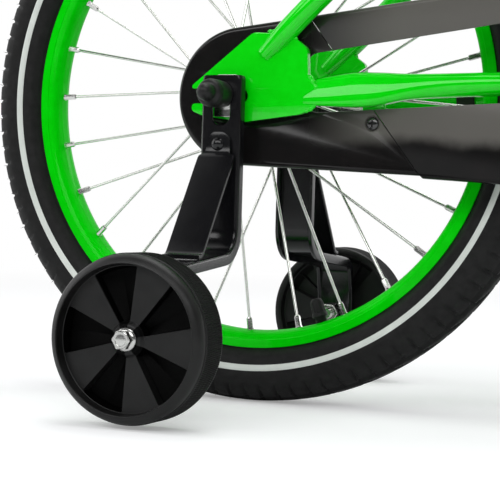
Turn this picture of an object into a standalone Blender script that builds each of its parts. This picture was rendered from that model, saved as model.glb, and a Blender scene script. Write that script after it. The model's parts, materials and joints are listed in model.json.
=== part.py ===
"""A child's bicycle with sixteen-inch wheels, a closed chain guard, a coaster brake and
a pair of stabilisers. Metres, +Z up, +X forwards, +Y to the rider's left. The origin is
on the ground, midway between the two wheel axles."""

import math

import bmesh
import bpy
from mathutils import Matrix, Vector

# Start from an empty scene.
for old in list(bpy.data.objects):
    bpy.data.objects.remove(old, do_unlink=True)

# Clearances that the fits share
GAP = 0.0003
RUNNING_GAP = 0.0004
CUTTER_REACH = 0.0100

# Wheels
WHEELBASE = 0.745
WHEEL_STEPS = 28
TYRE_RADIUS = 0.1936
TYRE_HALF_WIDTH = 0.0209
TYRE_WALL = 0.0027
BEAD_WIDTH = 0.0026
BEAD_LIFT = 0.0030
RIM_FLANGE_RADIUS = 0.1585
RIM_BED_RADIUS = 0.1490
RIM_HALF_WIDTH = 0.0122
RIM_WALL = 0.0018
RIM_CORNER = 0.0030
SPOKE_COUNT = 28
SPOKE_RADIUS = 0.0010
SPOKE_OFFSET = 0.0018
NIPPLE_RADIUS = 0.0022
NIPPLE_LENGTH = 0.0090
NIPPLE_TILT = math.radians(14)
FIRST_SPOKE_DEG = -181.4
FLANGE_HALF_SPACING = 0.0250
FLANGE_THICKNESS = 0.0030
FLANGE_HOLE_RADIUS = 0.0230
FLANGE_MARGIN = 0.0045
VALVE_AFTER_SPOKE = 8.5
VALVE_RADIUS = 0.0040
VALVE_TIP_RADIUS = 0.1350
VALVE_CAP_LENGTH = 0.0115
VALVE_CAP_WALL = 0.0012
VALVE_SINK = 0.0060
REAR_HUB_HALF_LENGTH = 0.0335
REAR_HUB_RADIUS = 0.0190
FRONT_HUB_HALF_LENGTH = 0.0400
FRONT_HUB_RADIUS = 0.0130
AXLE_RADIUS = 0.0043
NUT_FLATS = 0.0150
NUT_THICKNESS = 0.0074

# Frame
SEAT_ANGLE_DEG = 70.0
HEAD_ANGLE_DEG = 70.0
BOTTOM_BRACKET_RISE = 0.0100
SEAT_TUBE_LENGTH = 0.235
SEAT_TUBE_RADIUS = 0.0155
SEAT_STAY_BELOW = 0.035
TOP_TUBE_BELOW = 0.080
TOP_TUBE_RADIUS = 0.0135
DOWN_TUBE_RADIUS = 0.0160
HEAD_TUBE_LENGTH = 0.085
HEAD_TUBE_RADIUS = 0.0180
TUBE_INSET = 0.0210
SHELL_RADIUS = 0.0195
SHELL_HALF_LENGTH = 0.0340
SHELL_BORE = 0.0165
SEAT_STAY_RADIUS = 0.0068
SEAT_STAY_FOOT = (0.0230, 0.0250)
SEAT_STAY_BOWS = ((0.18, 0.0560), (0.38, 0.0500), (0.72, 0.0330), (1.0, 0.0130))
BRIDGE_RADIUS = 0.0055
BRIDGE_AHEAD = 0.214
STAY_REACH = 0.258
STAY_SPREAD = 0.0540
STAY_RISE = 0.0098
STAY_HALF_HEIGHT = 0.0104
STAY_HALF_WIDTH = 0.0074
STAY_STATIONS = (
    # shares of the reach, spread, rise, half height and half width
    (0.1938, 0.9630, 0.20, 0.72, 0.46),
    (0.3023, 0.9722, 0.36, 1.00, 0.85),
    (0.3682, 0.9259, 0.43, 0.97, 0.95),
    (0.4574, 0.8481, 0.62, 0.74, 1.00),
    (0.6202, 0.7130, 0.81, 0.68, 0.97),
    (0.7946, 0.5370, 0.94, 0.68, 0.97),
    (1.0000, 0.4444, 1.00, 0.68, 0.97),
)
DROPOUT_INNER = 0.0515
DROPOUT_THICKNESS = 0.0045
SLOT_HALF_HEIGHT = 0.0047
SLOT_END = 0.0142
DROPOUT_REAR = -0.0245
DROPOUT_TINE = 0.0046
DROPOUT_LIP = 0.0012
DROPOUT_EDGE = (
    # the plate's corners ahead of the tines, each with its own rounding
    (-0.0160, -0.0125, 0.0060),
    (0.0110, -0.0160, 0.0100),
    (0.0490, -0.0113, 0),
    (0.0576, -0.0060, 0.0030),
    (0.0580, 0.0040, 0),
    (0.0526, 0.0125, 0.0060),
    (0.0516, 0.0290, 0.0060),
    (0.0400, 0.0375, 0),
    (0.0160, 0.0390, 0.0080),
)
TAB_HALF_WIDTH = 0.0070
TAB_DROP = 0.0060
TAB_ROUNDING = 0.0055
TAB_THICKNESS = 0.0027

# Coaster brake's arm and the clip that holds it
ARM_INNER = 0.0434
ARM_THICKNESS = 0.0024
ARM_REACH = (0.125, -0.0190)
ARM_HUB_RADIUS = 0.0135
ARM_END_RADIUS = 0.0065
CLIP_HALF_LENGTH = 0.0060
CLIP_WALL = 0.0018
CLIP_BOLT_RADIUS = 0.0025
CLIP_HEAD_RADIUS = 0.0046
CLIP_HEAD_HEIGHT = 0.0030

# Drive
CHAIN_PITCH = 0.0127
CHAIN_LINKS = 64
CHAINRING_TEETH = 28
SPROCKET_TEETH = 14
CHAINLINE = 0.0400
TOOTH_WIDTH = 0.0022
TOOTH_TIP = 0.0028
TOOTH_POCKET = 0.0032
ROLLER_RADIUS = 0.0038
PLATE_HALF_HEIGHT = 0.0036
ROLLER_SHARE = 0.12
PLATE_THICKNESS = 0.0010
PLATE_SPACING = 0.0016
CRANK_LENGTH = 0.110
CRANK_BOSS_RADIUS = 0.0165
CRANK_END_RADIUS = 0.0110
CRANK_INNER = 0.0500
CRANK_THICKNESS = 0.0120
SPINDLE_RADIUS = 0.0075
SPINDLE_SINK = 0.0030
CUP_RADIUS = 0.0185
CUP_FLANGE = 0.0020
CUP_DEPTH = 0.0140
PEDAL_AXLE_RADIUS = 0.0045
PEDAL_LENGTH = 0.086
PEDAL_WIDTH = 0.078
PEDAL_THICKNESS = 0.024
PEDAL_GAP = 0.0020
PEDAL_BEVEL = 0.0040
PEDAL_RAIL = 0.0150
PEDAL_BARREL = 0.0105
PEDAL_CHEEK = 0.0100
DRIVER_RADIUS = 0.0150
DRIVER_BORE = 0.0120
DRIVER_END = 0.0016
BOLT_CAP_RADIUS = 0.0098
BOLT_CAP_HEIGHT = 0.0030

# Chain guard
GUARD_FACE = 0.0468
GUARD_WALL = 0.0018
GUARD_INNER_EDGE = 0.0340
GUARD_REAR_CENTRE = (0.0043, 0.0008)
GUARD_REAR_RADIUS = 0.0430
GUARD_FRONT_RADIUS = 0.0662
GUARD_REAR_LIFT = 0.0060
GUARD_AXLE_HOLE = 0.0120
GUARD_CRANK_HOLE = 0.0220
GUARD_WINDOW = ((0.048, -0.0099), (0.200, -0.0022), (0.200, 0.047), (0.048, 0.026))
GUARD_PARTING = ((0.0923, -0.0083), (0.1214, -0.0464))
GUARD_PARTING_GAP = 0.0004
GUARD_SCREW = (0.0913, -0.0161)
SCREW_HEAD_RADIUS = 0.0044
SCREW_SHANK_RADIUS = 0.0020
SCREW_SHANK_LENGTH = 0.0080
RECESS_LENGTH = 0.0024
RECESS_WIDTH = 0.0005
RECESS_DEPTH = 0.0008
BRACKET_PLATE = 0.0012
BRACKET_BODY = 0.0240
BRACKET_ARM_ROOT = 0.0290

# Fork and steering
FORK_RAKE = 0.030
FORK_CROWN_TOP = 0.240
FORK_CROWN_RADIUS = 0.0200
FORK_CROWN_HEIGHT = 0.0140
STEERER_RADIUS = 0.0127
FORK_LEG_RADIUS = 0.0112
FORK_TIP_RADIUS = 0.0078
FORK_TIP_INNER = 0.0480
FORK_TIP_THICKNESS = 0.0040
FORK_TIP_HALF_WIDTH = 0.0125
FORK_TIP_HEIGHT = 0.0270
FORK_TIP_MOUTH = 0.0110
STEERER_PAST_HEADSET = 0.0140
CONE_RADIUS = 0.0080
AXLE_PAST_NUT = 0.0050
HEADSET_HEIGHT = 0.0115
HEADSET_RADIUS = 0.0212
QUILL_RADIUS = 0.0110
QUILL_DEPTH = 0.065
BAR_RADIUS = 0.0111
BAR_HEIGHT = 0.445
BAR_HALF_WIDTH = 0.250
BAR_RISE = 0.090
BAR_SWEEP = 0.022
STEM_REACH = 0.038
STEM_CLAMP_WIDTH = 0.040
STEM_WALL = 0.0055
STEM_ARM_RADIUS = 0.0135
STEM_HEAD_RADIUS = 0.0150
STEM_HEAD_ABOVE = 0.0135
STEM_HEAD_BELOW = 0.0180
GRIP_LENGTH = 0.102
GRIP_WALL = 0.0045
GRIP_END = 0.0040
GRIP_FLANGE = 0.0040

# Seat
SEAT_POST_RADIUS = 0.0127
SEAT_POST_INSERTION = 0.150
SEAT_POST_RISE = 0.080
SADDLE_LENGTH = 0.235
SADDLE_HALF_WIDTH = 0.078
SADDLE_DEPTH = 0.042
RAIL_RADIUS = 0.0035
RAIL_HALF_SPACING = 0.0220
RAIL_REAR = 0.0850
RAIL_FRONT = 0.1050
RAIL_FLAT = 0.0340
RAIL_LIFT = 0.0150
SEAT_CLAMP_RADIUS = 0.0110
SEAT_CLAMP_WALL = 0.0030
SEAT_CLAMP_SINK = 0.0120
SEAT_CLAMP_LIFT = 0.0210
SEAT_CLAMP_OVERHANG = 0.0080
COLLAR_HEIGHT = 0.0140
COLLAR_WALL = 0.0030
COLLAR_LUG = 0.0095
COLLAR_LUG_RADIUS = 0.0065
COLLAR_SLIT = 0.0018
COLLAR_BOLT_RADIUS = 0.0028

# Stabilisers
BRACKET_FACE = 0.0664
BRACKET_HALF_WIDTH = 0.0132
BRACKET_DEPTH = 0.0072
BRACKET_WALL = 0.0024
BRACKET_TOP = 0.0120
BRACKET_ELBOW_DROP = 0.0956
BRACKET_ELBOW_RADIUS = 0.0150
BRACKET_SHOULDER_RADIUS = 0.0120
BRACKET_FLANGE_END = 0.1280
BEND_POINTS = 4
BRACKET_SHOULDER_DROP = 0.1030
BRACKET_TAB_FACE = 0.1490
BRACKET_SLOT_TOP = 0.0070
BRACKET_SLOT_BOTTOM = 0.0186
BRACKET_SLOT_HALF_WIDTH = 0.0060
BRACKET_LIP = 0.0004
BRACE_WALL = 0.0025
BRACE_HALF_WIDTH = 0.0121
BRACE_TAB_RADIUS = 0.0081
BRACE_RIVET_DROP = 0.0304
BRACE_BEND = 0.0056
BRACE_LANDING = 0.1125
BRACE_FOOT = 0.1175
RIVET_RADIUS = 0.0024
RIVET_HEAD_RADIUS = 0.0042
CAP_RADIUS = 0.0084
CAP_LENGTH = 0.0188
CAP_TIP_RADIUS = 0.0062
CAP_TIP_LENGTH = 0.0090
STABILISER_RADIUS = 0.0480
STABILISER_FACE = 0.1825
STABILISER_WIDTH = 0.0290
STABILISER_DROP = 0.1435
STABILISER_TRAIL = 0.0025
STABILISER_RECESS_RADIUS = 0.0430
STABILISER_BOLT_RADIUS = 0.0040
STABILISER_NUT_FLATS = 0.0130
STABILISER_NUT_THICKNESS = 0.0068
STABILISER_BOLT_FLATS = 0.0100
STABILISER_FLANGE_RADIUS = 0.0074
STABILISER_EDGE = 0.0030
STABILISER_FLOOR = 0.0062
STABILISER_HOLLOW = 0.0060
STABILISER_HUB_RADIUS = 0.0090
STABILISER_HUB_SINK = 0.0060
PETALS = 5
PETAL_DEPTH = 0.0050
PETAL_MARGIN = 0.0015
PETAL_INNER = 0.0100
FIRST_PETAL_DEG = 103
STABILISER_STEPS = 20

# Places that follow from the sizes
REAR_X = -WHEELBASE / 2
FRONT_X = WHEELBASE / 2
AXLE_Z = TYRE_RADIUS
REAR_AXLE = Vector((REAR_X, 0, AXLE_Z))
FRONT_AXLE = Vector((FRONT_X, 0, AXLE_Z))
HEAD_ANGLE = math.radians(HEAD_ANGLE_DEG)
SEAT_ANGLE = math.radians(SEAT_ANGLE_DEG)
STEER_UP = Vector((-math.cos(HEAD_ANGLE), 0, math.sin(HEAD_ANGLE)))
STEER_FORWARD = Vector((math.sin(HEAD_ANGLE), 0, math.cos(HEAD_ANGLE)))
STEER_BASE = FRONT_AXLE - FORK_RAKE * STEER_FORWARD
SEAT_UP = Vector((-math.cos(SEAT_ANGLE), 0, math.sin(SEAT_ANGLE)))
HEAD_BOTTOM = FORK_CROWN_TOP + HEADSET_HEIGHT + 2 * GAP
HEAD_TOP = HEAD_BOTTOM + HEAD_TUBE_LENGTH
HEADSET_TOP = HEAD_TOP + GAP + HEADSET_HEIGHT
DROPOUT_OUTER = DROPOUT_INNER + DROPOUT_THICKNESS
DROPOUT_MIDDLE = DROPOUT_INNER + DROPOUT_THICKNESS / 2
CRANK_OUTER = CRANK_INNER + CRANK_THICKNESS
GUARD_FACE_INNER = GUARD_FACE - GUARD_WALL
BEAD_FACE = RIM_HALF_WIDTH - RIM_WALL - GAP
BEAD_FOOT = RIM_BED_RADIUS + RIM_WALL + BEAD_LIFT
ARM_OUTER = ARM_INNER + ARM_THICKNESS
RIGHT_CUP_START = SHELL_HALF_LENGTH + GAP + BRACKET_PLATE + GAP
CHAINRING_OUTER = CHAINLINE + TOOTH_WIDTH / 2
BOSS_INNER = CHAINRING_OUTER + GAP
PEDAL_INNER = CRANK_OUTER + PEDAL_GAP
SPINDLE_END = CRANK_OUTER - SPINDLE_SINK
STABILISER_INNER = STABILISER_FACE - STABILISER_WIDTH
WHEEL_HUB_INNER = BRACKET_TAB_FACE + GAP
WHEEL_HUB_OUTER = STABILISER_FACE - STABILISER_HUB_SINK
STEER_FRAME = Matrix.Translation(STEER_BASE) @ Matrix.Rotation(HEAD_ANGLE - math.pi / 2, 4, "Y")
SIDES = (("right", -1), ("left", 1))


def pitch_radius(teeth):
    """Radius of the circle on which a sprocket carries its chain's pins."""
    return CHAIN_PITCH / (2 * math.sin(math.pi / teeth))


RING_RADIUS = pitch_radius(CHAINRING_TEETH)
SPROCKET_RADIUS = pitch_radius(SPROCKET_TEETH)

# Links that lie on a sprocket between its far point and the place where the chain leaves
RING_LINKS = CHAINRING_TEETH // 4
SPROCKET_LINKS = SPROCKET_TEETH // 4
STRAIGHT_LINKS = CHAIN_LINKS // 2 - RING_LINKS - SPROCKET_LINKS
RING_WRAP = RING_LINKS * 2 * math.pi / CHAINRING_TEETH
SPROCKET_WRAP = SPROCKET_LINKS * 2 * math.pi / SPROCKET_TEETH


def sprocket_centres():
    """Distance between the sprockets that the chain spans: its straight run goes from the
    last pin on one sprocket to the last pin on the other."""
    fall = RING_RADIUS * math.sin(RING_WRAP) - SPROCKET_RADIUS * math.sin(SPROCKET_WRAP)
    run = math.sqrt((STRAIGHT_LINKS * CHAIN_PITCH) ** 2 - fall**2)
    return run - RING_RADIUS * math.cos(RING_WRAP) - SPROCKET_RADIUS * math.cos(SPROCKET_WRAP)


CENTRES = sprocket_centres()
DRIVE_LEAN = math.asin(BOTTOM_BRACKET_RISE / CENTRES)
DRIVE_RUN = CENTRES * math.cos(DRIVE_LEAN)
BOTTOM_BRACKET = Vector((REAR_X + DRIVE_RUN, 0, AXLE_Z + BOTTOM_BRACKET_RISE))
GUARD_FRONT_CENTRE = (DRIVE_RUN, BOTTOM_BRACKET_RISE)

parts = bpy.data.collections.new("bicycle")
bpy.context.scene.collection.children.link(parts)


# Materials
def material(name, colour, roughness, metallic=0.0):
    made = bpy.data.materials.new(name)
    made.use_nodes = True
    shader = made.node_tree.nodes["Principled BSDF"]
    shader.inputs["Base Color"].default_value = (*colour, 1)
    shader.inputs["Roughness"].default_value = roughness
    shader.inputs["Metallic"].default_value = metallic
    made.diffuse_color = (*colour, 1)
    return made


GREEN = material("green_paint", (0.01, 0.62, 0.02), 0.22)
RUBBER = material("tyre_rubber", (0.02, 0.02, 0.02), 0.75)
BLACK_STEEL = material("black_enamelled_steel", (0.012, 0.012, 0.014), 0.28)
BLACK_PLASTIC = material("black_glossy_plastic", (0.014, 0.014, 0.015), 0.25)
MATT_PLASTIC = material("black_matt_plastic", (0.02, 0.02, 0.02), 0.55)
ZINC = material("zinc_plated_steel", (0.75, 0.76, 0.76), 0.30, 1.0)
CHAIN_STEEL = material("chain_steel", (0.28, 0.26, 0.24), 0.35, 1.0)
VINYL = material("saddle_vinyl", (0.02, 0.02, 0.022), 0.50)


# Modelling helpers
def add(name, mesh, finish, parent=None):
    """Puts a mesh in the scene as one named object, in its parent's frame."""
    piece = bpy.data.objects.new(name, mesh)
    parts.objects.link(piece)
    mesh.materials.clear()
    mesh.materials.append(finish)
    piece.parent = parent
    return piece


def pivot(name, matrix, parent=None):
    """An empty on a joint's axis, the parent of the pieces that move there."""
    made = bpy.data.objects.new(name + "_pivot", None)
    parts.objects.link(made)
    made.empty_display_size = 0.03
    made.parent = parent
    made.matrix_local = matrix
    return made


def evaluated_mesh(piece):
    bpy.context.view_layer.update()
    graph = bpy.context.evaluated_depsgraph_get()
    return bpy.data.meshes.new_from_object(piece.evaluated_get(graph))


def combine(piece, others, operation, use_self=False):
    """Joins other objects to a piece or cuts them away one after the other, and removes
    them."""
    for other in others:
        modifier = piece.modifiers.new("join or cut", "BOOLEAN")
        modifier.operation = operation
        modifier.object = other
        modifier.use_self = use_self
        piece.data = evaluated_mesh(piece)
        piece.modifiers.clear()
        bpy.data.objects.remove(other, do_unlink=True)
    return piece


def join(piece, *others):
    return combine(piece, others, "UNION")


def cut(piece, *cutters):
    return combine(piece, cutters, "DIFFERENCE")


def smooth(piece, degrees=35.0):
    piece.data.shade_smooth()
    piece.data.set_sharp_from_angle(angle=math.radians(degrees))
    return piece


def mesh_from(name, work):
    mesh = bpy.data.meshes.new(name)
    work.to_mesh(mesh)
    work.free()
    return mesh


def along(start, end):
    """Matrix at the start whose Z axis points to the end."""
    heading = Vector(end) - Vector(start)
    return Matrix.Translation(start) @ heading.to_track_quat("Z", "Y").to_matrix().to_4x4()


def add_cone(work, start, end, radius, end_radius, sides, turn=0.0):
    length = (Vector(end) - Vector(start)).length
    lift = Matrix.Translation((0, 0, length / 2)) @ Matrix.Rotation(turn, 4, "Z")
    bmesh.ops.create_cone(
        work,
        cap_ends=True,
        segments=sides,
        radius1=radius,
        radius2=end_radius,
        depth=length,
        matrix=along(start, end) @ lift,
    )


def add_stepped_bar(work, stations, sides):
    """A straight bar whose radius changes at each (place, radius) station."""
    turn = along(stations[0][0], stations[-1][0]).to_3x3()
    rings = []
    for place, radius in stations:
        ring = []
        for k in range(sides):
            angle = 2 * math.pi * k / sides
            spread = Vector((radius * math.cos(angle), radius * math.sin(angle), 0))
            ring.append(work.verts.new(place + turn @ spread))
        rings.append(ring)
    for near, far in zip(rings, rings[1:]):
        for k in range(sides):
            n = (k + 1) % sides
            work.faces.new((near[k], near[n], far[n], far[k]))
    work.faces.new(rings[0][::-1])
    work.faces.new(rings[-1])


def rod(name, start, end, radius, finish=ZINC, sides=16, end_radius=None, parent=None):
    """A straight round bar, or a cone, between two points."""
    work = bmesh.new()
    add_cone(work, start, end, radius, radius if end_radius is None else end_radius, sides)
    return smooth(add(name, mesh_from(name, work), finish, parent))


def box(name, low, high, finish=ZINC, parent=None, bevel=0.0):
    """A block between two corners, with its edges taken off if asked."""
    low, high = Vector(low), Vector(high)
    work = bmesh.new()
    bmesh.ops.create_cube(work, size=1)
    place = Matrix.Translation((low + high) / 2) @ Matrix.Diagonal((*(high - low), 1))
    bmesh.ops.transform(work, matrix=place, verts=work.verts)
    if bevel:
        bmesh.ops.bevel(work, geom=work.edges[:], offset=bevel, segments=1, affect="EDGES")
    return add(name, mesh_from(name, work), finish, parent)


def turned(name, profile, finish, steps, parent=None, place=None, ring=False):
    """A profile of (radius, height) points turned about Z, then put in place. The profile
    runs down its outer side. That of a ring is closed."""
    edges = [(i, i + 1) for i in range(len(profile) - 1)]
    if ring:
        edges.append((len(profile) - 1, 0))
    mesh = bpy.data.meshes.new(name)
    mesh.from_pydata([(radius, 0, height) for radius, height in profile], edges, [])
    piece = add(name, mesh, finish, parent)
    screw = piece.modifiers.new("turn", "SCREW")
    screw.steps = screw.render_steps = steps
    screw.use_merge_vertices = True
    screw.merge_threshold = 0.00001
    piece.data = evaluated_mesh(piece)
    piece.modifiers.clear()
    work = bmesh.new()
    work.from_mesh(piece.data)
    bmesh.ops.recalc_face_normals(work, faces=work.faces)
    work.to_mesh(piece.data)
    work.free()
    if place is not None:
        piece.data.transform(place)
    return smooth(piece)


def sideways(y=0.0, side=-1):
    """Matrix that lays a turned piece's Z axis along -Y for the right side of the machine
    and along +Y for its left side."""
    return Matrix.Translation((0, y, 0)) @ Matrix.Rotation(-side * math.pi / 2, 4, "X")


def welded_mesh(wire):
    """The closed mesh of a curve object, which is removed."""
    work = bmesh.new()
    work.from_mesh(evaluated_mesh(wire))
    bmesh.ops.remove_doubles(work, verts=work.verts, dist=0.000001)
    bmesh.ops.recalc_face_normals(work, faces=work.faces)
    bpy.data.objects.remove(wire, do_unlink=True)
    return mesh_from("welded", work)


def plate(name, outline, inner, outer, side, finish, parent=None, place=None, holes=()):
    """A flat outline of (x, z) points with holes, between two distances from the
    machine's middle plane, on the side given."""
    curve = bpy.data.curves.new(name, "CURVE")
    curve.dimensions = "2D"
    curve.fill_mode = "BOTH"
    curve.extrude = (outer - inner) / 2
    for loop in (outline, *holes):
        spline = curve.splines.new("POLY")
        spline.points.add(len(loop) - 1)
        for point, (x, z) in zip(spline.points, loop):
            point.co = (x, z, 0, 1)
        spline.use_cyclic_u = True
    flat = bpy.data.objects.new(name, curve)
    parts.objects.link(flat)
    mesh = welded_mesh(flat)
    mesh.transform(Matrix.Rotation(math.pi / 2, 4, "X"))
    mesh.transform(Matrix.Translation((0, side * (inner + outer) / 2, 0)))
    if place is not None:
        mesh.transform(place)
    return smooth(add(name, mesh, finish, parent))


def pipe(name, points, radius, finish, parent=None, radii=None, resolution=3):
    """A round tube or wire through a list of points."""
    curve = bpy.data.curves.new(name, "CURVE")
    curve.dimensions = "3D"
    curve.bevel_depth = radius
    curve.bevel_resolution = resolution
    curve.use_fill_caps = True
    spline = curve.splines.new("POLY")
    spline.points.add(len(points) - 1)
    for i, place in enumerate(points):
        spline.points[i].co = (*place, 1)
        spline.points[i].radius = 1.0 if radii is None else radii[i] / radius
    wire = bpy.data.objects.new(name, curve)
    parts.objects.link(wire)
    return smooth(add(name, welded_mesh(wire), finish, parent))


def smooth_path(points, steps):
    """Points on one smooth curve through the given ones, a Catmull-Rom curve."""
    ends = [2 * Vector(points[0]) - Vector(points[1])]
    ends += [Vector(p) for p in points]
    ends.append(2 * Vector(points[-1]) - Vector(points[-2]))
    path = []
    for i in range(1, len(ends) - 2):
        a, b, c, d = ends[i - 1 : i + 3]
        for k in range(steps):
            t = k / steps
            curved = (2 * a - 5 * b + 4 * c - d) * t**2 + (3 * b - a - 3 * c + d) * t**3
            path.append(0.5 * (2 * b + (c - a) * t + curved))
    path.append(Vector(points[-1]))
    return path


def loft(name, sections, finish, parent=None, closed=False):
    """A skin over sections of as many points each, capped at both ends unless the last
    section joins the first."""
    count = len(sections[0])
    rows = len(sections)
    points = [tuple(p) for section in sections for p in section]
    faces = []
    for row in range(rows if closed else rows - 1):
        near, far = row * count, (row + 1) % rows * count
        for k in range(count):
            after = (k + 1) % count
            faces.append((near + k, near + after, far + after, far + k))
    if not closed:
        faces.append(tuple(range(count)))
        faces.append(tuple((rows - 1) * count + k for k in range(count)))
    mesh = bpy.data.meshes.new(name)
    mesh.from_pydata(points, [], faces)
    work = bmesh.new()
    work.from_mesh(mesh)
    bmesh.ops.recalc_face_normals(work, faces=work.faces)
    return smooth(add(name, mesh_from(name, work), finish, parent))


def arc(centre, radius, start_deg, end_deg, count):
    """Points on an arc in the plane, both ends included."""
    points = []
    for i in range(count):
        angle = math.radians(start_deg + (end_deg - start_deg) * i / (count - 1))
        points.append((centre[0] + radius * math.cos(angle), centre[1] + radius * math.sin(angle)))
    return points


def circle(centre, radius, count=16):
    return arc(centre, radius, 0, 360 * (count - 1) / count, count)


def rounded(corners, radius, count=4):
    """A closed outline with each corner rounded to the radius, or to the corner's own
    where it has a third value."""
    outline = []
    for i, corner in enumerate(corners):
        here = Vector(corner[:2])
        back = (Vector(corners[i - 1][:2]) - here).normalized()
        ahead = (Vector(corners[(i + 1) % len(corners)][:2]) - here).normalized()
        size = corner[2] if len(corner) > 2 else radius
        if size == 0:
            outline.append(tuple(here))
            continue
        half = back.angle(ahead) / 2
        centre = here + (back + ahead).normalized() * size / math.sin(half)
        first = here + back * size / math.tan(half) - centre
        last = here + ahead * size / math.tan(half) - centre
        for k in range(count):
            t = k / (count - 1)
            blend = (first * (1 - t) + last * t).normalized()
            outline.append(tuple(centre + blend * size))
    return outline


def belt(centre_a, radius_a, centre_b, radius_b, count_a, count_b):
    """The belt-shaped outline round two circles."""
    run = Vector(centre_b) - Vector(centre_a)
    lean = math.degrees(math.asin((radius_b - radius_a) / run.length))
    heading = math.degrees(math.atan2(run.y, run.x))
    back = arc(centre_a, radius_a, heading + 90 + lean, heading + 270 - lean, count_a)
    return back + arc(centre_b, radius_b, heading - 90 - lean, heading + 90 + lean, count_b)


def room(radius, sides, clearance=GAP):
    """Radius of a bore with flat sides that clears a round bar."""
    return (radius + clearance) / math.cos(math.pi / sides)


def at_rear_axle(x, y, z):
    """A point given from the rear axle's middle."""
    return Vector((REAR_X + x, y, AXLE_Z + z))


def on_seat_tube(length):
    return BOTTOM_BRACKET + length * SEAT_UP


def on_steerer(height):
    return STEER_BASE + height * STEER_UP


def radial(angle, radius):
    return Vector((radius * math.cos(angle), 0, radius * math.sin(angle)))


# Wheels: tyre, inner tube, rim, and hub with its laced spokes
def tyre_line(grow):
    """Half of the tyre's section from the bead up to the tread's middle, as (radius, half
    width), moved inwards by a wall if grow is negative."""
    height = TYRE_RADIUS - RIM_FLANGE_RADIUS
    shares = ((0.20, 0.90), (0.52, 1.00), (0.86, 0.70))
    return [
        (RIM_FLANGE_RADIUS + up * height + 0.75 * grow * up, across * TYRE_HALF_WIDTH + grow)
        for up, across in shares
    ]


def mirrored_ring(half):
    """A ring's closed section from its upper half."""
    return half + [(radius, -height) for radius, height in half[::-1]]


def tyre_cavity():
    """Half of the tyre's inner line, from under the tread down to the bead's foot."""
    return [
        (TYRE_RADIUS - 1.7 * TYRE_WALL, 0.12 * TYRE_HALF_WIDTH),
        tyre_line(-TYRE_WALL)[1],
        (BEAD_FOOT, BEAD_FACE - BEAD_WIDTH),
    ]


def make_tyre(name, parent):
    half = tyre_cavity() + [(BEAD_FOOT, BEAD_FACE)]
    half += [(RIM_FLANGE_RADIUS + GAP, BEAD_FACE)]
    half += tyre_line(0)
    half += [(TYRE_RADIUS, 0.18 * TYRE_HALF_WIDTH)]
    return turned(name, mirrored_ring(half), RUBBER, WHEEL_STEPS, parent, sideways(), True)


def make_rim(name, parent, valve_angle):
    half, top, bed, corner = RIM_HALF_WIDTH, RIM_FLANGE_RADIUS, RIM_BED_RADIUS, RIM_CORNER
    upper = [
        (bed + RIM_WALL, half - RIM_WALL),
        (top, half - RIM_WALL),
        (top, half),
        (bed + corner, half),
        (bed, half - corner),
    ]
    section = mirrored_ring(upper)
    rim = turned(name, section, GREEN, WHEEL_STEPS, parent, sideways(), True)
    low, high = radial(valve_angle, bed - corner), radial(valve_angle, top)
    return cut(rim, rod("valve_hole", low, high, room(VALVE_RADIUS, 8), sides=8, parent=parent))


def make_inner_tube(name, parent, valve_angle):
    """The tube fills the tyre, and its valve goes through the rim."""
    crown, side, foot = (Vector(point) for point in tyre_cavity())
    low, high = side.lerp(foot, 0.75), side.lerp(crown, 0.45)
    skin = Vector((2 * GAP, 2.5 * GAP))
    section = mirrored_ring([tuple(high - skin), tuple(low - Vector((0, skin.y)))])
    tube = turned(name, section, RUBBER, WHEEL_STEPS, parent, sideways(), True)
    tip, root = radial(valve_angle, VALVE_TIP_RADIUS), radial(valve_angle, low.x + VALVE_SINK)
    return join(tube, rod("valve", tip, root, VALVE_RADIUS, sides=8, parent=parent))


def make_valve_cap(name, parent, valve_angle):
    """A cap, closed at its end, screwed on the valve."""
    bore = room(VALVE_RADIUS, 8)
    wall = bore + VALVE_CAP_WALL
    floor = VALVE_CAP_LENGTH - 2 * VALVE_CAP_WALL
    profile = [
        (0, VALVE_CAP_LENGTH),
        (0.7 * wall, VALVE_CAP_LENGTH),
        (wall, floor),
        (wall, 0),
        (bore, 0),
        (bore, floor),
        (0, floor),
    ]
    mouth = radial(valve_angle, VALVE_TIP_RADIUS + floor - GAP)
    return turned(name, profile, MATT_PLASTIC, 8, parent, along(mouth, Vector()))


def spoke_ends(index, first_deg):
    """Hub end and rim end of one spoke. Of each four, the first leaves the left flange and
    the second the right one, both from a hole two steps back, and the other two from a
    hole two steps on, so that neighbours on a flange cross."""
    side = (1, -1, 1, -1)[index % 4]
    lean = (-1, 1, 1, -1)[index % 4]
    step = 2 * math.pi / SPOKE_COUNT
    rim_angle = math.radians(first_deg) + index * step
    hub = radial(rim_angle + 2 * lean * step, FLANGE_HOLE_RADIUS)
    hub.y = side * (FLANGE_HALF_SPACING + lean * SPOKE_OFFSET)
    reach = RIM_BED_RADIUS * math.cos(math.pi / WHEEL_STEPS) - GAP
    rim = radial(rim_angle, reach - NIPPLE_RADIUS * math.sin(NIPPLE_TILT))
    rim.y = side * NIPPLE_RADIUS / 2
    return hub, rim


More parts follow.
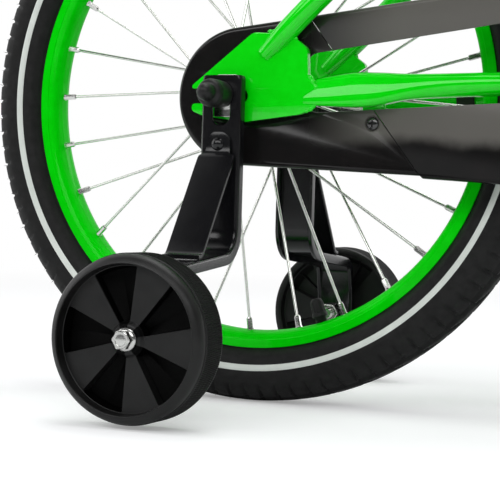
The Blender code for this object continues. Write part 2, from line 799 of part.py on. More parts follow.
def make_hub_and_spokes(name, parent, first_deg, half_length, barrel):
    """Hub shell and every spoke with its nipple, one body as in a laced and tensioned
    wheel."""
    work = bmesh.new()
    for index in range(SPOKE_COUNT):
        hub, rim = spoke_ends(index, first_deg)
        way = (rim - hub).normalized()
        nipple = rim - way * NIPPLE_LENGTH
        root = hub - way * FLANGE_THICKNESS
        thin = ((root, SPOKE_RADIUS), (nipple, SPOKE_RADIUS))
        thick = ((nipple, NIPPLE_RADIUS), (rim, NIPPLE_RADIUS))
        add_stepped_bar(work, thin + thick, 3)
    spokes = add("spokes", mesh_from("spokes", work), ZINC, parent)
    middle, half = FLANGE_HALF_SPACING, FLANGE_THICKNESS / 2
    edge = FLANGE_HOLE_RADIUS + FLANGE_MARGIN
    upper = [
        (0.85 * barrel, half_length),
        (edge, middle + half),
        (edge, middle - half),
        (barrel, middle - 4 * half),
    ]
    bore = room(AXLE_RADIUS, 12, RUNNING_GAP)
    section = mirrored_ring([(bore, half_length)] + upper)
    hub = turned(name, section, BLACK_STEEL, 12, parent, sideways(), True)
    combine(hub, [spokes], "UNION", use_self=True)
    return smooth(hub)


def make_wheel(word, parent, first_deg, half_length, barrel):
    valve_angle = math.radians(first_deg + VALVE_AFTER_SPOKE * 360 / SPOKE_COUNT)
    make_tyre(word + "_tyre", parent)
    make_rim(word + "_rim", parent, valve_angle)
    make_inner_tube(word + "_inner_tube", parent, valve_angle)
    make_valve_cap(word + "_valve_cap", parent, valve_angle)
    make_hub_and_spokes(word + "_spokes", parent, first_deg, half_length, barrel)


# Frame: tubes welded to a head tube, a bottom bracket shell and two dropouts
def stay_stations():
    """Places along the chain stay, as forwards, sideways, up, half height, half width."""
    whole = (STAY_REACH, STAY_SPREAD, STAY_RISE, STAY_HALF_HEIGHT, STAY_HALF_WIDTH)
    return [[share * size for share, size in zip(row, whole)] for row in STAY_STATIONS]


def stay_section(forward, side, grow=0.0, sides=8):
    """The chain stay's oval section at a distance ahead of the rear axle."""
    stations = stay_stations()
    after = next(i for i in range(1, len(stations)) if forward <= stations[i][0] + 1e-9)
    a, b = stations[after - 1], stations[after]
    t = (forward - a[0]) / (b[0] - a[0])
    y, z, high, wide = (a[i] + (b[i] - a[i]) * t for i in range(1, 5))
    points = []
    for k in range(sides):
        angle = 2 * math.pi * k / sides
        across = side * y + (wide + grow) * math.cos(angle)
        points.append(at_rear_axle(forward, across, z + (high + grow) * math.sin(angle)))
    return points


def chain_stay(name, side, start, end, grow=0.0):
    """The stay, or the stretch of it between two distances ahead of the rear axle."""
    between = [s[0] for s in stay_stations() if start < s[0] < end]
    sections = [stay_section(x, side, grow) for x in (start, *between, end)]
    return loft(name, sections, GREEN)


def dropout_outline():
    """The dropout seen from the side, from the rear axle: two tines round a slot that is
    open to the rear, and a plate that runs up into the seat stay and forwards into the
    chain stay."""
    slot, rear, lip = SLOT_HALF_HEIGHT, DROPOUT_REAR, DROPOUT_LIP
    corners = [
        (rear, -slot - DROPOUT_TINE, 1.5 * lip),
        *DROPOUT_EDGE,
        (rear, slot + lip, 0.8 * lip),
        (rear, slot, 0),
        (SLOT_END, slot, slot),
        (SLOT_END, -slot, slot),
        (rear, -slot, 0.8 * lip),
    ]
    return rounded(corners, lip, 3)


def seat_stay_path(side):
    low = at_rear_axle(SEAT_STAY_FOOT[0], 0, SEAT_STAY_FOOT[1])
    high = on_seat_tube(SEAT_TUBE_LENGTH - SEAT_STAY_BELOW)
    anchors = []
    for t, y in ((0.0, DROPOUT_MIDDLE), *SEAT_STAY_BOWS):
        place = low + (high - low) * t
        place.y = side * y
        anchors.append(place)
    return anchors


def guard_tab():
    """The tab under the right chain stay that the guard's screw holds to."""
    x, z = GUARD_SCREW
    outer = GUARD_FACE_INNER - GAP
    inner = outer - TAB_THICKNESS
    half, top, low = TAB_HALF_WIDTH, STAY_RISE / 5, z - TAB_DROP
    corners = [(x - half, top, 0), (x - half, low), (x + half, low), (x + half, top, 0)]
    outline = rounded(corners, TAB_ROUNDING)
    hole = circle(GUARD_SCREW, room(SCREW_SHANK_RADIUS, 12), 12)
    place = Matrix.Translation(REAR_AXLE)
    tab = plate("guard_tab", outline, inner, outer, -1, GREEN, None, place, [hole])
    root = 0.93 * half
    near = at_rear_axle(x - root, -(outer + TAB_THICKNESS), -2 * top)
    return join(tab, box("tab_root", near, at_rear_axle(x + root, -inner, 2 * top)))


def make_frame():
    out = Vector((0, SHELL_HALF_LENGTH, 0))
    base = BOTTOM_BRACKET
    frame = rod("frame", base + out, base - out, SHELL_RADIUS, GREEN, 20)
    seat_top, down_end = on_seat_tube(SEAT_TUBE_LENGTH), on_steerer(HEAD_BOTTOM + TUBE_INSET)
    top_start = on_seat_tube(SEAT_TUBE_LENGTH - TOP_TUBE_BELOW)
    top_end = on_steerer(HEAD_TOP - TUBE_INSET)
    join(
        frame,
        rod("seat_tube", base, seat_top, SEAT_TUBE_RADIUS, sides=16),
        rod("down_tube", base, down_end, DOWN_TUBE_RADIUS, sides=12),
        rod("top_tube", top_start, top_end, TOP_TUBE_RADIUS, sides=12),
        rod("head_tube", on_steerer(HEAD_BOTTOM), on_steerer(HEAD_TOP), HEAD_TUBE_RADIUS, sides=18),
    )
    place = Matrix.Translation(REAR_AXLE)
    stations = stay_stations()
    for word, side in SIDES:
        ends = dropout_outline()
        dropout = plate("dropout", ends, DROPOUT_INNER, DROPOUT_OUTER, side, GREEN, None, place)
        stay = chain_stay("chain_stay", side, stations[0][0], stations[-1][0])
        seat_stay = pipe("seat_stay", seat_stay_path(side), SEAT_STAY_RADIUS, GREEN, resolution=2)
        join(frame, stay, seat_stay, dropout)
    low_bridge = at_rear_axle(BRIDGE_AHEAD, stations[-2][1], stations[-2][2])
    for middle in (seat_stay_path(1)[3], low_bridge):
        across = Vector((middle.x, -middle.y, middle.z))
        join(frame, rod("bridge", middle, across, BRIDGE_RADIUS, sides=8))
    join(frame, guard_tab())
    bearing_room = room(STEERER_RADIUS, 14, 2 * RUNNING_GAP)
    head_ends = (on_steerer(HEAD_BOTTOM - CUTTER_REACH), on_steerer(HEAD_TOP + CUTTER_REACH))
    post_room = room(SEAT_POST_RADIUS, 16, RUNNING_GAP)
    post_start = on_seat_tube(1.5 * SHELL_RADIUS)
    post_ends = (post_start, on_seat_tube(SEAT_TUBE_LENGTH + CUTTER_REACH))
    shell_end = out + Vector((0, CUTTER_REACH, 0))
    cut(
        frame,
        rod("head_bore", *head_ends, bearing_room, sides=14),
        rod("seat_bore", *post_ends, post_room, sides=16),
        rod("shell_bore", base + shell_end, base - shell_end, SHELL_BORE, sides=16),
    )
    return smooth(frame)


# Rear axle with what it carries
def hexagon(name, flats, inner, outer, side, bore, finish, parent=None, place=None):
    """A hexagonal nut or head, with one flat below."""
    corner = flats / math.sqrt(3)
    outline = circle((0, 0), corner, 6)
    holes = [circle((0, 0), bore, 10)] if bore else []
    return plate(name, outline, inner, outer, side, finish, parent, place, holes)


def axle_stack():
    """Distances from the middle plane to what is clamped on each end of the rear axle."""
    nut = DROPOUT_OUTER + GAP
    return nut, BRACKET_FACE + GAP, BRACKET_FACE + GAP + CAP_LENGTH


def make_rear_axle():
    """The axle with its cone on the right, which the driver turns on."""
    nut, cap, cap_end = axle_stack()
    end = Vector((0, cap_end - CAP_RADIUS / 2, 0))
    axle = rod("rear_axle", REAR_AXLE + end, REAR_AXLE - end, AXLE_RADIUS, ZINC, 12)
    inner = CHAINLINE + TOOTH_WIDTH + RUNNING_GAP
    for side, start in ((-1, inner + DRIVER_END + RUNNING_GAP), (1, ARM_OUTER + GAP)):
        low = REAR_AXLE + Vector((0, side * start, 0))
        high = REAR_AXLE + Vector((0, side * (DROPOUT_INNER - GAP), 0))
        join(axle, rod("cone", low, high, 2.0 * AXLE_RADIUS, sides=8))
    place = Matrix.Translation(REAR_AXLE)
    for word, side in SIDES:
        bore = room(AXLE_RADIUS, 10)
        name = "rear_axle_nut_" + word
        hexagon(name, NUT_FLATS, nut, nut + NUT_THICKNESS, side, bore, ZINC, None, place)
        make_axle_cap("rear_axle_cap_" + word, side, cap)
    return smooth(axle)


def make_axle_cap(name, side, start):
    """A long black cap nut on the axle's end, with a small knob at its tip."""
    bore = room(AXLE_RADIUS, 12)
    tip = CAP_LENGTH + CAP_TIP_LENGTH
    depth = CAP_LENGTH - CAP_RADIUS / 2 + GAP
    profile = [
        (0, tip),
        (0.55 * CAP_TIP_RADIUS, tip - 0.0006),
        (0.92 * CAP_TIP_RADIUS, tip - 0.0022),
        (CAP_TIP_RADIUS, tip - 0.0042),
        (0.85 * CAP_TIP_RADIUS, CAP_LENGTH),
        (0.86 * CAP_RADIUS, CAP_LENGTH),
        (CAP_RADIUS, CAP_LENGTH - 0.0014),
        (CAP_RADIUS, 0),
        (bore, 0),
        (bore, depth),
        (0, depth),
    ]
    place = Matrix.Translation(REAR_AXLE) @ sideways(side * start, side)
    return turned(name, profile, BLACK_PLASTIC, 10, None, place)


# Coaster brake: a cone fixed to its reaction arm, and the arm's clip on the left stay
def make_brake_arm():
    place = Matrix.Translation(REAR_AXLE)
    outline = belt((0, 0), ARM_HUB_RADIUS, ARM_REACH, ARM_END_RADIUS, 9, 7)
    holes = [
        circle((0, 0), room(AXLE_RADIUS, 12), 12),
        circle(ARM_REACH, room(CLIP_BOLT_RADIUS, 10), 10),
    ]
    name = "coaster_brake_arm"
    arm = plate(name, outline, ARM_INNER, ARM_OUTER, 1, ZINC, None, place, holes)
    start = REAR_HUB_HALF_LENGTH + RUNNING_GAP
    bore, wall = room(AXLE_RADIUS, 12), 0.9 * ARM_HUB_RADIUS
    middle = ARM_INNER + ARM_THICKNESS / 2
    section = [(wall, middle), (wall, start), (bore, start), (bore, middle)]
    cone = turned("cone", section, ZINC, 12, None, place @ sideways(0, 1), True)
    return smooth(join(arm, cone))


def make_brake_clip():
    """A band round the left chain stay whose lug is bolted to the brake arm."""
    x, z = ARM_REACH
    start, end = x - CLIP_HALF_LENGTH, x + CLIP_HALF_LENGTH
    clip = chain_stay("brake_arm_clip", 1, start, end, GAP + CLIP_WALL)
    clip.data.materials.clear()
    clip.data.materials.append(ZINC)
    low = ARM_OUTER + GAP
    ease = 2 * GAP
    corner = at_rear_axle(start + ease, low, z - ARM_END_RADIUS)
    lug = box("lug", corner, at_rear_axle(end - ease, low + CLIP_WALL, STAY_RISE / 5))
    join(clip, lug)
    cut(clip, chain_stay("stay_room", 1, start - ARM_END_RADIUS, end + ARM_END_RADIUS, GAP))
    shank_start = ARM_INNER - CLIP_HEAD_HEIGHT
    for name, near, far, radius, sides in (
        ("bolt", shank_start, low, CLIP_BOLT_RADIUS, 10),
        ("head", low + CLIP_WALL / 2, low + CLIP_WALL + CLIP_HEAD_HEIGHT, CLIP_HEAD_RADIUS, 6),
        ("nut", shank_start - ease, ARM_INNER - GAP, CLIP_HEAD_RADIUS, 6),
    ):
        join(clip, rod(name, at_rear_axle(x, near, z), at_rear_axle(x, far, z), radius, sides=sides))
    return smooth(clip)


# Sprockets and chain
def sprocket_outline(teeth, first_pin):
    """Pockets round the chain's rollers, and flat-topped teeth between them."""
    radius = pitch_radius(teeth)
    floor = ROLLER_RADIUS + GAP
    near = math.hypot(floor, TOOTH_POCKET)
    lean = 2 * math.atan2(TOOTH_POCKET, floor) - math.pi / 2
    flank = TOOTH_POCKET - (TOOTH_TIP + floor) * math.tan(lean)
    outline = []
    for k in range(teeth):
        angle = first_pin + 2 * math.pi * k / teeth
        way = Vector((math.cos(angle), math.sin(angle)))
        across = Vector((-way.y, way.x))
        for out, shift in (
            (TOOTH_TIP, -flank),
            (-floor, -TOOTH_POCKET),
            (-floor, TOOTH_POCKET),
            (TOOTH_TIP, flank),
        ):
            outline.append(tuple(way * (radius + out) + across * shift))
    return outline


def make_rear_sprocket(parent):
    """The sprocket on the driver that turns on the rear axle."""
    outline = sprocket_outline(SPROCKET_TEETH, math.pi + DRIVE_LEAN)
    low, high = CHAINLINE - TOOTH_WIDTH / 2, CHAINLINE + TOOTH_WIDTH / 2
    bore = room(AXLE_RADIUS, 12, RUNNING_GAP)
    holes = [circle((0, 0), DRIVER_BORE, 12)]
    wheel = plate("rear_sprocket", outline, low, high, -1, CHAIN_STEEL, parent, None, holes)
    start = REAR_HUB_HALF_LENGTH + RUNNING_GAP
    end = CHAINLINE + TOOTH_WIDTH + DRIVER_END
    section = [(DRIVER_RADIUS, end), (DRIVER_RADIUS, start), (bore, start), (bore, end)]
    return smooth(join(wheel, turned("driver", section, CHAIN_STEEL, 12, parent, sideways(), True)))


def chain_pins():
    """The chain's pins as (x, z) from the rear axle, in order round both sprockets."""
    half = []
    for k in range(RING_LINKS + 1):
        angle = k * RING_WRAP / RING_LINKS
        from_ring = RING_RADIUS * Vector((math.cos(angle), math.sin(angle)))
        half.append(Vector((CENTRES, 0)) + from_ring)
    angle = math.pi - SPROCKET_WRAP
    landing = SPROCKET_RADIUS * Vector((math.cos(angle), math.sin(angle)))
    leaving = half[-1]
    for k in range(1, STRAIGHT_LINKS + 1):
        half.append(leaving.lerp(landing, k / STRAIGHT_LINKS))
    for k in range(1, SPROCKET_LINKS + 1):
        angle = math.pi - SPROCKET_WRAP * (1 - k / SPROCKET_LINKS)
        half.append(SPROCKET_RADIUS * Vector((math.cos(angle), math.sin(angle))))
    loop = half + [Vector((p.x, -p.y)) for p in half[-2:0:-1]]
    turn = Matrix.Rotation(DRIVE_LEAN, 2)
    return [turn @ pin for pin in loop]


def make_chain():
    """Two rails of side plates, close together on the inner links and wide apart on the
    outer ones, joined at each pin by a roller. Round a pin the rails' inner faces are
    left out and the roller's four sides take their place."""
    pins = chain_pins()
    count = len(pins)
    work = bmesh.new()
    rings = {-1: [], 1: []}
    for i, pin in enumerate(pins):
        ahead = pins[(i + 1) % count]
        way = (ahead - pin).normalized()
        across = Vector((-way.y, way.x)) * PLATE_HALF_HEIGHT
        near = PLATE_SPACING + (i % 2) * PLATE_THICKNESS
        far = near + PLATE_THICKNESS
        for share in (ROLLER_SHARE, 1 - ROLLER_SHARE):
            middle = pin.lerp(ahead, share)
            for side, sections in rings.items():
                section = []
                for depth, edge in ((far, 1), (far, -1), (near, -1), (near, 1)):
                    at = middle + across * edge
                    corner = at_rear_axle(at.x, side * depth - CHAINLINE, at.y)
                    section.append(work.verts.new(corner))
                sections.append(section)
    for sections in rings.values():
        for i, section in enumerate(sections):
            after = sections[(i + 1) % len(sections)]
            for k in range(4):
                if i % 2 == 0 or k != 2:
                    n = (k + 1) % 4
                    work.faces.new((section[k], section[n], after[n], after[k]))
    for i in range(1, 2 * count, 2):
        right, right_after = rings[-1][i], rings[-1][(i + 1) % (2 * count)]
        left, left_after = rings[1][i], rings[1][(i + 1) % (2 * count)]
        ends = [(right[2], left[2]), (right_after[2], left_after[2])]
        ends += [(right_after[3], left_after[3]), (right[3], left[3])]
        for k in range(4):
            (a, b), (c, d) = ends[k], ends[(k + 1) % 4]
            work.faces.new((a, b, d, c))
    bmesh.ops.recalc_face_normals(work, faces=work.faces)
    return smooth(add("chain", mesh_from("chain", work), CHAIN_STEEL))


# Crankset with its bearings
def make_bottom_bracket_cups():
    bore = room(SPINDLE_RADIUS, 16, RUNNING_GAP)
    body = SHELL_BORE - GAP
    for (word, side), start in zip(SIDES, (RIGHT_CUP_START, SHELL_HALF_LENGTH + GAP)):
        section = [
            (CUP_RADIUS, start + CUP_FLANGE),
            (CUP_RADIUS, start),
            (body, start),
            (body, start - CUP_DEPTH),
            (bore, start - CUP_DEPTH),
            (bore, start + CUP_FLANGE),
        ]
        place = Matrix.Translation(BOTTOM_BRACKET) @ sideways(0, side)
        turned("bottom_bracket_cup_" + word, section, ZINC, 16, None, place, True)


def make_chainring(parent):
    outline = sprocket_outline(CHAINRING_TEETH, DRIVE_LEAN)
    holes = [circle((0, 0), room(SPINDLE_RADIUS, 12), 12)]
    for k in range(5):
        angle = 2 * math.pi * (k + 0.5) / 5
        way = Vector((math.cos(angle), math.sin(angle))) * 0.62 * RING_RADIUS
        holes.append(circle(way, 0.20 * RING_RADIUS, 6))
    inner = CHAINLINE - TOOTH_WIDTH / 2
    return plate("chainring", outline, inner, CHAINRING_OUTER, -1, CHAIN_STEEL, parent, None, holes)


def make_crank(word, side, parent):
    """An arm with its boss on the spindle, and the pedal's axle screwed into its end."""
    forward = -side
    tip = (forward * CRANK_LENGTH, 0)
    if forward > 0:
        outline = belt((0, 0), CRANK_BOSS_RADIUS, tip, CRANK_END_RADIUS, 9, 7)
    else:
        outline = belt(tip, CRANK_END_RADIUS, (0, 0), CRANK_BOSS_RADIUS, 7, 9)
    name = "crank_arm_" + word
    arm = plate(name, outline, CRANK_INNER, CRANK_OUTER, side, BLACK_STEEL, parent)
    sunk = CRANK_THICKNESS / 6
    low, high = Vector((0, side * BOSS_INNER, 0)), Vector((0, side * (CRANK_INNER + sunk), 0))
    boss = rod("boss", low, high, 0.92 * CRANK_BOSS_RADIUS, sides=14, parent=parent)
    wide = room(SPINDLE_RADIUS, 12)
    bore = rod("bore", 0.9 * low, 1.5 * high, wide, sides=12, parent=parent)
    start = Vector((tip[0], side * (CRANK_OUTER - sunk), 0))
    end = Vector((tip[0], side * (PEDAL_INNER + PEDAL_LENGTH - 0.8 * PEDAL_CHEEK), 0))
    axle = rod("axle", start, end, PEDAL_AXLE_RADIUS, sides=10, parent=parent)
    return smooth(cut(join(arm, boss, axle), bore))


def make_pedal(word, side, parent):
    """A barrel that turns on the axle, between two treads that join it at both ends."""
    half = PEDAL_WIDTH / 2
    length = PEDAL_LENGTH
    body = box(
        "pedal_" + word,
        (-half, 0, -PEDAL_THICKNESS / 2),
        (half, length, PEDAL_THICKNESS / 2),
        MATT_PLASTIC,
        parent,
        bevel=PEDAL_BEVEL,
    )
    for way in (-1, 1):
        near, far = sorted((way * PEDAL_BARREL, way * (half - PEDAL_RAIL)))
        low = (near, PEDAL_CHEEK, -PEDAL_THICKNESS)
        high = (far, length - PEDAL_CHEEK, PEDAL_THICKNESS)
        cut(body, box("window", low, high, parent=parent))
    wide = room(PEDAL_AXLE_RADIUS, 12, RUNNING_GAP)
    start, end = (0, -CUTTER_REACH, 0), (0, length - 0.65 * PEDAL_CHEEK, 0)
    cut(body, rod("bore", start, end, wide, sides=12, parent=parent))
    turn = Matrix.Rotation(math.pi, 4, "Z") if side < 0 else Matrix()
    body.data.transform(Matrix.Translation((0, side * PEDAL_INNER, 0)) @ turn)
    return smooth(body)


def make_crank_bolt(word, side, parent):
    """The bolt in the spindle's end, under its dust cap."""
    edge = CRANK_OUTER + GAP
    profile = [
        (0, edge + BOLT_CAP_HEIGHT),
        (0.7 * BOLT_CAP_RADIUS, edge + 0.87 * BOLT_CAP_HEIGHT),
        (BOLT_CAP_RADIUS, edge),
        (SPINDLE_RADIUS - GAP, edge),
        (SPINDLE_RADIUS - GAP, SPINDLE_END + GAP),
        (0, SPINDLE_END + GAP),
    ]
    return turned("crank_bolt_" + word, profile, ZINC, 12, parent, sideways(0, side))


def make_crankset():
    crank = pivot("crank", Matrix.Translation(BOTTOM_BRACKET))
    end = Vector((0, SPINDLE_END, 0))
    rod("bottom_bracket_spindle", end, -end, SPINDLE_RADIUS, ZINC, 12, parent=crank)
    make_chainring(crank)
    for word, side in SIDES:
        make_crank(word, side, crank)
        make_crank_bolt(word, side, crank)
        foot = pivot("pedal_" + word, Matrix.Translation((-side * CRANK_LENGTH, 0, 0)), crank)
        make_pedal(word, side, foot)


# Chain guard: two sections of one moulded case, its screw and its bracket
def guard_body(name, lift, wall=0.0):
    """The case's solid outline, or its inside where a wall is given. A lift raises the
    lower edge at its front, as on the rear section, and leaves the upper edge."""
    back, front = GUARD_REAR_RADIUS - wall, GUARD_FRONT_RADIUS - wall - lift / 2
    middle = (GUARD_FRONT_CENTRE[0], GUARD_FRONT_CENTRE[1] + lift / 2)
    outline = belt(GUARD_REAR_CENTRE, back, middle, front, 15, 18)
    outer = GUARD_FACE if wall == 0 else GUARD_FACE_INNER
    inner = GUARD_INNER_EDGE if wall == 0 else GUARD_INNER_EDGE - CUTTER_REACH / 2
    return plate(name, outline, inner, outer, -1, BLACK_PLASTIC, None, Matrix.Translation(REAR_AXLE))


def through_guard(name, outline):
    """A cutter through the case's face."""
    low, high = GUARD_INNER_EDGE - CUTTER_REACH, GUARD_FACE + CUTTER_REACH
    return plate(name, outline, low, high, -1, ZINC, None, Matrix.Translation(REAR_AXLE))


def beyond_parting(name, ahead):
    """A block that holds everything on one side of the line between the two sections."""
    top, low = (Vector(p) for p in GUARD_PARTING)
    way = (top - low).normalized()
    normal = Vector((way.y, -way.x)) * (1 if ahead else -1)
    near = low - normal * GUARD_PARTING_GAP / 2
    up, out = way * WHEELBASE, normal * WHEELBASE
    corners = [near - up, near + up, near + up + out, near - up + out]
    return through_guard(name, [tuple(c) for c in corners])


def make_chain_guard():
    for word, ahead, lift in (("rear", False, GUARD_REAR_LIFT), ("front", True, 0.0)):
        guard = guard_body("chain_guard_" + word, lift)
        cut(
            guard,
            beyond_parting("other_section", not ahead),
            through_guard("window", rounded(GUARD_WINDOW, 0.008)),
            guard_body("inside", lift, GUARD_WALL),
            through_guard("crank_hole", circle(GUARD_FRONT_CENTRE, GUARD_CRANK_HOLE, 16)),
            through_guard("axle_hole", circle((0, 0), GUARD_AXLE_HOLE, 12)),
            through_guard("screw_hole", circle(GUARD_SCREW, room(SCREW_SHANK_RADIUS, 12), 12)),
        )
        if not ahead:
            cut(guard, countersink())
        smooth(guard)


def screw_point(depth):
    return at_rear_axle(GUARD_SCREW[0], -depth, GUARD_SCREW[1])


def countersink():
    start, end = screw_point(GUARD_FACE + 2 * GAP), screw_point(GUARD_FACE_INNER + GAP / 2)
    wide, narrow = room(SCREW_HEAD_RADIUS, 12, 1.5 * GAP), room(SCREW_SHANK_RADIUS, 12)
    return rod("countersink", start, end, wide, sides=12, end_radius=narrow)


def make_guard_screw():
    head, neck = screw_point(GUARD_FACE + GAP / 2), screw_point(GUARD_FACE_INNER + GAP)
    name, wide, thin = "chain_guard_screw", SCREW_HEAD_RADIUS, SCREW_SHANK_RADIUS
    screw = rod(name, head, neck, wide, BLACK_STEEL, 12, thin)
    shank_start = screw_point(GUARD_FACE_INNER + 2 * GAP)
    shank_end = screw_point(GUARD_FACE_INNER + GAP - SCREW_SHANK_LENGTH)
    join(screw, rod("shank", shank_start, shank_end, thin, sides=12))
    for along_x, along_z in ((RECESS_LENGTH, RECESS_WIDTH), (RECESS_WIDTH, RECESS_LENGTH)):
        middle = screw_point(GUARD_FACE)
        size = Vector((along_x, RECESS_DEPTH, along_z))
        cut(screw, box("recess", middle - size, middle + size))
    return screw


def make_guard_bracket():
    """A plate held under the right cup, whose arms carry the case's front section."""
    inner = SHELL_HALF_LENGTH + GAP
    outer = inner + BRACKET_PLATE
    reach = GUARD_FRONT_RADIUS - GUARD_WALL - GAP - RUNNING_GAP
    body, root = BRACKET_BODY, BRACKET_ARM_ROOT
    arm = ((-42, body), (-5, root), (-4.2, reach), (4.2, reach), (5, root), (42, body))
    outline = []
    for degrees in (90, 210, 330):
        for offset, radius in arm:
            angle = math.radians(degrees + offset)
            outline.append((radius * math.cos(angle), radius * math.sin(angle)))
    bore = circle((0, 0), SHELL_BORE, 20)
    place = Matrix.Translation(BOTTOM_BRACKET)
    return plate("chain_guard_bracket", outline, inner, outer, -1, ZINC, None, place, [bore])


# Stabilisers: pressed bracket, brace, axle cap, bolt, nut and wheel on each side
def swept_section(place, normal, side, half_width, depth, wall):
    """The channel's section at a place on its path: a web with a flange at each edge, or
    a flat bar where the depth is nothing."""
    corners = [(-half_width, 0), (half_width, 0), (half_width, depth)]
    if depth > wall:
        inside = half_width - wall
        corners += [(inside, depth), (inside, wall), (-inside, wall), (-inside, depth)]
    corners.append((-half_width, depth))
    section = []
    for x, down in corners:
        at = place + normal * down
        section.append(at_rear_axle(x, side * at.x, at.y))
    return section


def path_normals(path):
    """Normals that point to the inside of a path in the plane, which starts downwards."""
    normals = []
    for i in range(len(path)):
        before, after = path[max(i - 1, 0)], path[min(i + 1, len(path) - 1)]
        way = (after - before).normalized()
        normals.append(Vector((way.y, -way.x)))
    return normals


def bracket_path():
    """The web's outer face seen from behind: down, out above the wheel, and down again to
    a tab round the wheel's bolt."""
    corners = [
        (BRACKET_FACE, BRACKET_TOP, 0),
        (BRACKET_FACE, -BRACKET_ELBOW_DROP, BRACKET_ELBOW_RADIUS),
        (BRACKET_TAB_FACE, -BRACKET_SHOULDER_DROP, BRACKET_SHOULDER_RADIUS),
        (BRACKET_TAB_FACE, -BRACKET_FLANGE_END, 0),
    ]
    end = STABILISER_DROP
    corners += [(BRACKET_TAB_FACE, -end - BRACKET_HALF_WIDTH * d, 0) for d in (0.0, 0.55, 0.85, 1.0)]
    return [Vector(p) for p in rounded(corners, 0, BEND_POINTS)]


def make_bracket(word, side):
    path = bracket_path()
    thin = BRACKET_WALL + BRACKET_LIP
    depths = [BRACKET_DEPTH] * (1 + BEND_POINTS)
    for k in range(BEND_POINTS):
        depths.append(BRACKET_DEPTH + (thin - BRACKET_DEPTH) * k / BEND_POINTS)
    depths += [thin] * 5
    widths = [BRACKET_HALF_WIDTH] * (len(path) - 3)
    widths += [share * BRACKET_HALF_WIDTH for share in (0.75, 0.47, 0.20)]
    sections = [
        swept_section(p, n, side, w, d, BRACKET_WALL)
        for p, n, w, d in zip(path, path_normals(path), widths, depths)
    ]
    bracket = loft("stabiliser_bracket_" + word, sections, BLACK_STEEL)
    half, top, end = BRACKET_SLOT_HALF_WIDTH, BRACKET_SLOT_TOP, -BRACKET_SLOT_BOTTOM
    corners = [(-half, top, half / 2), (-half, end), (half, end), (half, top, half / 2)]
    slot = rounded(corners, 0.97 * half, 5)
    place = Matrix.Translation(REAR_AXLE)
    low, high = BRACKET_FACE - BRACKET_WALL - 2 * GAP, BRACKET_FACE + 2 * GAP
    cutter = plate("slot", slot, low, high, side, ZINC, None, place)
    rivet_ends = (at_rear_axle(0, side * y, -BRACE_RIVET_DROP) for y in (low, high))
    tab_start, tab_end = BRACKET_TAB_FACE - 2 * thin, BRACKET_TAB_FACE + thin
    bolt_ends = (stabiliser_point(side, y) for y in (tab_start, tab_end))
    cut(
        bracket,
        cutter,
        rod("rivet_hole", *rivet_ends, room(RIVET_RADIUS, 10), sides=10),
        rod("bolt_hole", *bolt_ends, room(STABILISER_BOLT_RADIUS, 12), sides=12),
    )
    return smooth(bracket)


def stabiliser_point(side, y):
    return at_rear_axle(-STABILISER_TRAIL, side * y, -STABILISER_DROP)


def brace_path():
    """The brace's outer face: on the web, down and out across the elbow, and flat on the
    bracket's upper side."""
    start = BRACKET_FACE + GAP + BRACE_WALL
    slope = (BRACKET_SHOULDER_DROP - BRACKET_ELBOW_DROP) / (BRACKET_TAB_FACE - BRACKET_FACE)
    lift = GAP + BRACE_WALL

    def on_shoulder(y):
        return Vector((y, -BRACKET_ELBOW_DROP - slope * (y - BRACKET_FACE) + lift))

    bend, half = -BRACE_RIVET_DROP - BRACE_BEND, BRACE_WALL / 2
    heights = [-BRACE_RIVET_DROP + BRACE_TAB_RADIUS * s for s in (0.97, 0.72, 0.0)]
    path = [Vector((start, z)) for z in heights]
    path += [Vector((start, bend + half)), Vector((start + 0.8 * half, bend - half))]
    path += [on_shoulder(BRACE_LANDING - 1.3 * half) + Vector((0, 2 * half))]
    path += [on_shoulder(BRACE_LANDING + 2 * half), on_shoulder(BRACE_FOOT)]
    return path


def make_brace(word, side):
    path = brace_path()
    tab, wide = BRACE_TAB_RADIUS, BRACE_HALF_WIDTH
    widths = [0.24 * tab, 0.69 * tab, tab, 1.05 * tab, 0.96 * wide, wide, wide, wide]
    sections = [
        swept_section(p, n, side, w, BRACE_WALL, BRACE_WALL)
        for p, n, w in zip(path, path_normals(path), widths)
    ]
    brace = loft("stabiliser_brace_" + word, sections, BLACK_STEEL)
    inner = BRACKET_FACE - BRACKET_WALL - GAP
    outer = BRACKET_FACE + GAP + BRACE_WALL
    dome, edge = RIVET_HEAD_RADIUS / 2, RIVET_HEAD_RADIUS
    profile = [
        (0, outer + dome),
        (0.6 * edge, outer + 0.75 * dome),
        (edge, outer - 0.2 * dome),
        (RIVET_RADIUS, outer - 0.4 * dome),
        (RIVET_RADIUS, inner),
        (edge, inner),
        (0.6 * edge, inner - 0.75 * dome),
        (0, inner - 0.85 * dome),
    ]
    place = Matrix.Translation(at_rear_axle(0, 0, -BRACE_RIVET_DROP)) @ sideways(0, side)
    return smooth(join(brace, turned("rivet", profile, BLACK_STEEL, 10, None, place)))


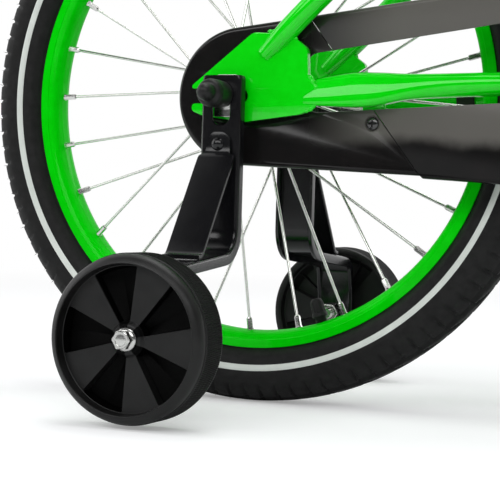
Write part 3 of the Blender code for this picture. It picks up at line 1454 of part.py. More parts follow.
def make_stabiliser_wheel(word, side, parent):
    """A moulded wheel with a recessed face, whose petals stand between deeper pockets."""
    radius, recess, edge = STABILISER_RADIUS, STABILISER_RECESS_RADIUS, STABILISER_EDGE
    face, back, hub = STABILISER_FACE, STABILISER_INNER, STABILISER_HUB_RADIUS
    bore = room(STABILISER_BOLT_RADIUS, 24, RUNNING_GAP)
    floor, hollow = face - STABILISER_FLOOR, back + STABILISER_HOLLOW
    section = [
        (radius - edge, face),
        (radius, face - edge),
        (radius, back + edge),
        (radius - edge, back),
        (recess, back),
        (recess, hollow),
        (hub, hollow),
        (0.9 * hub, WHEEL_HUB_INNER),
        (bore, WHEEL_HUB_INNER),
        (bore, WHEEL_HUB_OUTER),
        (0.9 * hub, WHEEL_HUB_OUTER),
        (hub, floor),
        (recess - edge / 5, floor),
        (recess, face),
    ]
    name, place = "stabiliser_wheel_" + word, sideways(0, side)
    wheel = turned(name, section, BLACK_PLASTIC, STABILISER_STEPS, parent, place, True)
    spread = 180 / PETALS
    for k in range(PETALS):
        middle = FIRST_PETAL_DEG + 2 * k * spread
        wide, narrow = 0.42 * spread, 0.30 * spread
        outline = arc((0, 0), recess - PETAL_MARGIN, middle - wide, middle + wide, 4)
        outline += arc((0, 0), PETAL_INNER, middle + narrow, middle - narrow, 2)
        cut(wheel, plate("pocket", outline, floor - PETAL_DEPTH, face, side, ZINC, parent))
    return smooth(wheel)


def make_stabiliser_bolt(word, side):
    """A flanged hexagon bolt through the wheel and the bracket's tab, with its nut."""
    head = WHEEL_HUB_OUTER + RUNNING_GAP
    nut_outer = BRACKET_TAB_FACE - BRACKET_WALL - BRACKET_LIP - GAP
    nut_inner = nut_outer - STABILISER_NUT_THICKNESS
    radius, flange, flats = STABILISER_BOLT_RADIUS, STABILISER_FLANGE_RADIUS, STABILISER_BOLT_FLATS
    tail = nut_inner - radius
    place = Matrix.Translation(at_rear_axle(-STABILISER_TRAIL, 0, -STABILISER_DROP))
    profile = [
        (0, head + flats / 4),
        (0.44 * flats, head + flats / 4),
        (flange, head + flats / 10),
        (flange, head),
        (radius, head),
        (radius, tail + radius / 5),
        (0.8 * radius, tail),
        (0, tail),
    ]
    bolt = turned("stabiliser_bolt_" + word, profile, ZINC, 12, None, place @ sideways(0, side))
    start, end = head + 0.15 * flats, head + 0.62 * flats
    join(bolt, hexagon("head", flats, start, end, side, 0, ZINC, None, place))
    name, bore = "stabiliser_nut_" + word, room(radius, 10)
    hexagon(name, STABILISER_NUT_FLATS, nut_inner, nut_outer, side, bore, ZINC, None, place)


def make_stabilisers():
    for word, side in SIDES:
        make_bracket(word, side)
        make_brace(word, side)
        make_stabiliser_bolt(word, side)
        place = Matrix.Translation(stabiliser_point(side, 0))
        make_stabiliser_wheel(word, side, pivot("stabiliser_wheel_" + word, place))


# Fork, front axle and headset, built in the steering axis's frame: X forwards of the
# axis, Z up along it
def fork_leg_path(side):
    crown, rake = FORK_CROWN_TOP - FORK_CROWN_HEIGHT, FORK_RAKE
    tip = FORK_TIP_INNER + FORK_TIP_THICKNESS / 2
    anchors = [
        (0, 0.16 * tip, crown - 0.04 * FORK_CROWN_HEIGHT),
        (0, 0.58 * tip, crown - 0.14 * FORK_CROWN_HEIGHT),
        (0, 0.88 * tip, 0.93 * crown),
        (0, tip, 0.80 * crown),
        (rake / 30, 1.02 * tip, 0.50 * crown),
        (rake / 3, tip, 0.26 * crown),
        (0.95 * rake, tip, 0.63 * FORK_TIP_HEIGHT),
    ]
    return [Vector((x, side * y, z)) for x, y, z in anchors]


def make_fork(parent):
    """Steerer tube, crown, curved and tapered legs, and their slotted ends."""
    base, top = FORK_CROWN_TOP - FORK_CROWN_HEIGHT, HEADSET_TOP + STEERER_PAST_HEADSET
    inside = room(QUILL_RADIUS, 14)
    edge = FORK_CROWN_RADIUS
    section = [
        (0, top),
        (STEERER_RADIUS, top),
        (STEERER_RADIUS, FORK_CROWN_TOP),
        (0.92 * edge, FORK_CROWN_TOP),
        (edge, FORK_CROWN_TOP - 0.1 * edge),
        (0.94 * edge, base),
        (0, base),
    ]
    fork = turned("fork", section, GREEN, 14, parent)
    for side in (-1, 1):
        path = fork_leg_path(side)
        taper = [FORK_LEG_RADIUS] * (len(path) - 2)
        taper += [(FORK_LEG_RADIUS + FORK_TIP_RADIUS) / 2, FORK_TIP_RADIUS]
        leg = pipe("leg", path, FORK_LEG_RADIUS, GREEN, parent, taper, 2)
        outer = FORK_TIP_INNER + FORK_TIP_THICKNESS
        outline = fork_tip_outline()
        tip = plate("tip", outline, FORK_TIP_INNER, outer, side, GREEN, parent)
        join(fork, leg, tip)
    start, end = (0, 0, FORK_CROWN_TOP + 0.3 * edge), (0, 0, top + CUTTER_REACH)
    bore = rod("bore", start, end, inside, sides=14, parent=parent)
    return smooth(cut(fork, bore))


def fork_tip_outline():
    """The fork's end seen from the side: a plate round a slot that is open below, and
    narrower above, where the leg takes it."""
    middle, slot, half = FORK_RAKE, SLOT_HALF_HEIGHT, FORK_TIP_HALF_WIDTH
    mouth, top, soft = -FORK_TIP_MOUTH, FORK_TIP_HEIGHT, 0.32 * FORK_TIP_HALF_WIDTH
    corners = [
        (middle - half, 0.9 * mouth, soft),
        (middle - slot, mouth, 0),
        (middle - slot, slot, slot),
        (middle + slot, slot, slot),
        (middle + slot, mouth, 0),
        (middle + half, 0.9 * mouth, soft),
        (middle + half, 0.48 * top, soft),
        (middle + 0.36 * half, top, soft / 2),
        (middle - 0.68 * half, top, soft / 2),
        (middle - half, 0.48 * top, soft),
    ]
    return rounded(corners, soft, 3)


def make_front_axle(parent):
    """The axle with both cones, between the fork's ends, and its nuts outside them."""
    outer = FORK_TIP_INNER + FORK_TIP_THICKNESS + GAP
    place = Matrix.Translation((FORK_RAKE, 0, 0))
    end = Vector((0, outer + NUT_THICKNESS + AXLE_PAST_NUT, 0))
    middle = Vector((FORK_RAKE, 0, 0))
    axle = rod("front_axle", middle + end, middle - end, AXLE_RADIUS, ZINC, 12, parent=parent)
    for word, side in SIDES:
        low = middle + Vector((0, side * (FRONT_HUB_HALF_LENGTH + RUNNING_GAP), 0))
        high = middle + Vector((0, side * (FORK_TIP_INNER - GAP), 0))
        join(axle, rod("cone", low, high, CONE_RADIUS, sides=8, parent=parent))
        name, bore = "front_axle_nut_" + word, room(AXLE_RADIUS, 10)
        hexagon(name, NUT_FLATS, outer, outer + NUT_THICKNESS, side, bore, ZINC, parent, place)
    return smooth(axle)


def make_headset():
    """The two bearing cups on the head tube's ends."""
    bore = room(STEERER_RADIUS, 14)
    skirt = HEAD_TUBE_RADIUS + GAP
    for word, low, high in (
        ("lower", FORK_CROWN_TOP + GAP, HEAD_BOTTOM - GAP),
        ("upper", HEADSET_TOP, HEAD_TOP + GAP),
    ):
        step = 0.35 * (high - low)
        section = [
            (bore, low),
            (skirt, low),
            (HEADSET_RADIUS, low + step),
            (HEADSET_RADIUS, high - step),
            (skirt, high),
            (bore, high),
        ]
        turned(f"headset_{word}_cup", section, ZINC, 14, None, STEER_FRAME, True)


# Handlebar, stem and grips, on the quill that slides in the steerer
def make_stem(parent):
    """Quill, forward extension and the clamp round the bar."""
    top, reach, half = BAR_HEIGHT, STEM_REACH, STEM_CLAMP_WIDTH / 2
    low = HEADSET_TOP + STEERER_PAST_HEADSET - QUILL_DEPTH
    head = top + STEM_HEAD_ABOVE
    quill_end = (0, 0, head - 2 * GAP)
    stem = rod("stem", (0, 0, low), quill_end, QUILL_RADIUS, ZINC, 14, parent=parent)
    inner = room(BAR_RADIUS, 12)
    for name, start, end, radius in (
        ("collar", (0, 0, top - STEM_HEAD_BELOW), (0, 0, head), STEM_HEAD_RADIUS),
        ("arm", (-reach / 10, 0, top - reach / 10), (reach, 0, top), STEM_ARM_RADIUS),
        ("clamp", (reach, -half, top), (reach, half, top), inner + STEM_WALL),
    ):
        join(stem, rod(name, start, end, radius, sides=12, parent=parent))
    past = half + CUTTER_REACH
    bore = rod("bore", (reach, -past, top), (reach, past, top), inner, sides=12, parent=parent)
    return smooth(cut(stem, bore))


def bar_path():
    """The bar's middle line on the left: across, up, out and back."""
    half, rise, sweep = BAR_HALF_WIDTH, BAR_RISE, BAR_SWEEP
    level = half - 1.1 * GRIP_LENGTH
    side = [
        (STEM_REACH, 0.0, BAR_HEIGHT),
        (STEM_REACH, 0.90 * STEM_CLAMP_WIDTH, BAR_HEIGHT),
        (STEM_REACH, 1.55 * STEM_CLAMP_WIDTH, BAR_HEIGHT + 0.10 * rise),
        (STEM_REACH - 0.1 * sweep, 0.84 * level, BAR_HEIGHT + 0.86 * rise),
        (STEM_REACH - 0.3 * sweep, level, BAR_HEIGHT + 0.97 * rise),
        (STEM_REACH - sweep, half, BAR_HEIGHT + rise),
    ]
    return [Vector(p) for p in side]


def make_handlebar(parent):
    level, *rising, end = bar_path()
    left = [level, *smooth_path(rising, 2), end]
    right = [Vector((p.x, -p.y, p.z)) for p in left[:0:-1]]
    return pipe("handlebar", right + left, BAR_RADIUS, BLACK_STEEL, parent, resolution=2)


def make_grip(word, side, parent):
    """A closed sleeve with a flange at its inner end."""
    inner, end = bar_path()[-2:]
    inner, end = (Vector((p.x, side * p.y, p.z)) for p in (inner, end))
    bore = room(BAR_RADIUS, 10)
    wall = BAR_RADIUS + GRIP_WALL
    profile = [
        (0, GRIP_END + GAP),
        (0.75 * wall, GRIP_END + GAP),
        (wall, GAP),
        (0.94 * wall, -0.45 * GRIP_LENGTH),
        (wall, 2.5 * GRIP_FLANGE - GRIP_LENGTH),
        (1.35 * wall, GRIP_FLANGE - GRIP_LENGTH),
        (1.35 * wall, -GRIP_LENGTH),
        (bore, -GRIP_LENGTH),
        (bore, GAP),
        (0, GAP),
    ]
    heading = (end - inner).normalized()
    return turned("grip_" + word, profile, MATT_PLASTIC, 10, parent, along(end, end + heading))


def make_front_end():
    steering = pivot("steering", STEER_FRAME)
    make_fork(steering)
    make_front_axle(steering)
    bar = pivot("handlebar", Matrix(), steering)
    make_stem(bar)
    make_handlebar(bar)
    for word, side in SIDES:
        make_grip(word, side, bar)
    upright = STEER_FRAME.inverted() @ Matrix.Translation(FRONT_AXLE)
    wheel = pivot("front_wheel", upright, steering)
    first = FIRST_SPOKE_DEG + 180
    make_wheel("front", wheel, first, FRONT_HUB_HALF_LENGTH, FRONT_HUB_RADIUS)


# Seat: post, clamp, rails and saddle, from the seat tube's upper end
def make_seat_post(parent):
    low, high = -SEAT_POST_INSERTION * SEAT_UP, SEAT_POST_RISE * SEAT_UP
    return rod("seat_post", low, high, SEAT_POST_RADIUS, ZINC, 16, parent=parent)


def seat_head():
    """The middle of the cross bolt above the seat post's end."""
    return (SEAT_POST_RISE - SEAT_CLAMP_SINK) * SEAT_UP + Vector((0, 0, SEAT_CLAMP_LIFT))


def make_saddle_clamp(parent):
    """A sleeve on the post and a cross barrel that grips both rails."""
    bore = room(SEAT_POST_RADIUS, 16)
    top = SEAT_POST_RISE * SEAT_UP
    low, high = top - 2.5 * SEAT_CLAMP_SINK * SEAT_UP, top - SEAT_CLAMP_SINK / 6 * SEAT_UP
    wall = bore + SEAT_CLAMP_WALL
    sleeve = rod("saddle_clamp", low, high, wall, BLACK_STEEL, 14, parent=parent)
    head = seat_head()
    half = Vector((0, RAIL_HALF_SPACING + SEAT_CLAMP_OVERHANG, 0))
    barrel = rod("barrel", head - half, head + half, SEAT_CLAMP_RADIUS, sides=10, parent=parent)
    join(sleeve, barrel)
    start, end = low - CUTTER_REACH * SEAT_UP, top + GAP * SEAT_UP
    cut(sleeve, rod("bore", start, end, bore, sides=16, parent=parent))
    reach, wide = Vector((3 * SEAT_CLAMP_RADIUS, 0, 0)), room(RAIL_RADIUS, 8)
    for side in (-1, 1):
        middle = head + Vector((0, side * RAIL_HALF_SPACING, 0))
        groove = rod("groove", middle - reach, middle + reach, wide, sides=8, parent=parent)
        cut(sleeve, groove)
    return smooth(sleeve)


def make_saddle_rails(parent):
    """One bent wire: both rails, joined under the saddle's nose."""
    head = seat_head()
    spread, lift, flat = RAIL_HALF_SPACING, RAIL_LIFT, RAIL_FLAT
    side = [
        (head.x - RAIL_REAR, 1.25 * spread, head.z + lift),
        (head.x - 0.81 * RAIL_REAR, 1.12 * spread, head.z + 0.60 * lift),
        (head.x - flat, spread, head.z),
        (head.x + flat, spread, head.z),
        (head.x + 0.73 * RAIL_FRONT, 0.80 * spread, head.z + 0.33 * lift),
        (head.x + 0.94 * RAIL_FRONT, 0.50 * spread, head.z + 0.67 * lift),
    ]
    nose = (head.x + RAIL_FRONT, 0, head.z + 0.77 * lift)
    left = [Vector(p) for p in side]
    path = left + [Vector(nose)] + [Vector((p.x, -p.y, p.z)) for p in left[::-1]]
    return pipe("saddle_rails", path, RAIL_RADIUS, ZINC, parent, resolution=1)


def rounding(share):
    """Share of the full width at a place in a rounded end, from its tip to its root."""
    return math.sqrt(max(0.03, 1 - (1 - min(1.0, share)) ** 2))


def make_saddle(parent):
    """A padded saddle, wide behind and narrow at the nose, crowned across and dished
    along, on a flat base."""
    head = seat_head()
    base = head.z + RAIL_LIFT + RAIL_RADIUS + GAP
    sections = []
    for t in (0.0, 0.03, 0.10, 0.24, 0.40, 0.56, 0.72, 0.86, 0.95, 1.0):
        x = head.x - 0.42 * SADDLE_LENGTH + t * SADDLE_LENGTH
        taper = 0.5 + 0.5 * math.cos(math.pi * min(1.0, max(0.0, (t - 0.12) / 0.62)))
        ends = rounding(t / 0.14) * rounding((1 - t) / 0.12)
        half = SADDLE_HALF_WIDTH * (0.26 + 0.74 * taper) * ends
        dish = 0.78 + 0.22 * math.cos(2 * math.pi * t) if t < 0.5 else 0.56 + 0.28 * (t - 0.5)
        rise = SADDLE_DEPTH * dish * (0.45 + 0.55 * ends)
        section = []
        for k in range(14):
            angle = 2 * math.pi * (k + 0.5) / 14 - math.pi / 2
            height = max(0.0, (math.sin(angle) + 0.35) / 1.35)
            section.append((x, half * math.cos(angle), base + rise * height))
        sections.append(section)
    return smooth(loft("saddle", sections, VINYL, parent), 60)


def make_seat_collar():
    """A split collar at the top of the seat tube, with its bolt behind."""
    bore = room(SEAT_TUBE_RADIUS, 16)
    wall = bore + COLLAR_WALL
    top = SEAT_TUBE_LENGTH - GAP
    low = top - COLLAR_HEIGHT
    section = [(bore, top), (wall, top), (wall, low), (bore, low)]
    place = along(BOTTOM_BRACKET, BOTTOM_BRACKET + SEAT_UP)
    collar = turned("seat_collar", section, BLACK_STEEL, 16, None, place, True)
    back = Vector((-math.sin(SEAT_ANGLE), 0, -math.cos(SEAT_ANGLE)))
    middle = on_seat_tube((top + low) / 2)
    lug_start, lug_end = bore + COLLAR_WALL / 3, wall + COLLAR_LUG
    lug_ends = (middle + back * lug_start, middle + back * lug_end)
    join(collar, rod("lugs", *lug_ends, COLLAR_LUG_RADIUS, sides=8))
    half = Vector((COLLAR_HEIGHT, COLLAR_SLIT / 2, COLLAR_HEIGHT))
    slit_at = middle + back * (wall + COLLAR_HEIGHT)
    cut(collar, box("slit", slit_at - half, slit_at + half))
    bolt_at = middle + back * (wall + COLLAR_LUG / 2)
    reach = Vector((0, COLLAR_LUG, 0))
    bolt = rod("bolt", bolt_at - reach, bolt_at + reach, COLLAR_BOLT_RADIUS, sides=8)
    return smooth(join(collar, bolt))


def make_seat():
    seat = pivot("seat", Matrix.Translation(on_seat_tube(SEAT_TUBE_LENGTH)))
    make_seat_post(seat)
    make_saddle_clamp(seat)
    make_saddle_rails(seat)
    make_saddle(seat)


rear_wheel = pivot("rear_wheel", Matrix.Translation(REAR_AXLE))
make_wheel("rear", rear_wheel, FIRST_SPOKE_DEG, REAR_HUB_HALF_LENGTH, REAR_HUB_RADIUS)
make_frame()
make_rear_axle()
make_brake_arm()
make_brake_clip()
make_rear_sprocket(pivot("rear_sprocket", Matrix.Translation(REAR_AXLE)))
make_chain()
make_bottom_bracket_cups()
make_crankset()
make_chain_guard()
make_guard_screw()
make_guard_bracket()
make_stabilisers()
make_headset()
make_front_end()
make_seat_collar()
make_seat()
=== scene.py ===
# %% [markdown]
# A child's bicycle with stabilisers, dressed for its photograph.
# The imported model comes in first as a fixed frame: its nodes never move, and every piece
# made here takes its place from them. Lengths are in metres, +Z is up, +X is forwards and
# +Y is the rider's left, so the chain side of the machine faces -Y.

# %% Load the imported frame
import json

import bmesh
import bpy
import numpy as np
from mathutils import Matrix, Vector
from mathutils.bvhtree import BVHTree
from mathutils.geometry import tessellate_polygon
from numpy import arange, array, clip, concatenate, cos, interp, linspace, maximum
from numpy import minimum, pi, radians, sin, sqrt, where
from numpy.linalg import norm


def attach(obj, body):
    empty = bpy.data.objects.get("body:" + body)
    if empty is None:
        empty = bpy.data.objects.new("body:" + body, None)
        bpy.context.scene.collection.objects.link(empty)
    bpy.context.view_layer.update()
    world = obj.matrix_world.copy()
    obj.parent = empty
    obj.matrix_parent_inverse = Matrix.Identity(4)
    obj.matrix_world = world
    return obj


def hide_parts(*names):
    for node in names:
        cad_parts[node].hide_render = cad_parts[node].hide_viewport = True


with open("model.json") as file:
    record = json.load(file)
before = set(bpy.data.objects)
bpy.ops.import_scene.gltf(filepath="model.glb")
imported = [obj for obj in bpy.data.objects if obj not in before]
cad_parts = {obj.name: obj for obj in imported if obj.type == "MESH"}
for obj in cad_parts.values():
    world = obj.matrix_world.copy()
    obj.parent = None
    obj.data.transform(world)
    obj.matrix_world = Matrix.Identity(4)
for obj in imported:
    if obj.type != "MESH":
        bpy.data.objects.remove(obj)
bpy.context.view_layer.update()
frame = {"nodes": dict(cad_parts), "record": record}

# %% [markdown]
# The two wheel axles, the crank axis and the two leaning axes, of the seat tube and of the
# steering, carry everything else. They are named once, and each piece is placed from them.

# %% Places that the pieces share
TAU = 2 * pi
REAR = array([-0.3725, 0.0, 0.1936])
FRONT = array([0.3725, 0.0, 0.1936])
CRANK = array([-0.10113, 0.0, 0.2036])
LEAN = radians(70)
UP_TUBE = array([-cos(LEAN), 0.0, sin(LEAN)])
FORWARD = array([sin(LEAN), 0.0, cos(LEAN)])
STEER = FRONT - 0.03 * FORWARD
SIDES = (("right", -1), ("left", 1))
ACROSS = array([0, 1, 0])


def on_steerer(height):
    """The steering axis's foot plus a height along the axis."""
    return STEER + height * UP_TUBE


def on_seat_tube(length):
    """The crank axis plus a length along the seat tube."""
    return CRANK + length * UP_TUBE


print("wheelbase", FRONT[0] - REAR[0])

# %% [markdown]
# The photograph looks at the rear wheel from the chain side, a little from the front and
# nearly level with the ground. A long lens flattens it. The camera is placed by its bearing,
# height, tilt and distance from a point below the axle, and never moves again.

# %% Camera
AIM = REAR + [-0.00614, 0.0, -0.09606]
BEARING, HEIGHT, ROLL = radians([23.2, 1.36, 1.67])
DISTANCE, LENS = 1.0598, 117.0


def place_camera():
    """Backwards is the unit vector at the bearing and height; right is its level normal;
    both right and up are turned by the roll."""
    level_share = cos(HEIGHT)
    back = array([sin(BEARING) * level_share, -cos(BEARING) * level_share, sin(HEIGHT)])
    right = np.cross(-back, [0, 0, 1])
    right /= norm(right)
    up = np.cross(right, -back)
    level = cos(ROLL) * right + sin(ROLL) * up
    tall = -sin(ROLL) * right + cos(ROLL) * up
    camera = bpy.data.objects.new("camera", bpy.data.cameras.new("camera"))
    camera.data.lens, camera.data.sensor_width = LENS, 36.0
    camera.data.clip_start, camera.data.clip_end = 0.02, 60.0
    matrix = Matrix.Identity(4)
    for column, vector in enumerate((level, tall, back, AIM + DISTANCE * back)):
        for row in range(3):
            matrix[row][column] = vector[row]
    camera.matrix_world = matrix
    bpy.context.scene.collection.objects.link(camera)
    bpy.context.scene.camera = camera
    return camera


print("camera at", [round(v, 3) for v in place_camera().matrix_world.translation])

# %% [markdown]
# The product stands in a white studio. Soft boxes give the black parts their pale lines and
# the paint its long bands, and a white surround is what the camera sees. The floor is pale
# and only shows the shadow: where nothing shades it, it is as white as the surround.

# %% Studio light, floor and surround
scene = bpy.context.scene
scene.view_settings.view_transform = "Standard"


def soft_box(name, place, aim, size, power):
    """A rectangular lamp at a place, turned towards an aim."""
    lamp = bpy.data.lights.new(name, "AREA")
    lamp.shape, lamp.size, lamp.size_y, lamp.energy = "RECTANGLE", size[0], size[1], power
    holder = bpy.data.objects.new(name, lamp)
    holder.location = place
    holder.rotation_euler = (Vector(aim) - Vector(place)).to_track_quat("-Z", "Y").to_euler()
    scene.collection.objects.link(holder)


WHEEL_AIM = (-0.25, 0.0, 0.25)
soft_box("front_box", (-0.35, -2.1, 1.45), WHEEL_AIM, (3.7, 0.95), 32)
soft_box("top_box", (-0.1, 0.1, 2.4), WHEEL_AIM, (2.2, 1.2), 24)
soft_box("left_box", (-2.3, -0.5, 0.9), WHEEL_AIM, (0.9, 1.5), 8)
soft_box("rear_box", (1.2, 2.2, 1.4), (0, 0, 0.3), (1.4, 1.2), 12)


def feed(tree, target, inputs):
    """Sets a node's sockets to values, or links other sockets to them."""
    for key, value in inputs.items():
        if isinstance(value, bpy.types.NodeSocket):
            tree.links.new(value, target.inputs[key])
        else:
            target.inputs[key].default_value = value
    return target


def node(tree, kind, inputs=None, **settings):
    """Adds a shader node with its settings and inputs."""
    made = tree.nodes.new(kind)
    for key, value in settings.items():
        setattr(made, key, value)
    return feed(tree, made, inputs or {})


def coordinates(tree, kind="Object"):
    return node(tree, "ShaderNodeTexCoord").outputs[kind]


def noise(tree, place, scale, detail, **more):
    """Smooth random values at a place, at a scale."""
    given = {"Vector": place, "Scale": scale, "Detail": detail, **more}
    return node(tree, "ShaderNodeTexNoise", given).outputs["Fac"]


def ramp(tree, value, start, end, low=0.0, high=1.0, **settings):
    """Low where the value is at the start, high where it is at the end."""
    given = {0: value, 1: start, 2: end, 3: low, 4: high}
    return node(tree, "ShaderNodeMapRange", given, **settings).outputs[0]


def reckoned(tree, operation, *values):
    """A product, a larger value or the like of sockets and numbers."""
    return node(tree, "ShaderNodeMath", dict(enumerate(values)), operation=operation).outputs[0]


def light_the_surround():
    """Camera, glossy and transmission rays see white above the horizon behind the machine
    and a dim room in front of it; the light that falls on the machine is a plain grey."""
    world = bpy.data.worlds.new("surround")
    world.use_nodes = True
    tree = world.node_tree
    tree.nodes.clear()
    path = node(tree, "ShaderNodeLightPath").outputs
    parts = node(tree, "ShaderNodeSeparateXYZ", {0: coordinates(tree, "Generated")})
    behind = ramp(tree, parts.outputs["Y"], -0.35, 0.3, 0.035, 1.0)
    seen = reckoned(tree, "MAXIMUM", path["Is Glossy Ray"], path["Is Transmission Ray"])
    plain = node(tree, "ShaderNodeMix", {0: seen, 2: 0.44, 3: behind})
    level = node(tree, "ShaderNodeMix", {0: path["Is Camera Ray"], 2: plain.outputs[0], 3: 1.0})
    shader = node(tree, "ShaderNodeBackground", {"Color": (1, 1, 1, 1), "Strength": level.outputs[0]})
    node(tree, "ShaderNodeOutputWorld", {0: shader.outputs[0]})
    scene.world = world


light_the_surround()


def lay_floor():
    """A wide plane whose diffuse light is topped up, for the camera only, by a glow that
    brings the unshaded floor to white; far from the machine it is plain white."""
    mesh = bpy.data.meshes.new("floor")
    reach = 14
    corners = [(-reach, -reach, 0), (reach, -reach, 0), (reach, reach, 0), (-reach, reach, 0)]
    mesh.from_pydata(corners, [], [(0, 1, 2, 3)])
    floor = bpy.data.objects.new("floor", mesh)
    scene.collection.objects.link(floor)
    made = bpy.data.materials.new("pale_floor")
    made.use_nodes = True
    tree = made.node_tree
    tree.nodes.clear()
    by_camera = node(tree, "ShaderNodeLightPath").outputs["Is Camera Ray"]
    matt = node(tree, "ShaderNodeBsdfDiffuse", {"Color": (0.8, 0.81, 0.82, 1)})
    lift = reckoned(tree, "MULTIPLY", by_camera, 0.27)
    glow = node(tree, "ShaderNodeEmission", {"Color": (1, 1, 1, 1), "Strength": lift})
    total = node(tree, "ShaderNodeAddShader", {0: matt.outputs[0], 1: glow.outputs[0]})
    away = node(tree, "ShaderNodeVectorMath", {0: coordinates(tree)}, operation="LENGTH")
    far = ramp(tree, away.outputs["Value"], 0.9, 2.4, interpolation_type="SMOOTHSTEP")
    seen = reckoned(tree, "MULTIPLY", by_camera, far)
    white = node(tree, "ShaderNodeEmission", {"Color": (1, 1, 1, 1), "Strength": 1.0})
    shown = node(tree, "ShaderNodeMixShader", {0: seen, 1: total.outputs[0], 2: white.outputs[0]})
    node(tree, "ShaderNodeOutputMaterial", {0: shown.outputs[0]})
    mesh.materials.append(made)


lay_floor()

# %% [markdown]
# Painted, moulded and plated surfaces are never quite even. Three node groups hold what the
# finishes share: a fine grain for moulded skins, the slow mottling of a sprayed or handled
# surface, and the hair lines that polishing leaves in metal. Each puts out values only, and
# the shader itself stays in the material.

# %% Node groups for grain, mottling and hair lines
def new_group(name, inputs, outputs):
    """An empty shader group with float inputs and the named outputs."""
    group = bpy.data.node_groups.new(name, "ShaderNodeTree")
    for word, value in inputs.items():
        socket = group.interface.new_socket(word, in_out="INPUT", socket_type="NodeSocketFloat")
        socket.default_value = value
    for word in outputs:
        group.interface.new_socket(word, in_out="OUTPUT", socket_type="NodeSocketFloat")
    return group, group.nodes.new("NodeGroupInput"), group.nodes.new("NodeGroupOutput")


def texture_group(name, scale, low, high, detail, squeeze=None):
    """Noise at the grain's scale, spread between a low and a high value. Squeezed along two
    axes, it is drawn out to long thin lines along the third."""
    group, given, out = new_group(name, {"Scale": scale, "Low": low, "High": high}, ("Height", "Spread"))
    place = coordinates(group)
    if squeeze:
        place = node(group, "ShaderNodeMapping", {"Vector": place, "Scale": squeeze}).outputs[0]
    height = noise(group, place, given.outputs["Scale"], detail)
    spread = ramp(group, height, 0.3, 0.7, given.outputs["Low"], given.outputs["High"])
    feed(group, out, {"Height": height, "Spread": spread})
    return group


def mottle_group():
    """Two sizes of noise multiplied, so that patches come and go along the surface."""
    group, given, out = new_group("slow_mottle", {"Scale": 14.0, "Low": 0.0, "High": 1.0}, ("Mask",))
    place, scale = coordinates(group), given.outputs["Scale"]
    wide = noise(group, place, scale, 4.0, Roughness=0.62)
    small = noise(group, place, reckoned(group, "MULTIPLY", scale, 5.3), 2.0)
    both = reckoned(group, "MULTIPLY", wide, small)
    feed(group, out, {"Mask": ramp(group, both, 0.14, 0.38, given.outputs["Low"], given.outputs["High"])})
    return group


GRAIN = texture_group("moulded_grain", 900.0, 0.4, 0.6, 3.0)
MOTTLE = mottle_group()
HAIR_LINES = texture_group("hair_lines", 40.0, 0.2, 0.4, 4.0, squeeze=(1.0, 30.0, 30.0))
print("node groups", [g.name for g in bpy.data.node_groups])

# %% [markdown]
# A finish is a Principled shader fed by those groups. Colour runs between two close tones
# along the mottling, roughness follows grain or hair lines, and a Bump node turns the grain
# into a faint relief. What is the same all over, such as the coat, is set on the shader.

# %% Finishes
def colour(tone):
    """A grey is given by one number and any other colour by three."""
    return (*(tone if np.ndim(tone) else (tone,) * 3), 1)


def finish(
    name, dark, light, rough, grain=900.0, relief=0.02, depth=0.0002,
    metallic=0.0, coat=0.0, mottle=14.0, lines=False, shine=0.5,
):
    """Colour is mixed from dark to light by the mottle mask; roughness spreads from low to
    high by the grain; the grain's height is the bump."""
    made = bpy.data.materials.new(name)
    made.use_nodes = True
    tree = made.node_tree
    given = {"Scale": grain, "Low": rough[0], "High": rough[1]}
    texture = node(tree, "ShaderNodeGroup", given, node_tree=HAIR_LINES if lines else GRAIN).outputs
    patches = node(tree, "ShaderNodeGroup", {"Scale": mottle}, node_tree=MOTTLE)
    tones = {0: patches.outputs["Mask"], 6: colour(dark), 7: colour(light)}
    tone = node(tree, "ShaderNodeMix", tones, data_type="RGBA")
    bump = {"Height": texture["Height"], "Strength": relief, "Distance": depth}
    feed(tree, tree.nodes["Principled BSDF"], {
        "Base Color": tone.outputs[2], "Roughness": texture["Spread"],
        "Normal": node(tree, "ShaderNodeBump", bump).outputs[0], "Metallic": metallic,
        "Coat Weight": coat, "Coat Roughness": 0.04, "Specular IOR Level": shine,
    })
    return made


def with_painted_reflection(look, low, high, tone):
    """A painted reflection on the upper half of a black moulding: between two heights, pushed
    up and down by slow noise, the colour goes over to the pale tone of the painted reflection."""
    tree = look.node_tree
    shader = tree.nodes["Principled BSDF"]
    clean = shader.inputs["Base Color"].links[0].from_socket
    place = coordinates(tree)
    part = node(tree, "ShaderNodeSeparateXYZ", {0: place}).outputs
    raised = reckoned(tree, "MULTIPLY_ADD", noise(tree, place, 26.0, 5.0), 0.016, part["Z"])
    up = ramp(tree, raised, low, high, interpolation_type="SMOOTHSTEP")
    ahead = ramp(tree, part["X"], -0.33, -0.262, interpolation_type="SMOOTHSTEP")
    mask = reckoned(tree, "MULTIPLY", up, ahead)
    mixed = node(tree, "ShaderNodeMix", {0: mask, 6: clean, 7: colour(tone)}, data_type="RGBA")
    sheen = ramp(tree, ahead, 0.0, 1.0, 0.42, 0.16)
    feed(tree, shader, {"Base Color": mixed.outputs[2], "Specular IOR Level": sheen})
    return look


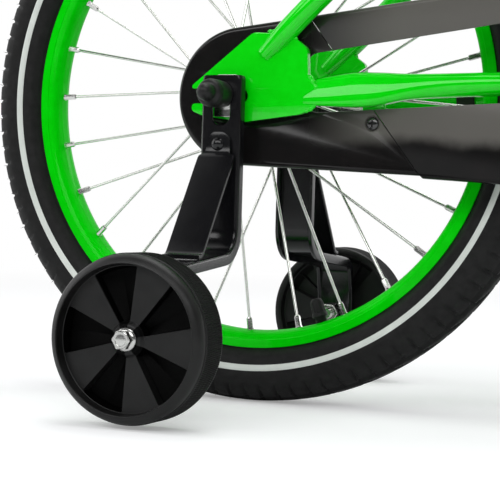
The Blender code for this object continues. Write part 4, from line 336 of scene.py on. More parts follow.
GREEN = finish(
    "green_paint", (0.0, 0.66, 0.001), (0.001, 0.72, 0.004), (0.34, 0.42), 500, 0.02,
    coat=1.0, mottle=30, shine=0.02,
)
RIM_GREEN = finish(
    "green_paint_on_rim", (0.0, 0.63, 0.001), (0.0005, 0.69, 0.003), (0.34, 0.42), 500, 0.02,
    coat=0.16, mottle=30, shine=0.02,
)
TYRE = finish("tyre_rubber", 0.008, 0.014, (0.5, 0.64), 1400, 0.12, mottle=40, shine=0.18)
TUBE = finish("tube_rubber", 0.009, 0.014, (0.5, 0.7), 1200, 0.15, shine=0.3)
STRIPE = finish("reflecting_stripe", (0.6, 0.64, 0.6), (0.68, 0.72, 0.68), (0.35, 0.5), 2200, 0.05)
ENAMEL = finish(
    "black_enamelled_steel", (0.004, 0.004, 0.005), (0.007, 0.007, 0.008), (0.17, 0.21), 300, 0.01
)
# The glossy black plastic carries a painted reflection: its upper front turns to a pale brownish grey.
GLOSSY = with_painted_reflection(
    finish("black_glossy_plastic", 0.006, (0.009, 0.008, 0.008), (0.12, 0.17), 300, 0.01, shine=0.35),
    0.169, 0.179, (0.112, 0.107, 0.098),
)
SATIN = finish("black_satin_plastic", 0.005, 0.011, (0.36, 0.46), 900, 0.1, shine=0.35)
# A darker copy of the satin black plastic: painted shade for the deep pockets of the stabiliser wheels.
POCKET_SHADE = finish("black_plastic_pocket_shade", 0.0006, 0.0012, (0.45, 0.55), 900, 0.05, shine=0.06)
ROLLED = finish("black_tread_plastic", 0.005, 0.008, (0.55, 0.7), 1500, 0.15, shine=0.1)
MATT = finish("black_matt_plastic", 0.008, 0.013, (0.5, 0.7), 1500, 0.3, shine=0.3)
ZINC = finish(
    "zinc_plated_steel", (0.62, 0.62, 0.6), (0.78, 0.78, 0.76), (0.16, 0.3), 40, 0.05,
    metallic=1.0, lines=True,
)
SPOKE_STEEL = finish(
    "spoke_steel", (0.8, 0.8, 0.77), (0.88, 0.88, 0.85), (0.14, 0.2), 30, 0.0, metallic=1.0
)
SCREW_STEEL = finish("blackened_screw", 0.02, 0.03, (0.1, 0.16), 600, 0.02, shine=0.9)
# Green-black steel for the brake clip: painted shade, so that the clip takes the tone of the shaded stay it
# sits on.
CLIP_SHADE_STEEL = finish(
    "clip_steel_painted_shade", (0.01, 0.02, 0.01), (0.016, 0.028, 0.016), (0.5, 0.6), 900, 0.05, shine=0.15
)
CHAIN_STEEL = finish(
    "chain_steel", (0.12, 0.11, 0.1), (0.26, 0.25, 0.23), (0.24, 0.44), 300, 0.12, metallic=1.0, mottle=60
)
VINYL = finish("saddle_vinyl", (0.01, 0.01, 0.011), (0.018, 0.018, 0.019), (0.38, 0.52), 1100, 0.45, 0.0004)
AMBER = finish("amber_reflector", (0.55, 0.13, 0.005), (0.85, 0.25, 0.01), (0.08, 0.2), 300, 0.1, coat=1.0)
FINISH_OF_SLOT = {
    "green_paint": GREEN, "tyre_rubber": TYRE, "tube_rubber": TUBE, "black_enamelled_steel": ENAMEL,
    "black_glossy_plastic": GLOSSY, "black_matt_plastic": MATT, "zinc_plated_steel": ZINC,
    "chain_steel": CHAIN_STEEL, "saddle_vinyl": VINYL,
}
SLOT_OF_FINISH = {look.name: slot for slot, look in FINISH_OF_SLOT.items()}
SLOT_OF_FINISH[RIM_GREEN.name] = "green_paint"
SLOT_OF_FINISH[SATIN.name] = "black_glossy_plastic"
SLOT_OF_FINISH[SCREW_STEEL.name] = "black_enamelled_steel"
SLOT_OF_FINISH[SPOKE_STEEL.name] = SLOT_OF_FINISH[CLIP_SHADE_STEEL.name] = "zinc_plated_steel"
for part in frame["record"]["subparts"]:
    mesh = frame["nodes"][part["node"]].data
    mesh.materials.clear()
    mesh.materials.append(FINISH_OF_SLOT[part["material_slot"]])
print("finishes", len(bpy.data.materials))

# %% [markdown]
# Every new shape is a surface worked out as a whole array: a grid of points from two
# parameters, or an outline carried along a path. These helpers turn such arrays into meshes.

# %% Helpers that turn arrays into pieces
def patch(grid, around=True, along=False, caps=True):
    """Points of a (rows, columns, 3) grid with the corner numbers of its faces. Around joins
    the last column to the first, along the last row to the first, and caps closes both ends."""
    rows, columns = grid.shape[:2]
    number = arange(rows * columns).reshape(rows, columns)
    if around:
        number = concatenate([number, number[:, :1]], axis=1)
    if along:
        number = concatenate([number, number[:1]], axis=0)
    corners = joined(number[:-1, :-1], number[:-1, 1:], number[1:, 1:], number[1:, :-1])
    faces = corners.reshape(-1, 4).tolist()
    if caps and not along:
        faces += [list(range(columns)), list(range((rows - 1) * columns, rows * columns))]
    return grid.reshape(-1, 3), faces


def placed(part, matrix):
    """The same faces with their points carried by a 4 by 4 matrix."""
    points, faces = part
    matrix = array(matrix)
    return points @ matrix[:3, :3].T + matrix[:3, 3], faces


def moved(part, shift):
    return part[0] + np.asarray(shift, float), part[1]


def mesh_of(name, parts):
    """One mesh from several parts, with its faces turned outwards."""
    faces, base = [], 0
    for points, part_faces in parts:
        faces += [[base + corner for corner in face] for face in part_faces]
        base += len(points)
    mesh = bpy.data.meshes.new(name)
    mesh.from_pydata(concatenate([points for points, _ in parts]).tolist(), [], faces)
    work = bmesh.new()
    work.from_mesh(mesh)
    bmesh.ops.recalc_face_normals(work, faces=work.faces)
    work.to_mesh(mesh)
    work.free()
    return mesh


def piece(name, parts, look, body, nodes=(), slot=None, crease=38, bevel=0.0, segments=2):
    """A finished piece: its mesh at the origin, smooth with sharp creases, its edges eased
    by a bevel if asked, riding on a body and standing for the CAD nodes named. The slot,
    the given one or else the finish's own, is worked out but not used."""
    mesh = mesh_of(name, parts)
    mesh.materials.append(look)
    made = bpy.data.objects.new(name, mesh)
    scene.collection.objects.link(made)
    finish_mesh(made, crease, bevel, segments)
    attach(made, body)
    if nodes:
        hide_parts(nodes)
    slot = slot or SLOT_OF_FINISH.get(look.name)
    print(name, len(made.data.polygons), "faces")
    return made


def sided(word, name, parts, look, body, node_name, **settings):
    """A piece of one side or end: the word closes its name and its node's."""
    return piece(name + "_" + word, parts, look, body, node_name + "_" + word, **settings)


def bake(made):
    """Replaces a piece's mesh by what its modifiers make of it."""
    bpy.context.view_layer.update()
    graph = bpy.context.evaluated_depsgraph_get()
    result = bpy.data.meshes.new_from_object(made.evaluated_get(graph))
    made.modifiers.clear()
    made.data = result


def finish_mesh(made, crease=38, bevel=0.0, segments=2):
    """Eases the edges by a bevel, if asked, and marks those sharper than the crease."""
    if bevel:
        ease = made.modifiers.new("ease", "BEVEL")
        ease.width, ease.segments, ease.limit_method = bevel, segments, "ANGLE"
        ease.angle_limit = radians(40)
        bake(made)
    made.data.shade_smooth()
    made.data.set_sharp_from_angle(angle=radians(crease))


def carved(made, *cutters):
    """Cuts closed parts out of a piece, one Boolean after the other."""
    for part in cutters:
        tool = bpy.data.objects.new("tool", mesh_of("tool", [part]))
        scene.collection.objects.link(tool)
        away = made.modifiers.new("carve", "BOOLEAN")
        away.operation, away.object, away.solver = "DIFFERENCE", tool, "EXACT"
        bake(made)
        bpy.data.objects.remove(tool, do_unlink=True)
    return made


print("mesh helpers ready")

# %% [markdown]
# Outlines are flat closed lines: polygons with eased corners, circles and belts. Paths and
# profiles are drawn as smooth curves through a few points. Tables of points are given in
# millimetres, and the first helper turns them into metres.

# %% Helpers for outlines, profiles and paths
def mm(points):
    return array(points, float) / 1000


def joined(*values):
    """Points from their coordinates: numbers and arrays are spread to one shape."""
    return np.stack(np.broadcast_arrays(*values), axis=-1)


def circle(count):
    """Angles that divide the full turn into equal steps."""
    return linspace(0, TAU, count, endpoint=False)


def box(left, right, low, high):
    """The four corners of an upright rectangle."""
    return [(left, low), (right, low), (right, high), (left, high)]


def both_halves(half):
    """A closed profile from its upper half, which starts and ends on the middle line."""
    return concatenate([half, (half * [1, -1])[-2:0:-1]])


def unit(vectors):
    """The directions of vectors, each of length one."""
    return vectors / norm(vectors, axis=-1, keepdims=True)


def corner_arc(before, here, after, radius, count):
    """Points on the circle that touches both edges at a corner: its centre lies on the
    line that halves the angle, at the radius over the sine of half that angle."""
    back, ahead = unit(before - here), unit(after - here)
    half = np.arccos(clip(back @ ahead, -1, 1)) / 2
    centre = here + unit(back + ahead) * radius / sin(half)
    first, last = (here + way * radius / np.tan(half) - centre for way in (back, ahead))
    t = linspace(0, 1, count)[:, None]
    return centre + radius * unit(first * (1 - t) + last * t)


def eased(corners, radius, count=6):
    """A closed outline whose corners are arcs: each corner is replaced by points on the
    circle of its radius that touches both edges. A third value is the corner's own radius."""
    outline = []
    for k, corner in enumerate(corners):
        size = corner[2] if len(corner) > 2 else radius
        before, here, after = (array(corners[j % len(corners)][:2], float) for j in (k - 1, k, k + 1))
        outline.append(corner_arc(before, here, after, size, count) if size else here[None])
    return concatenate(outline)


def arc(centre, radius, start, end, count):
    """Points on a circle from one angle in degrees to another."""
    angle = radians(linspace(start, end, count))
    return np.asarray(centre, float) + radius * joined(cos(angle), sin(angle))


def ring(radius, count=32, centre=(0.0, 0.0)):
    return arc(centre, radius, 0, 360 * (count - 1) / count, count)


def belt(centre_a, radius_a, centre_b, radius_b, count):
    """Outline of a belt round two circles: their outer arcs, joined by the common tangents."""
    run = np.subtract(centre_b, centre_a)
    lean = np.degrees(np.arcsin((radius_b - radius_a) / norm(run)))
    heading = np.degrees(np.arctan2(run[1], run[0]))
    back = arc(centre_a, radius_a, heading + 90 + lean, heading + 270 - lean, count)
    return concatenate([back, arc(centre_b, radius_b, heading - 90 - lean, heading + 90 + lean, count)])


def flowing(points, count):
    """Points on one smooth curve through the given ones: a Catmull-Rom cubic on each span."""
    points = np.asarray(points, float)
    before, after = 2 * points[:1] - points[1:2], 2 * points[-1:] - points[-2:-1]
    ends = concatenate([before, points, after])
    a, b, c, d = (ends[k : k + len(points) - 1, None] for k in range(4))
    t = linspace(0, 1, count, endpoint=False)[None, :, None]
    curve = 2 * b + (c - a) * t + (2 * a - 5 * b + 4 * c - d) * t**2 + (3 * b - a - 3 * c + d) * t**3
    curve = 0.5 * curve
    return concatenate([curve.reshape(-1, points.shape[1]), points[-1:]])


print("outline helpers ready")

# %% [markdown]
# Most parts of a bicycle are turned, drawn or pressed, and so are these: a profile turned
# about an axis, a ring carried along a path, and a flat outline between two faces.

# %% Helpers for turned, swept and flat shapes
def turned(profile, steps=48, closed=False, caps=True):
    """A profile of (radius, height) points turned about Z: x and y are the radius times the
    angle's cosine and sine, and z is the height."""
    profile = np.asarray(profile, float)
    angle = circle(steps)
    x = profile[:, :1] * cos(angle)
    y = profile[:, :1] * sin(angle)
    z = np.repeat(profile[:, 1:], steps, axis=1)
    return patch(joined(x, y, z), along=closed, caps=caps and not closed)


def sideways(centre, side=-1):
    """Matrix that lays a turned part's Z axis along -Y on the right side, +Y on the left."""
    turn = Matrix.Rotation(-side * pi / 2, 4, "X")
    return Matrix.Translation(Vector(centre)) @ turn


def lathe(profile, centre, side=-1, **settings):
    """A profile of (radius, distance from the middle plane) turned about a cross axle."""
    return placed(turned(profile, **settings), sideways(centre, side))


def along(start, end):
    """Matrix at a start whose Z axis points to an end."""
    heading = Vector(np.subtract(end, start))
    return Matrix.Translation(Vector(start)) @ heading.to_track_quat("Z", "Y").to_matrix().to_4x4()


def swept(path, radius, sides=20, reference=(0.0, 1.0, 0.0), closed=False, caps=True):
    """A round or oval tube: at each path point the ring is the point plus the radius times
    the cosine along a normal and the sine along the second normal, both square to the path."""
    path = np.asarray(path, float)
    if closed:
        way = unit(np.roll(path, -1, axis=0) - np.roll(path, 1, axis=0))
    else:
        way = unit(np.gradient(path, axis=0))
    first = unit(np.cross(way, reference))
    second = np.cross(way, first)
    angle = circle(sides)
    columns = radius if np.ndim(radius) == 2 else np.reshape(radius, (-1, 1))
    sizes = np.broadcast_to(columns, (len(path), 2))
    beside = first[:, None] * sizes[:, :1, None] * cos(angle)[:, None]
    above = second[:, None] * sizes[:, 1:, None] * sin(angle)[:, None]
    return patch(path[:, None] + beside + above, along=closed, caps=caps and not closed)


def slab(outline, low, high, holes=()):
    """A flat plate: the outline and its holes are filled by triangles at two heights, and
    walls join them."""
    loops = [np.asarray(loop, float) for loop in (outline, *holes)]
    flat = concatenate(loops)
    filled = tessellate_polygon([[Vector((x, y, 0)) for x, y in loop] for loop in loops])
    count = len(flat)
    points = concatenate([np.column_stack([flat, np.full(count, h)]) for h in (low, high)])
    faces = [list(f) for f in filled] + [[count + c for c in f[::-1]] for f in filled]
    base = 0
    for loop in loops:
        here = base + arange(len(loop))
        after = base + np.roll(arange(len(loop)), -1)
        faces += joined(here, after, after + count, here + count).tolist()
        base += len(loop)
    return points, faces


def side_plate(outline, inner, outer, side, centre, holes=()):
    """A plate seen from the side: its (x, z) outline lies from one distance from the middle
    plane to another, on the side given."""
    points, faces = slab(outline, inner, outer, holes)
    return joined(points[:, 0], side * points[:, 2], points[:, 1]) + centre, faces


def hexagon(flats):
    return ring(flats / sqrt(3), 6)


def bar(start, end, radius, sides=32, end_radius=None):
    """A straight round bar between two points."""
    end_radius = radius if end_radius is None else end_radius
    length = norm(np.subtract(end, start))
    return placed(turned([(radius, 0), (end_radius, length)], sides), along(start, end))


print("shape helpers ready")

# %% [markdown]
# The tyre is the largest dark shape in the picture. Its section is one closed line, from one
# bead over the tread to the other and back inside. The tread's grooves are pressed into it by
# a height that depends on the angle round the wheel and the place across the tread: square
# blocks on the shoulder, slanting ones in the middle, and a zigzag groove between.

# %% Tyre
TYRE_OUTER = mm([
    (156.7, 10.2), (159.2, 11.8), (160.5, 14), (164, 17.6), (168.6, 19.2), (172.8, 20.2), (177, 20.8),
    (182, 20), (187, 16.8), (191, 11.3), (193, 5.5), (193.6, 0),
])
STRIPE_RADII = (0.169, 0.1729)
BLOCKS = 108


def tyre_section():
    """The outer line from one bead over the crown to the other, and inside it a thinner line
    back."""
    half = flowing(TYRE_OUTER, 4)
    outer = concatenate([half, half[-2::-1] * [1, -1]])
    inside = mm([(155.5, 7), (160, 10), (168, 15.8), (177, 17.2), (185, 13), (190, 5)])
    return outer, concatenate([inside * [1, -1], inside[::-1]])


def groove(distance, width):
    """1 in the middle of a groove and 0 outside it, with sloping sides."""
    return clip(1.5 - 2 * np.abs(distance) / width, 0, 1)


def tread_depth(angle, across):
    """Depth of the grooves at an angle and a place across the tread. Round the wheel the
    angle is counted in blocks, and a groove lies where that count is near a whole number."""
    reach = np.abs(across)
    blocks = angle * BLOCKS / TAU
    pitch = TAU * 0.19 / BLOCKS
    shoulder = groove((blocks - np.round(blocks)) * pitch, 0.0016) * clip((reach - 0.0092) / 0.001, 0, 1)
    slant = blocks / 2 + 0.5 * (across < 0) + reach / 0.0125
    middle = groove((slant - np.round(slant)) * 2 * pitch, 0.003) * clip((0.0104 - reach) / 0.001, 0, 1)
    zigzag = groove(reach - 0.0096 - 0.0009 * np.sign(sin(angle * BLOCKS / 2)), 0.0026)
    short = blocks / 2 + reach / 0.03
    sipe = 0.45 * groove((short - np.round(short)) * 2 * pitch, 0.0022) * (reach > 0.0115) * (reach < 0.0165)
    wall = clip((0.0203 - reach) / 0.0012, 0, 1)
    deepest = maximum(maximum(shoulder, middle), maximum(zigzag, sipe))
    return 0.0021 * wall * clip(deepest, 0, 1)


def make_tyre(word, centre, body):
    """The section turned about the axle, less the tread's depth at each angle."""
    outer, inside = tyre_section()
    marks = array([-0.138, -0.046, 0.046, 0.138, 0.26, 0.42, 0.58, 0.74])
    steps = BLOCKS * len(marks)
    angle = ((arange(BLOCKS)[:, None] + marks).reshape(-1, 1)) * TAU / BLOCKS
    section = concatenate([outer, inside])
    radius = np.broadcast_to(section[:, 0], (steps, len(section))).copy()
    across = np.broadcast_to(section[:, 1], (steps, len(section)))
    count = len(outer)
    on_tread = outer[:, 0] > 0.1772
    depth = tread_depth(angle, across[:, :count]) * on_tread
    radius[:, :count] -= depth
    grid = joined(centre[0] + radius * cos(angle), across, centre[2] + radius * sin(angle))
    piece(word + "_tyre_moulded", [patch(grid, along=True)], TYRE, body, word + "_tyre", crease=50)


def make_stripe(word, centre, body):
    """A thin band on each wall that follows the tyre's own line."""
    low, high = STRIPE_RADII
    radius = linspace(low, high, 6)
    line = flowing(TYRE_OUTER, 12)
    width = interp(radius, line[:72, 0], line[:72, 1])
    lift = 0.00035 * array([0.2, 1, 1, 1, 1, 0.2])
    front = joined(radius, width + lift)
    back = joined(radius[::-1], width[::-1] - 0.0008)
    section = concatenate([front, back])
    bands = [lathe(section, centre, side, steps=240, closed=True) for side in (-1, 1)]
    piece(word + "_reflecting_stripe", bands, STRIPE, body, slot="tyre_rubber")


def make_vent_hairs(word, centre, body):
    """The rubber hairs that the mould's vents leave on the tread: thin three-sided cones
    along the radius, at the edges of the blocks."""
    count = BLOCKS * 2
    spread = np.random.default_rng(7)
    angle = (arange(count) + spread.uniform(-0.3, 0.3, count)) * TAU / count
    across = where(arange(count) % 2, 1, -1) * spread.uniform(0.01, 0.0165, count)
    line = flowing(TYRE_OUTER, 12)
    near = len(line) // 2
    foot = interp(np.abs(across), line[::-1, 1][:near], line[::-1, 0][:near]) - 0.0006
    length = spread.uniform(0.0016, 0.0034, count)
    tip = minimum(foot + length, 0.1944)
    lean = spread.uniform(-0.006, 0.006, count)
    turn, thick = arange(3) * TAU / 3, 0.00028
    base = joined(
        foot[:, None] * cos(angle)[:, None] - thick * cos(turn) * sin(angle)[:, None],
        across[:, None] + thick * sin(turn),
        foot[:, None] * sin(angle)[:, None] + thick * cos(turn) * cos(angle)[:, None],
    )
    top = joined(tip * cos(angle + lean), across * 1.04, tip * sin(angle + lean))
    points = concatenate([base, top[:, None]], axis=1) + centre
    start = 4 * arange(count)[:, None, None]
    faces = (start + array([[0, 1, 3], [1, 2, 3], [2, 0, 3], [0, 2, 1]])).reshape(-1, 3).tolist()
    piece(word + "_vent_hairs", [(points.reshape(-1, 3), faces)], TYRE, body)


WHEELS = (("rear", REAR, "rear_wheel"), ("front", FRONT, "front_wheel"))
for word, centre, body in WHEELS:
    make_tyre(word, centre, body)
    make_stripe(word, centre, body)
    make_vent_hairs(word, centre, body)

# %% [markdown]
# The rim is rolled from a strip: a hooked flange on each side, a flat wall with a crease
# where it starts to curve in, and a bed that carries the nipples. Its profile is turned
# about the axle. The crease is what draws the thin bright line round the painted wall.

# %% Rim
def make_rim(word, centre, body):
    half = mm([
        (147.6, 0), (147.7, 2.8), (148, 3), (147.8, 3.2), (148.6, 6.8), (149.8, 9.4), (151.6, 11),
        (153.4, 11.8), (153.7, 12.2), (158.5, 12.2), (158.8, 11.2), (158, 10.6), (155.5, 10.6),
        (152.2, 10), (151.2, 7.5), (150.8, 0),
    ])
    shape = lathe(both_halves(half), centre, steps=240, closed=True)
    piece(word + "_rim_rolled", [shape], RIM_GREEN, body, word + "_rim", crease=24)


for word, centre, body in WHEELS:
    make_rim(word, centre, body)

# %% [markdown]
# Each wheel has 28 spokes, crossed in pairs. A spoke leaves the hub's flange by a bent elbow
# and ends in a nipple with a square shank. The angle at the rim fixes which flange a spoke
# comes from and which way it leans.

# %% Hubs, spokes and nipples
SPOKES = 28
STEP = TAU / SPOKES
FIRST_SPOKE = radians(-181.4)


def radial(angle, radius, y=0.0):
    """Points at an angle round the axle: forwards is its cosine and up is its sine."""
    return joined(radius * cos(angle), y, radius * sin(angle))


def spoke_ends(first):
    """All hub ends and rim ends of a wheel: of each four spokes the first two lean one way
    from the left and the right flange, and the next two lean the other way."""
    number = arange(SPOKES)
    side = array([1, -1, 1, -1])[number % 4]
    lean = array([-1, 1, 1, -1])[number % 4]
    at_rim = first + number * STEP
    hub = radial(at_rim + 2 * lean * STEP, 0.023, side * (0.025 + lean * 0.0018))
    rim = radial(at_rim, 0.1487, side * 0.0011)
    return hub, rim, lean


def make_spokes(word, centre, body, first):
    """A thin bent wire with a button head for each spoke, and a nipple turned to it."""
    hub, rim, lean = spoke_ends(first)
    way = unit(rim - hub)
    button = turned(mm([(0, -0.6), (1.7, -0.4), (1.7, 0.4), (0, 0.6)]), 8, caps=False)
    shank = turned(mm([(1.3, 0), (1.7, 0.6), (1.9, 1.2), (1.9, 7), (2.3, 7.8), (2.6, 9.6)]), 8)
    spokes, nipples = [], []
    for near, far, along_it, tilt in zip(hub, rim, way, lean):
        through = near - tilt * 0.0045 * ACROSS
        path = [through, near + along_it * 0.001, near + along_it * 0.006, far - along_it * 0.008]
        spokes.append(moved(swept(path, 0.00092, 10, reference=(0.3, 0.2, 0.9)), centre))
        spokes.append(moved(placed(button, along(through, near)), centre))
        nipples.append(moved(placed(shank, along(far - along_it * 0.0092, far)), centre))
    piece(word + "_spokes_crossed", spokes, SPOKE_STEEL, body, crease=60)
    piece(word + "_nipples", nipples, ZINC, body, crease=30)


def make_hub(word, centre, body, half, barrel, look):
    """Turned shell: a waisted barrel between two flanges with rounded edges."""
    section = array([
        (0.0052, 0.0), (0.0052, half), (0.78 * barrel, half), (0.86 * barrel, half - 0.0012),
        (0.0265, 0.0268), (0.0275, 0.026), (0.0275, 0.0242), (0.0265, 0.0235),
        (1.12 * barrel, 0.0215), (1.02 * barrel, 0.019), (0.97 * barrel, 0.014), (0.95 * barrel, 0.0),
    ])
    shape = lathe(both_halves(section), centre, steps=72, closed=True)
    piece(word + "_hub_shell", [shape], look, body, word + "_spokes", "zinc_plated_steel", crease=30)


make_hub("rear", REAR, "rear_wheel", 0.0335, 0.019, ENAMEL)
make_hub("front", FRONT, "front_wheel", 0.04, 0.013, ZINC)
make_spokes("rear", REAR, "rear_wheel", FIRST_SPOKE)
make_spokes("front", FRONT, "front_wheel", FIRST_SPOKE + pi)


def make_valve(word, centre, body, first):
    """Valve stem with its threads, and a ribbed cap with a flared skirt."""
    angle = first + 8.5 * STEP
    tip, root = radial(angle, 0.1352), radial(angle, 0.156)
    height = linspace(0, 0.0208, 90)
    thread = 0.0036 + 0.00022 * cos(height * TAU / 0.0009)
    stem = moved(placed(turned(joined(thread, height), 24), along(tip, root)), centre)
    piece(word + "_valve_stem", [stem], TUBE, body, word + "_inner_tube", crease=60)
    rows = mm([
        (0, 12.1), (2, 12), (3.2, 11.4), (3.8, 10.4), (4.1, 9), (4.3, 3), (5, 2.2), (5.2, 0.2), (4.6, 0),
    ])
    radius, rise = rows[:, :1], rows[:, 1:]
    angles = circle(48)
    ribs = 1 + 0.05 * np.sign(cos(angles * 12)) * (rise < 0.0104) * (rise > 0.0029)
    grid = joined(radius * ribs * cos(angles), radius * ribs * sin(angles), rise)
    cap = moved(placed(patch(grid), along(radial(angle, 0.144), radial(angle, 0.1))), centre)
    piece(word + "_valve_cap_ribbed", [cap], MATT, body, word + "_valve_cap", crease=40)


make_valve("rear", REAR, "rear_wheel", FIRST_SPOKE)
make_valve("front", FRONT, "front_wheel", FIRST_SPOKE + pi)

# %% [markdown]
# The frame is brazed and welded from tubes. Where one tube meets another, the joint is the
# line in which a bundle of lines along the first tube's skin strikes the other's cylinder; a
# rippled bead of weld is carried along that line.

# %% Frame tubes and weld beads
def struck(points, way, target, axis, radius):
    """Where lines from the points along a way first meet a cylinder about an axis."""
    axis = unit(axis)
    rel = points - target
    flat_way = way - axis * (way @ axis)
    flat = rel - np.outer(rel @ axis, axis)
    a = flat_way @ flat_way
    b = flat @ flat_way
    c = np.sum(flat * flat, axis=1) - radius**2
    root = sqrt(clip(b * b - a * c, 0, None))
    return points + np.outer((-b - root) / a, way)


def weld(start, end, radius, target, axis, target_radius, bead=0.0019, ripples=26):
    """A closed bead round a tube that runs from its start to a target cylinder."""
    start, end = np.asarray(start, float), np.asarray(end, float)
    way = unit(end - start)
    first = unit(np.cross(way, axis if abs(way @ axis) < 0.95 else [0, 1, 0]))
    second = np.cross(way, first)
    turn = circle(160)[:, None]
    foot = start + radius * (first * cos(turn) + second * sin(turn))
    line = struck(foot, way, np.asarray(target, float), np.asarray(axis, float), target_radius)
    size = bead * (1 + 0.14 * sin(turn[:, 0] * ripples) + 0.05 * sin(turn[:, 0] * 7))
    return swept(line, size, 10, reference=way, closed=True)


HEAD_LOW, HEAD_HIGH = on_steerer(0.2521), on_steerer(0.3371)
SEAT_TOP = on_seat_tube(0.235)
STAYS = mm([
    (50, 52, 2, 7.5, 3.4), (78, 52.5, 3.5, 10.4, 6.3), (95, 50, 4.2, 10.1, 7), (118, 45.8, 6.1, 7.7, 7.4),
    (160, 38.5, 7.9, 7.1, 7.2), (205, 29, 9.2, 7.1, 7.2), (254.2, 24, 9.8, 7.1, 7.2),
])
SEAT_STAY_LOW = REAR + [0.023, 0, 0.025]
SEAT_STAY_HIGH = on_seat_tube(0.2)


def chain_stay_part(side):
    """Ovals along the stay: half width and half height follow the stations."""
    rows = flowing(STAYS, 8)
    angle = circle(56)
    pressed = clip((0.15 - rows[:, :1]) / 0.045, 0, 1)
    pressed = pressed * pressed * (3 - 2 * pressed)
    wave = cos(angle)
    flat = np.sign(wave) * np.abs(wave) ** (1 - 0.45 * pressed)
    tall = rows[:, 3:4] * sin(angle)
    out = side * rows[:, 1:2]
    y = out + rows[:, 4:5] * flat - side * 0.26 * pressed * tall * (flat * side > 0)
    return moved(patch(joined(rows[:, :1], y, rows[:, 2:3] + tall)), REAR)


def seat_stay_part(side):
    """A round tube on a smooth path that leaves the plate and closes in on the seat tube."""
    shares = array([(0.0, 0.05375), (0.18, 0.056), (0.38, 0.05), (0.72, 0.033), (1.0, 0.013)])
    path = SEAT_STAY_LOW + (SEAT_STAY_HIGH - SEAT_STAY_LOW) * shares[:, :1] + side * shares[:, 1:] * ACROSS
    path = flowing(path, 10)
    size = interp(linspace(0, 1, len(path)), [0, 0.06, 0.12, 1], [0.005, 0.0062, 0.0068, 0.0068])
    return swept(path, size, 28)


def mitred(start, end, radius, wall, start_on=None, end_on=None):
    """A real tube: its outer and inner skins are bundles of lines along the tube, each end
    square or cut to the cylinder (point, axis, radius) that it meets."""
    start, end = np.asarray(start, float), np.asarray(end, float)
    way = unit(end - start)
    first = unit(np.cross(way, ACROSS))
    second = np.cross(way, first)
    turn = circle(72)[:, None]
    spoke = first * cos(turn) + second * sin(turn)
    loops = []
    for size, order in ((radius, (0, 1)), (radius - wall, (1, 0))):
        middle = (start + end) / 2 + size * spoke
        lines = []
        for point, heading, target in ((start, -way, start_on), (end, way, end_on)):
            flat = middle + np.outer((point - middle) @ way, way)
            lines.append(struck(middle, heading, *target) if target else flat)
        loops += [lines[k] for k in order]
    return patch(array(loops), along=True)


SHELL, SEAT_TUBE, DOWN_TUBE, TOP_TUBE, HEAD_TUBE = 0.0195, 0.0155, 0.016, 0.0135, 0.018
BRIDGE_SHARE, BRIDGE_RADIUS = 0.72, 0.0055


def frame_tubes():
    """The shell and the head tube are turned, the other tubes mitred, and every joint has
    its bead; the stays and their two bridges follow on both sides."""
    down_end, top_start, top_end = on_steerer(0.2731), on_seat_tube(0.155), on_steerer(0.3161)
    ring_of_shell = mm([(16.8, -34), (16.8, 34), (19, 34), (19.5, 33.5), (19.5, -33.5), (19, -34)])
    head = mm([
        (14, 0), (17.8, 0), (18.8, 0.8), (18.8, 6), (18, 7), (18, 78), (18.8, 79), (18.8, 84.2),
        (17.8, 85), (14, 85),
    ])
    on_shell, on_seat = (CRANK, ACROSS, 0.0184), (CRANK, UP_TUBE, 0.0147)
    on_head = (HEAD_LOW, UP_TUBE, 0.0169)
    at_head, at_shell = (HEAD_LOW, UP_TUBE, HEAD_TUBE), (CRANK, ACROSS, SHELL)
    at_seat = (CRANK, UP_TUBE, SEAT_TUBE)
    parts = [
        lathe(ring_of_shell, CRANK, steps=64, closed=True),
        placed(turned(head, 64, closed=True), along(HEAD_LOW, HEAD_HIGH)),
        mitred(SEAT_TOP, CRANK, SEAT_TUBE, 0.0023, None, on_shell),
        mitred(CRANK, down_end, DOWN_TUBE, 0.0014, on_shell, on_head),
        mitred(top_start, top_end, TOP_TUBE, 0.0014, on_seat, on_head),
        weld(top_start, top_end, TOP_TUBE, *at_head),
        weld(top_end, top_start, TOP_TUBE, *at_seat),
        weld(CRANK, down_end, DOWN_TUBE, *at_head),
        weld(down_end, CRANK, DOWN_TUBE, *at_shell),
        weld(SEAT_TOP, CRANK, SEAT_TUBE, *at_shell),
    ]
    stay = SEAT_STAY_HIGH - SEAT_STAY_LOW
    bridge = SEAT_STAY_LOW + BRIDGE_SHARE * stay
    for _, side in SIDES:
        parts += [chain_stay_part(side), seat_stay_part(side)]
        stay_start, stay_end = REAR + [0.205, side * 0.029, 0.0092], REAR + [0.258, side * 0.024, 0.0098]
        parts.append(weld(stay_start, stay_end, 0.0071, *at_shell, 0.0016, 18))
        high_start, high_end = bridge + side * 0.033 * ACROSS, SEAT_STAY_HIGH + side * 0.013 * ACROSS
        parts.append(weld(high_start, high_end, 0.0068, *at_seat, 0.0015, 16))
    low_bridge = REAR + [0.214, 0, 0.0092]
    for middle, reach, stay_way in ((bridge, 0.033, stay), (low_bridge, 0.028, array([1.0, 0, 0]))):
        parts.append(bar(middle - reach * ACROSS, middle + reach * ACROSS, BRIDGE_RADIUS, 28))
        for side in (-1, 1):
            joint = middle + side * reach * ACROSS
            parts.append(weld(middle, joint, BRIDGE_RADIUS, joint, stay_way, 0.007, 0.0013, 14))
    return parts


piece("frame_welded_tubes", frame_tubes(), GREEN, "frame", "frame", crease=50)

# %% [markdown]
# The rear ends are laser-cut plates with a slot that opens backwards. Their edges are eased
# and the paint rounds them further, and a bead of weld runs where each stay comes in.

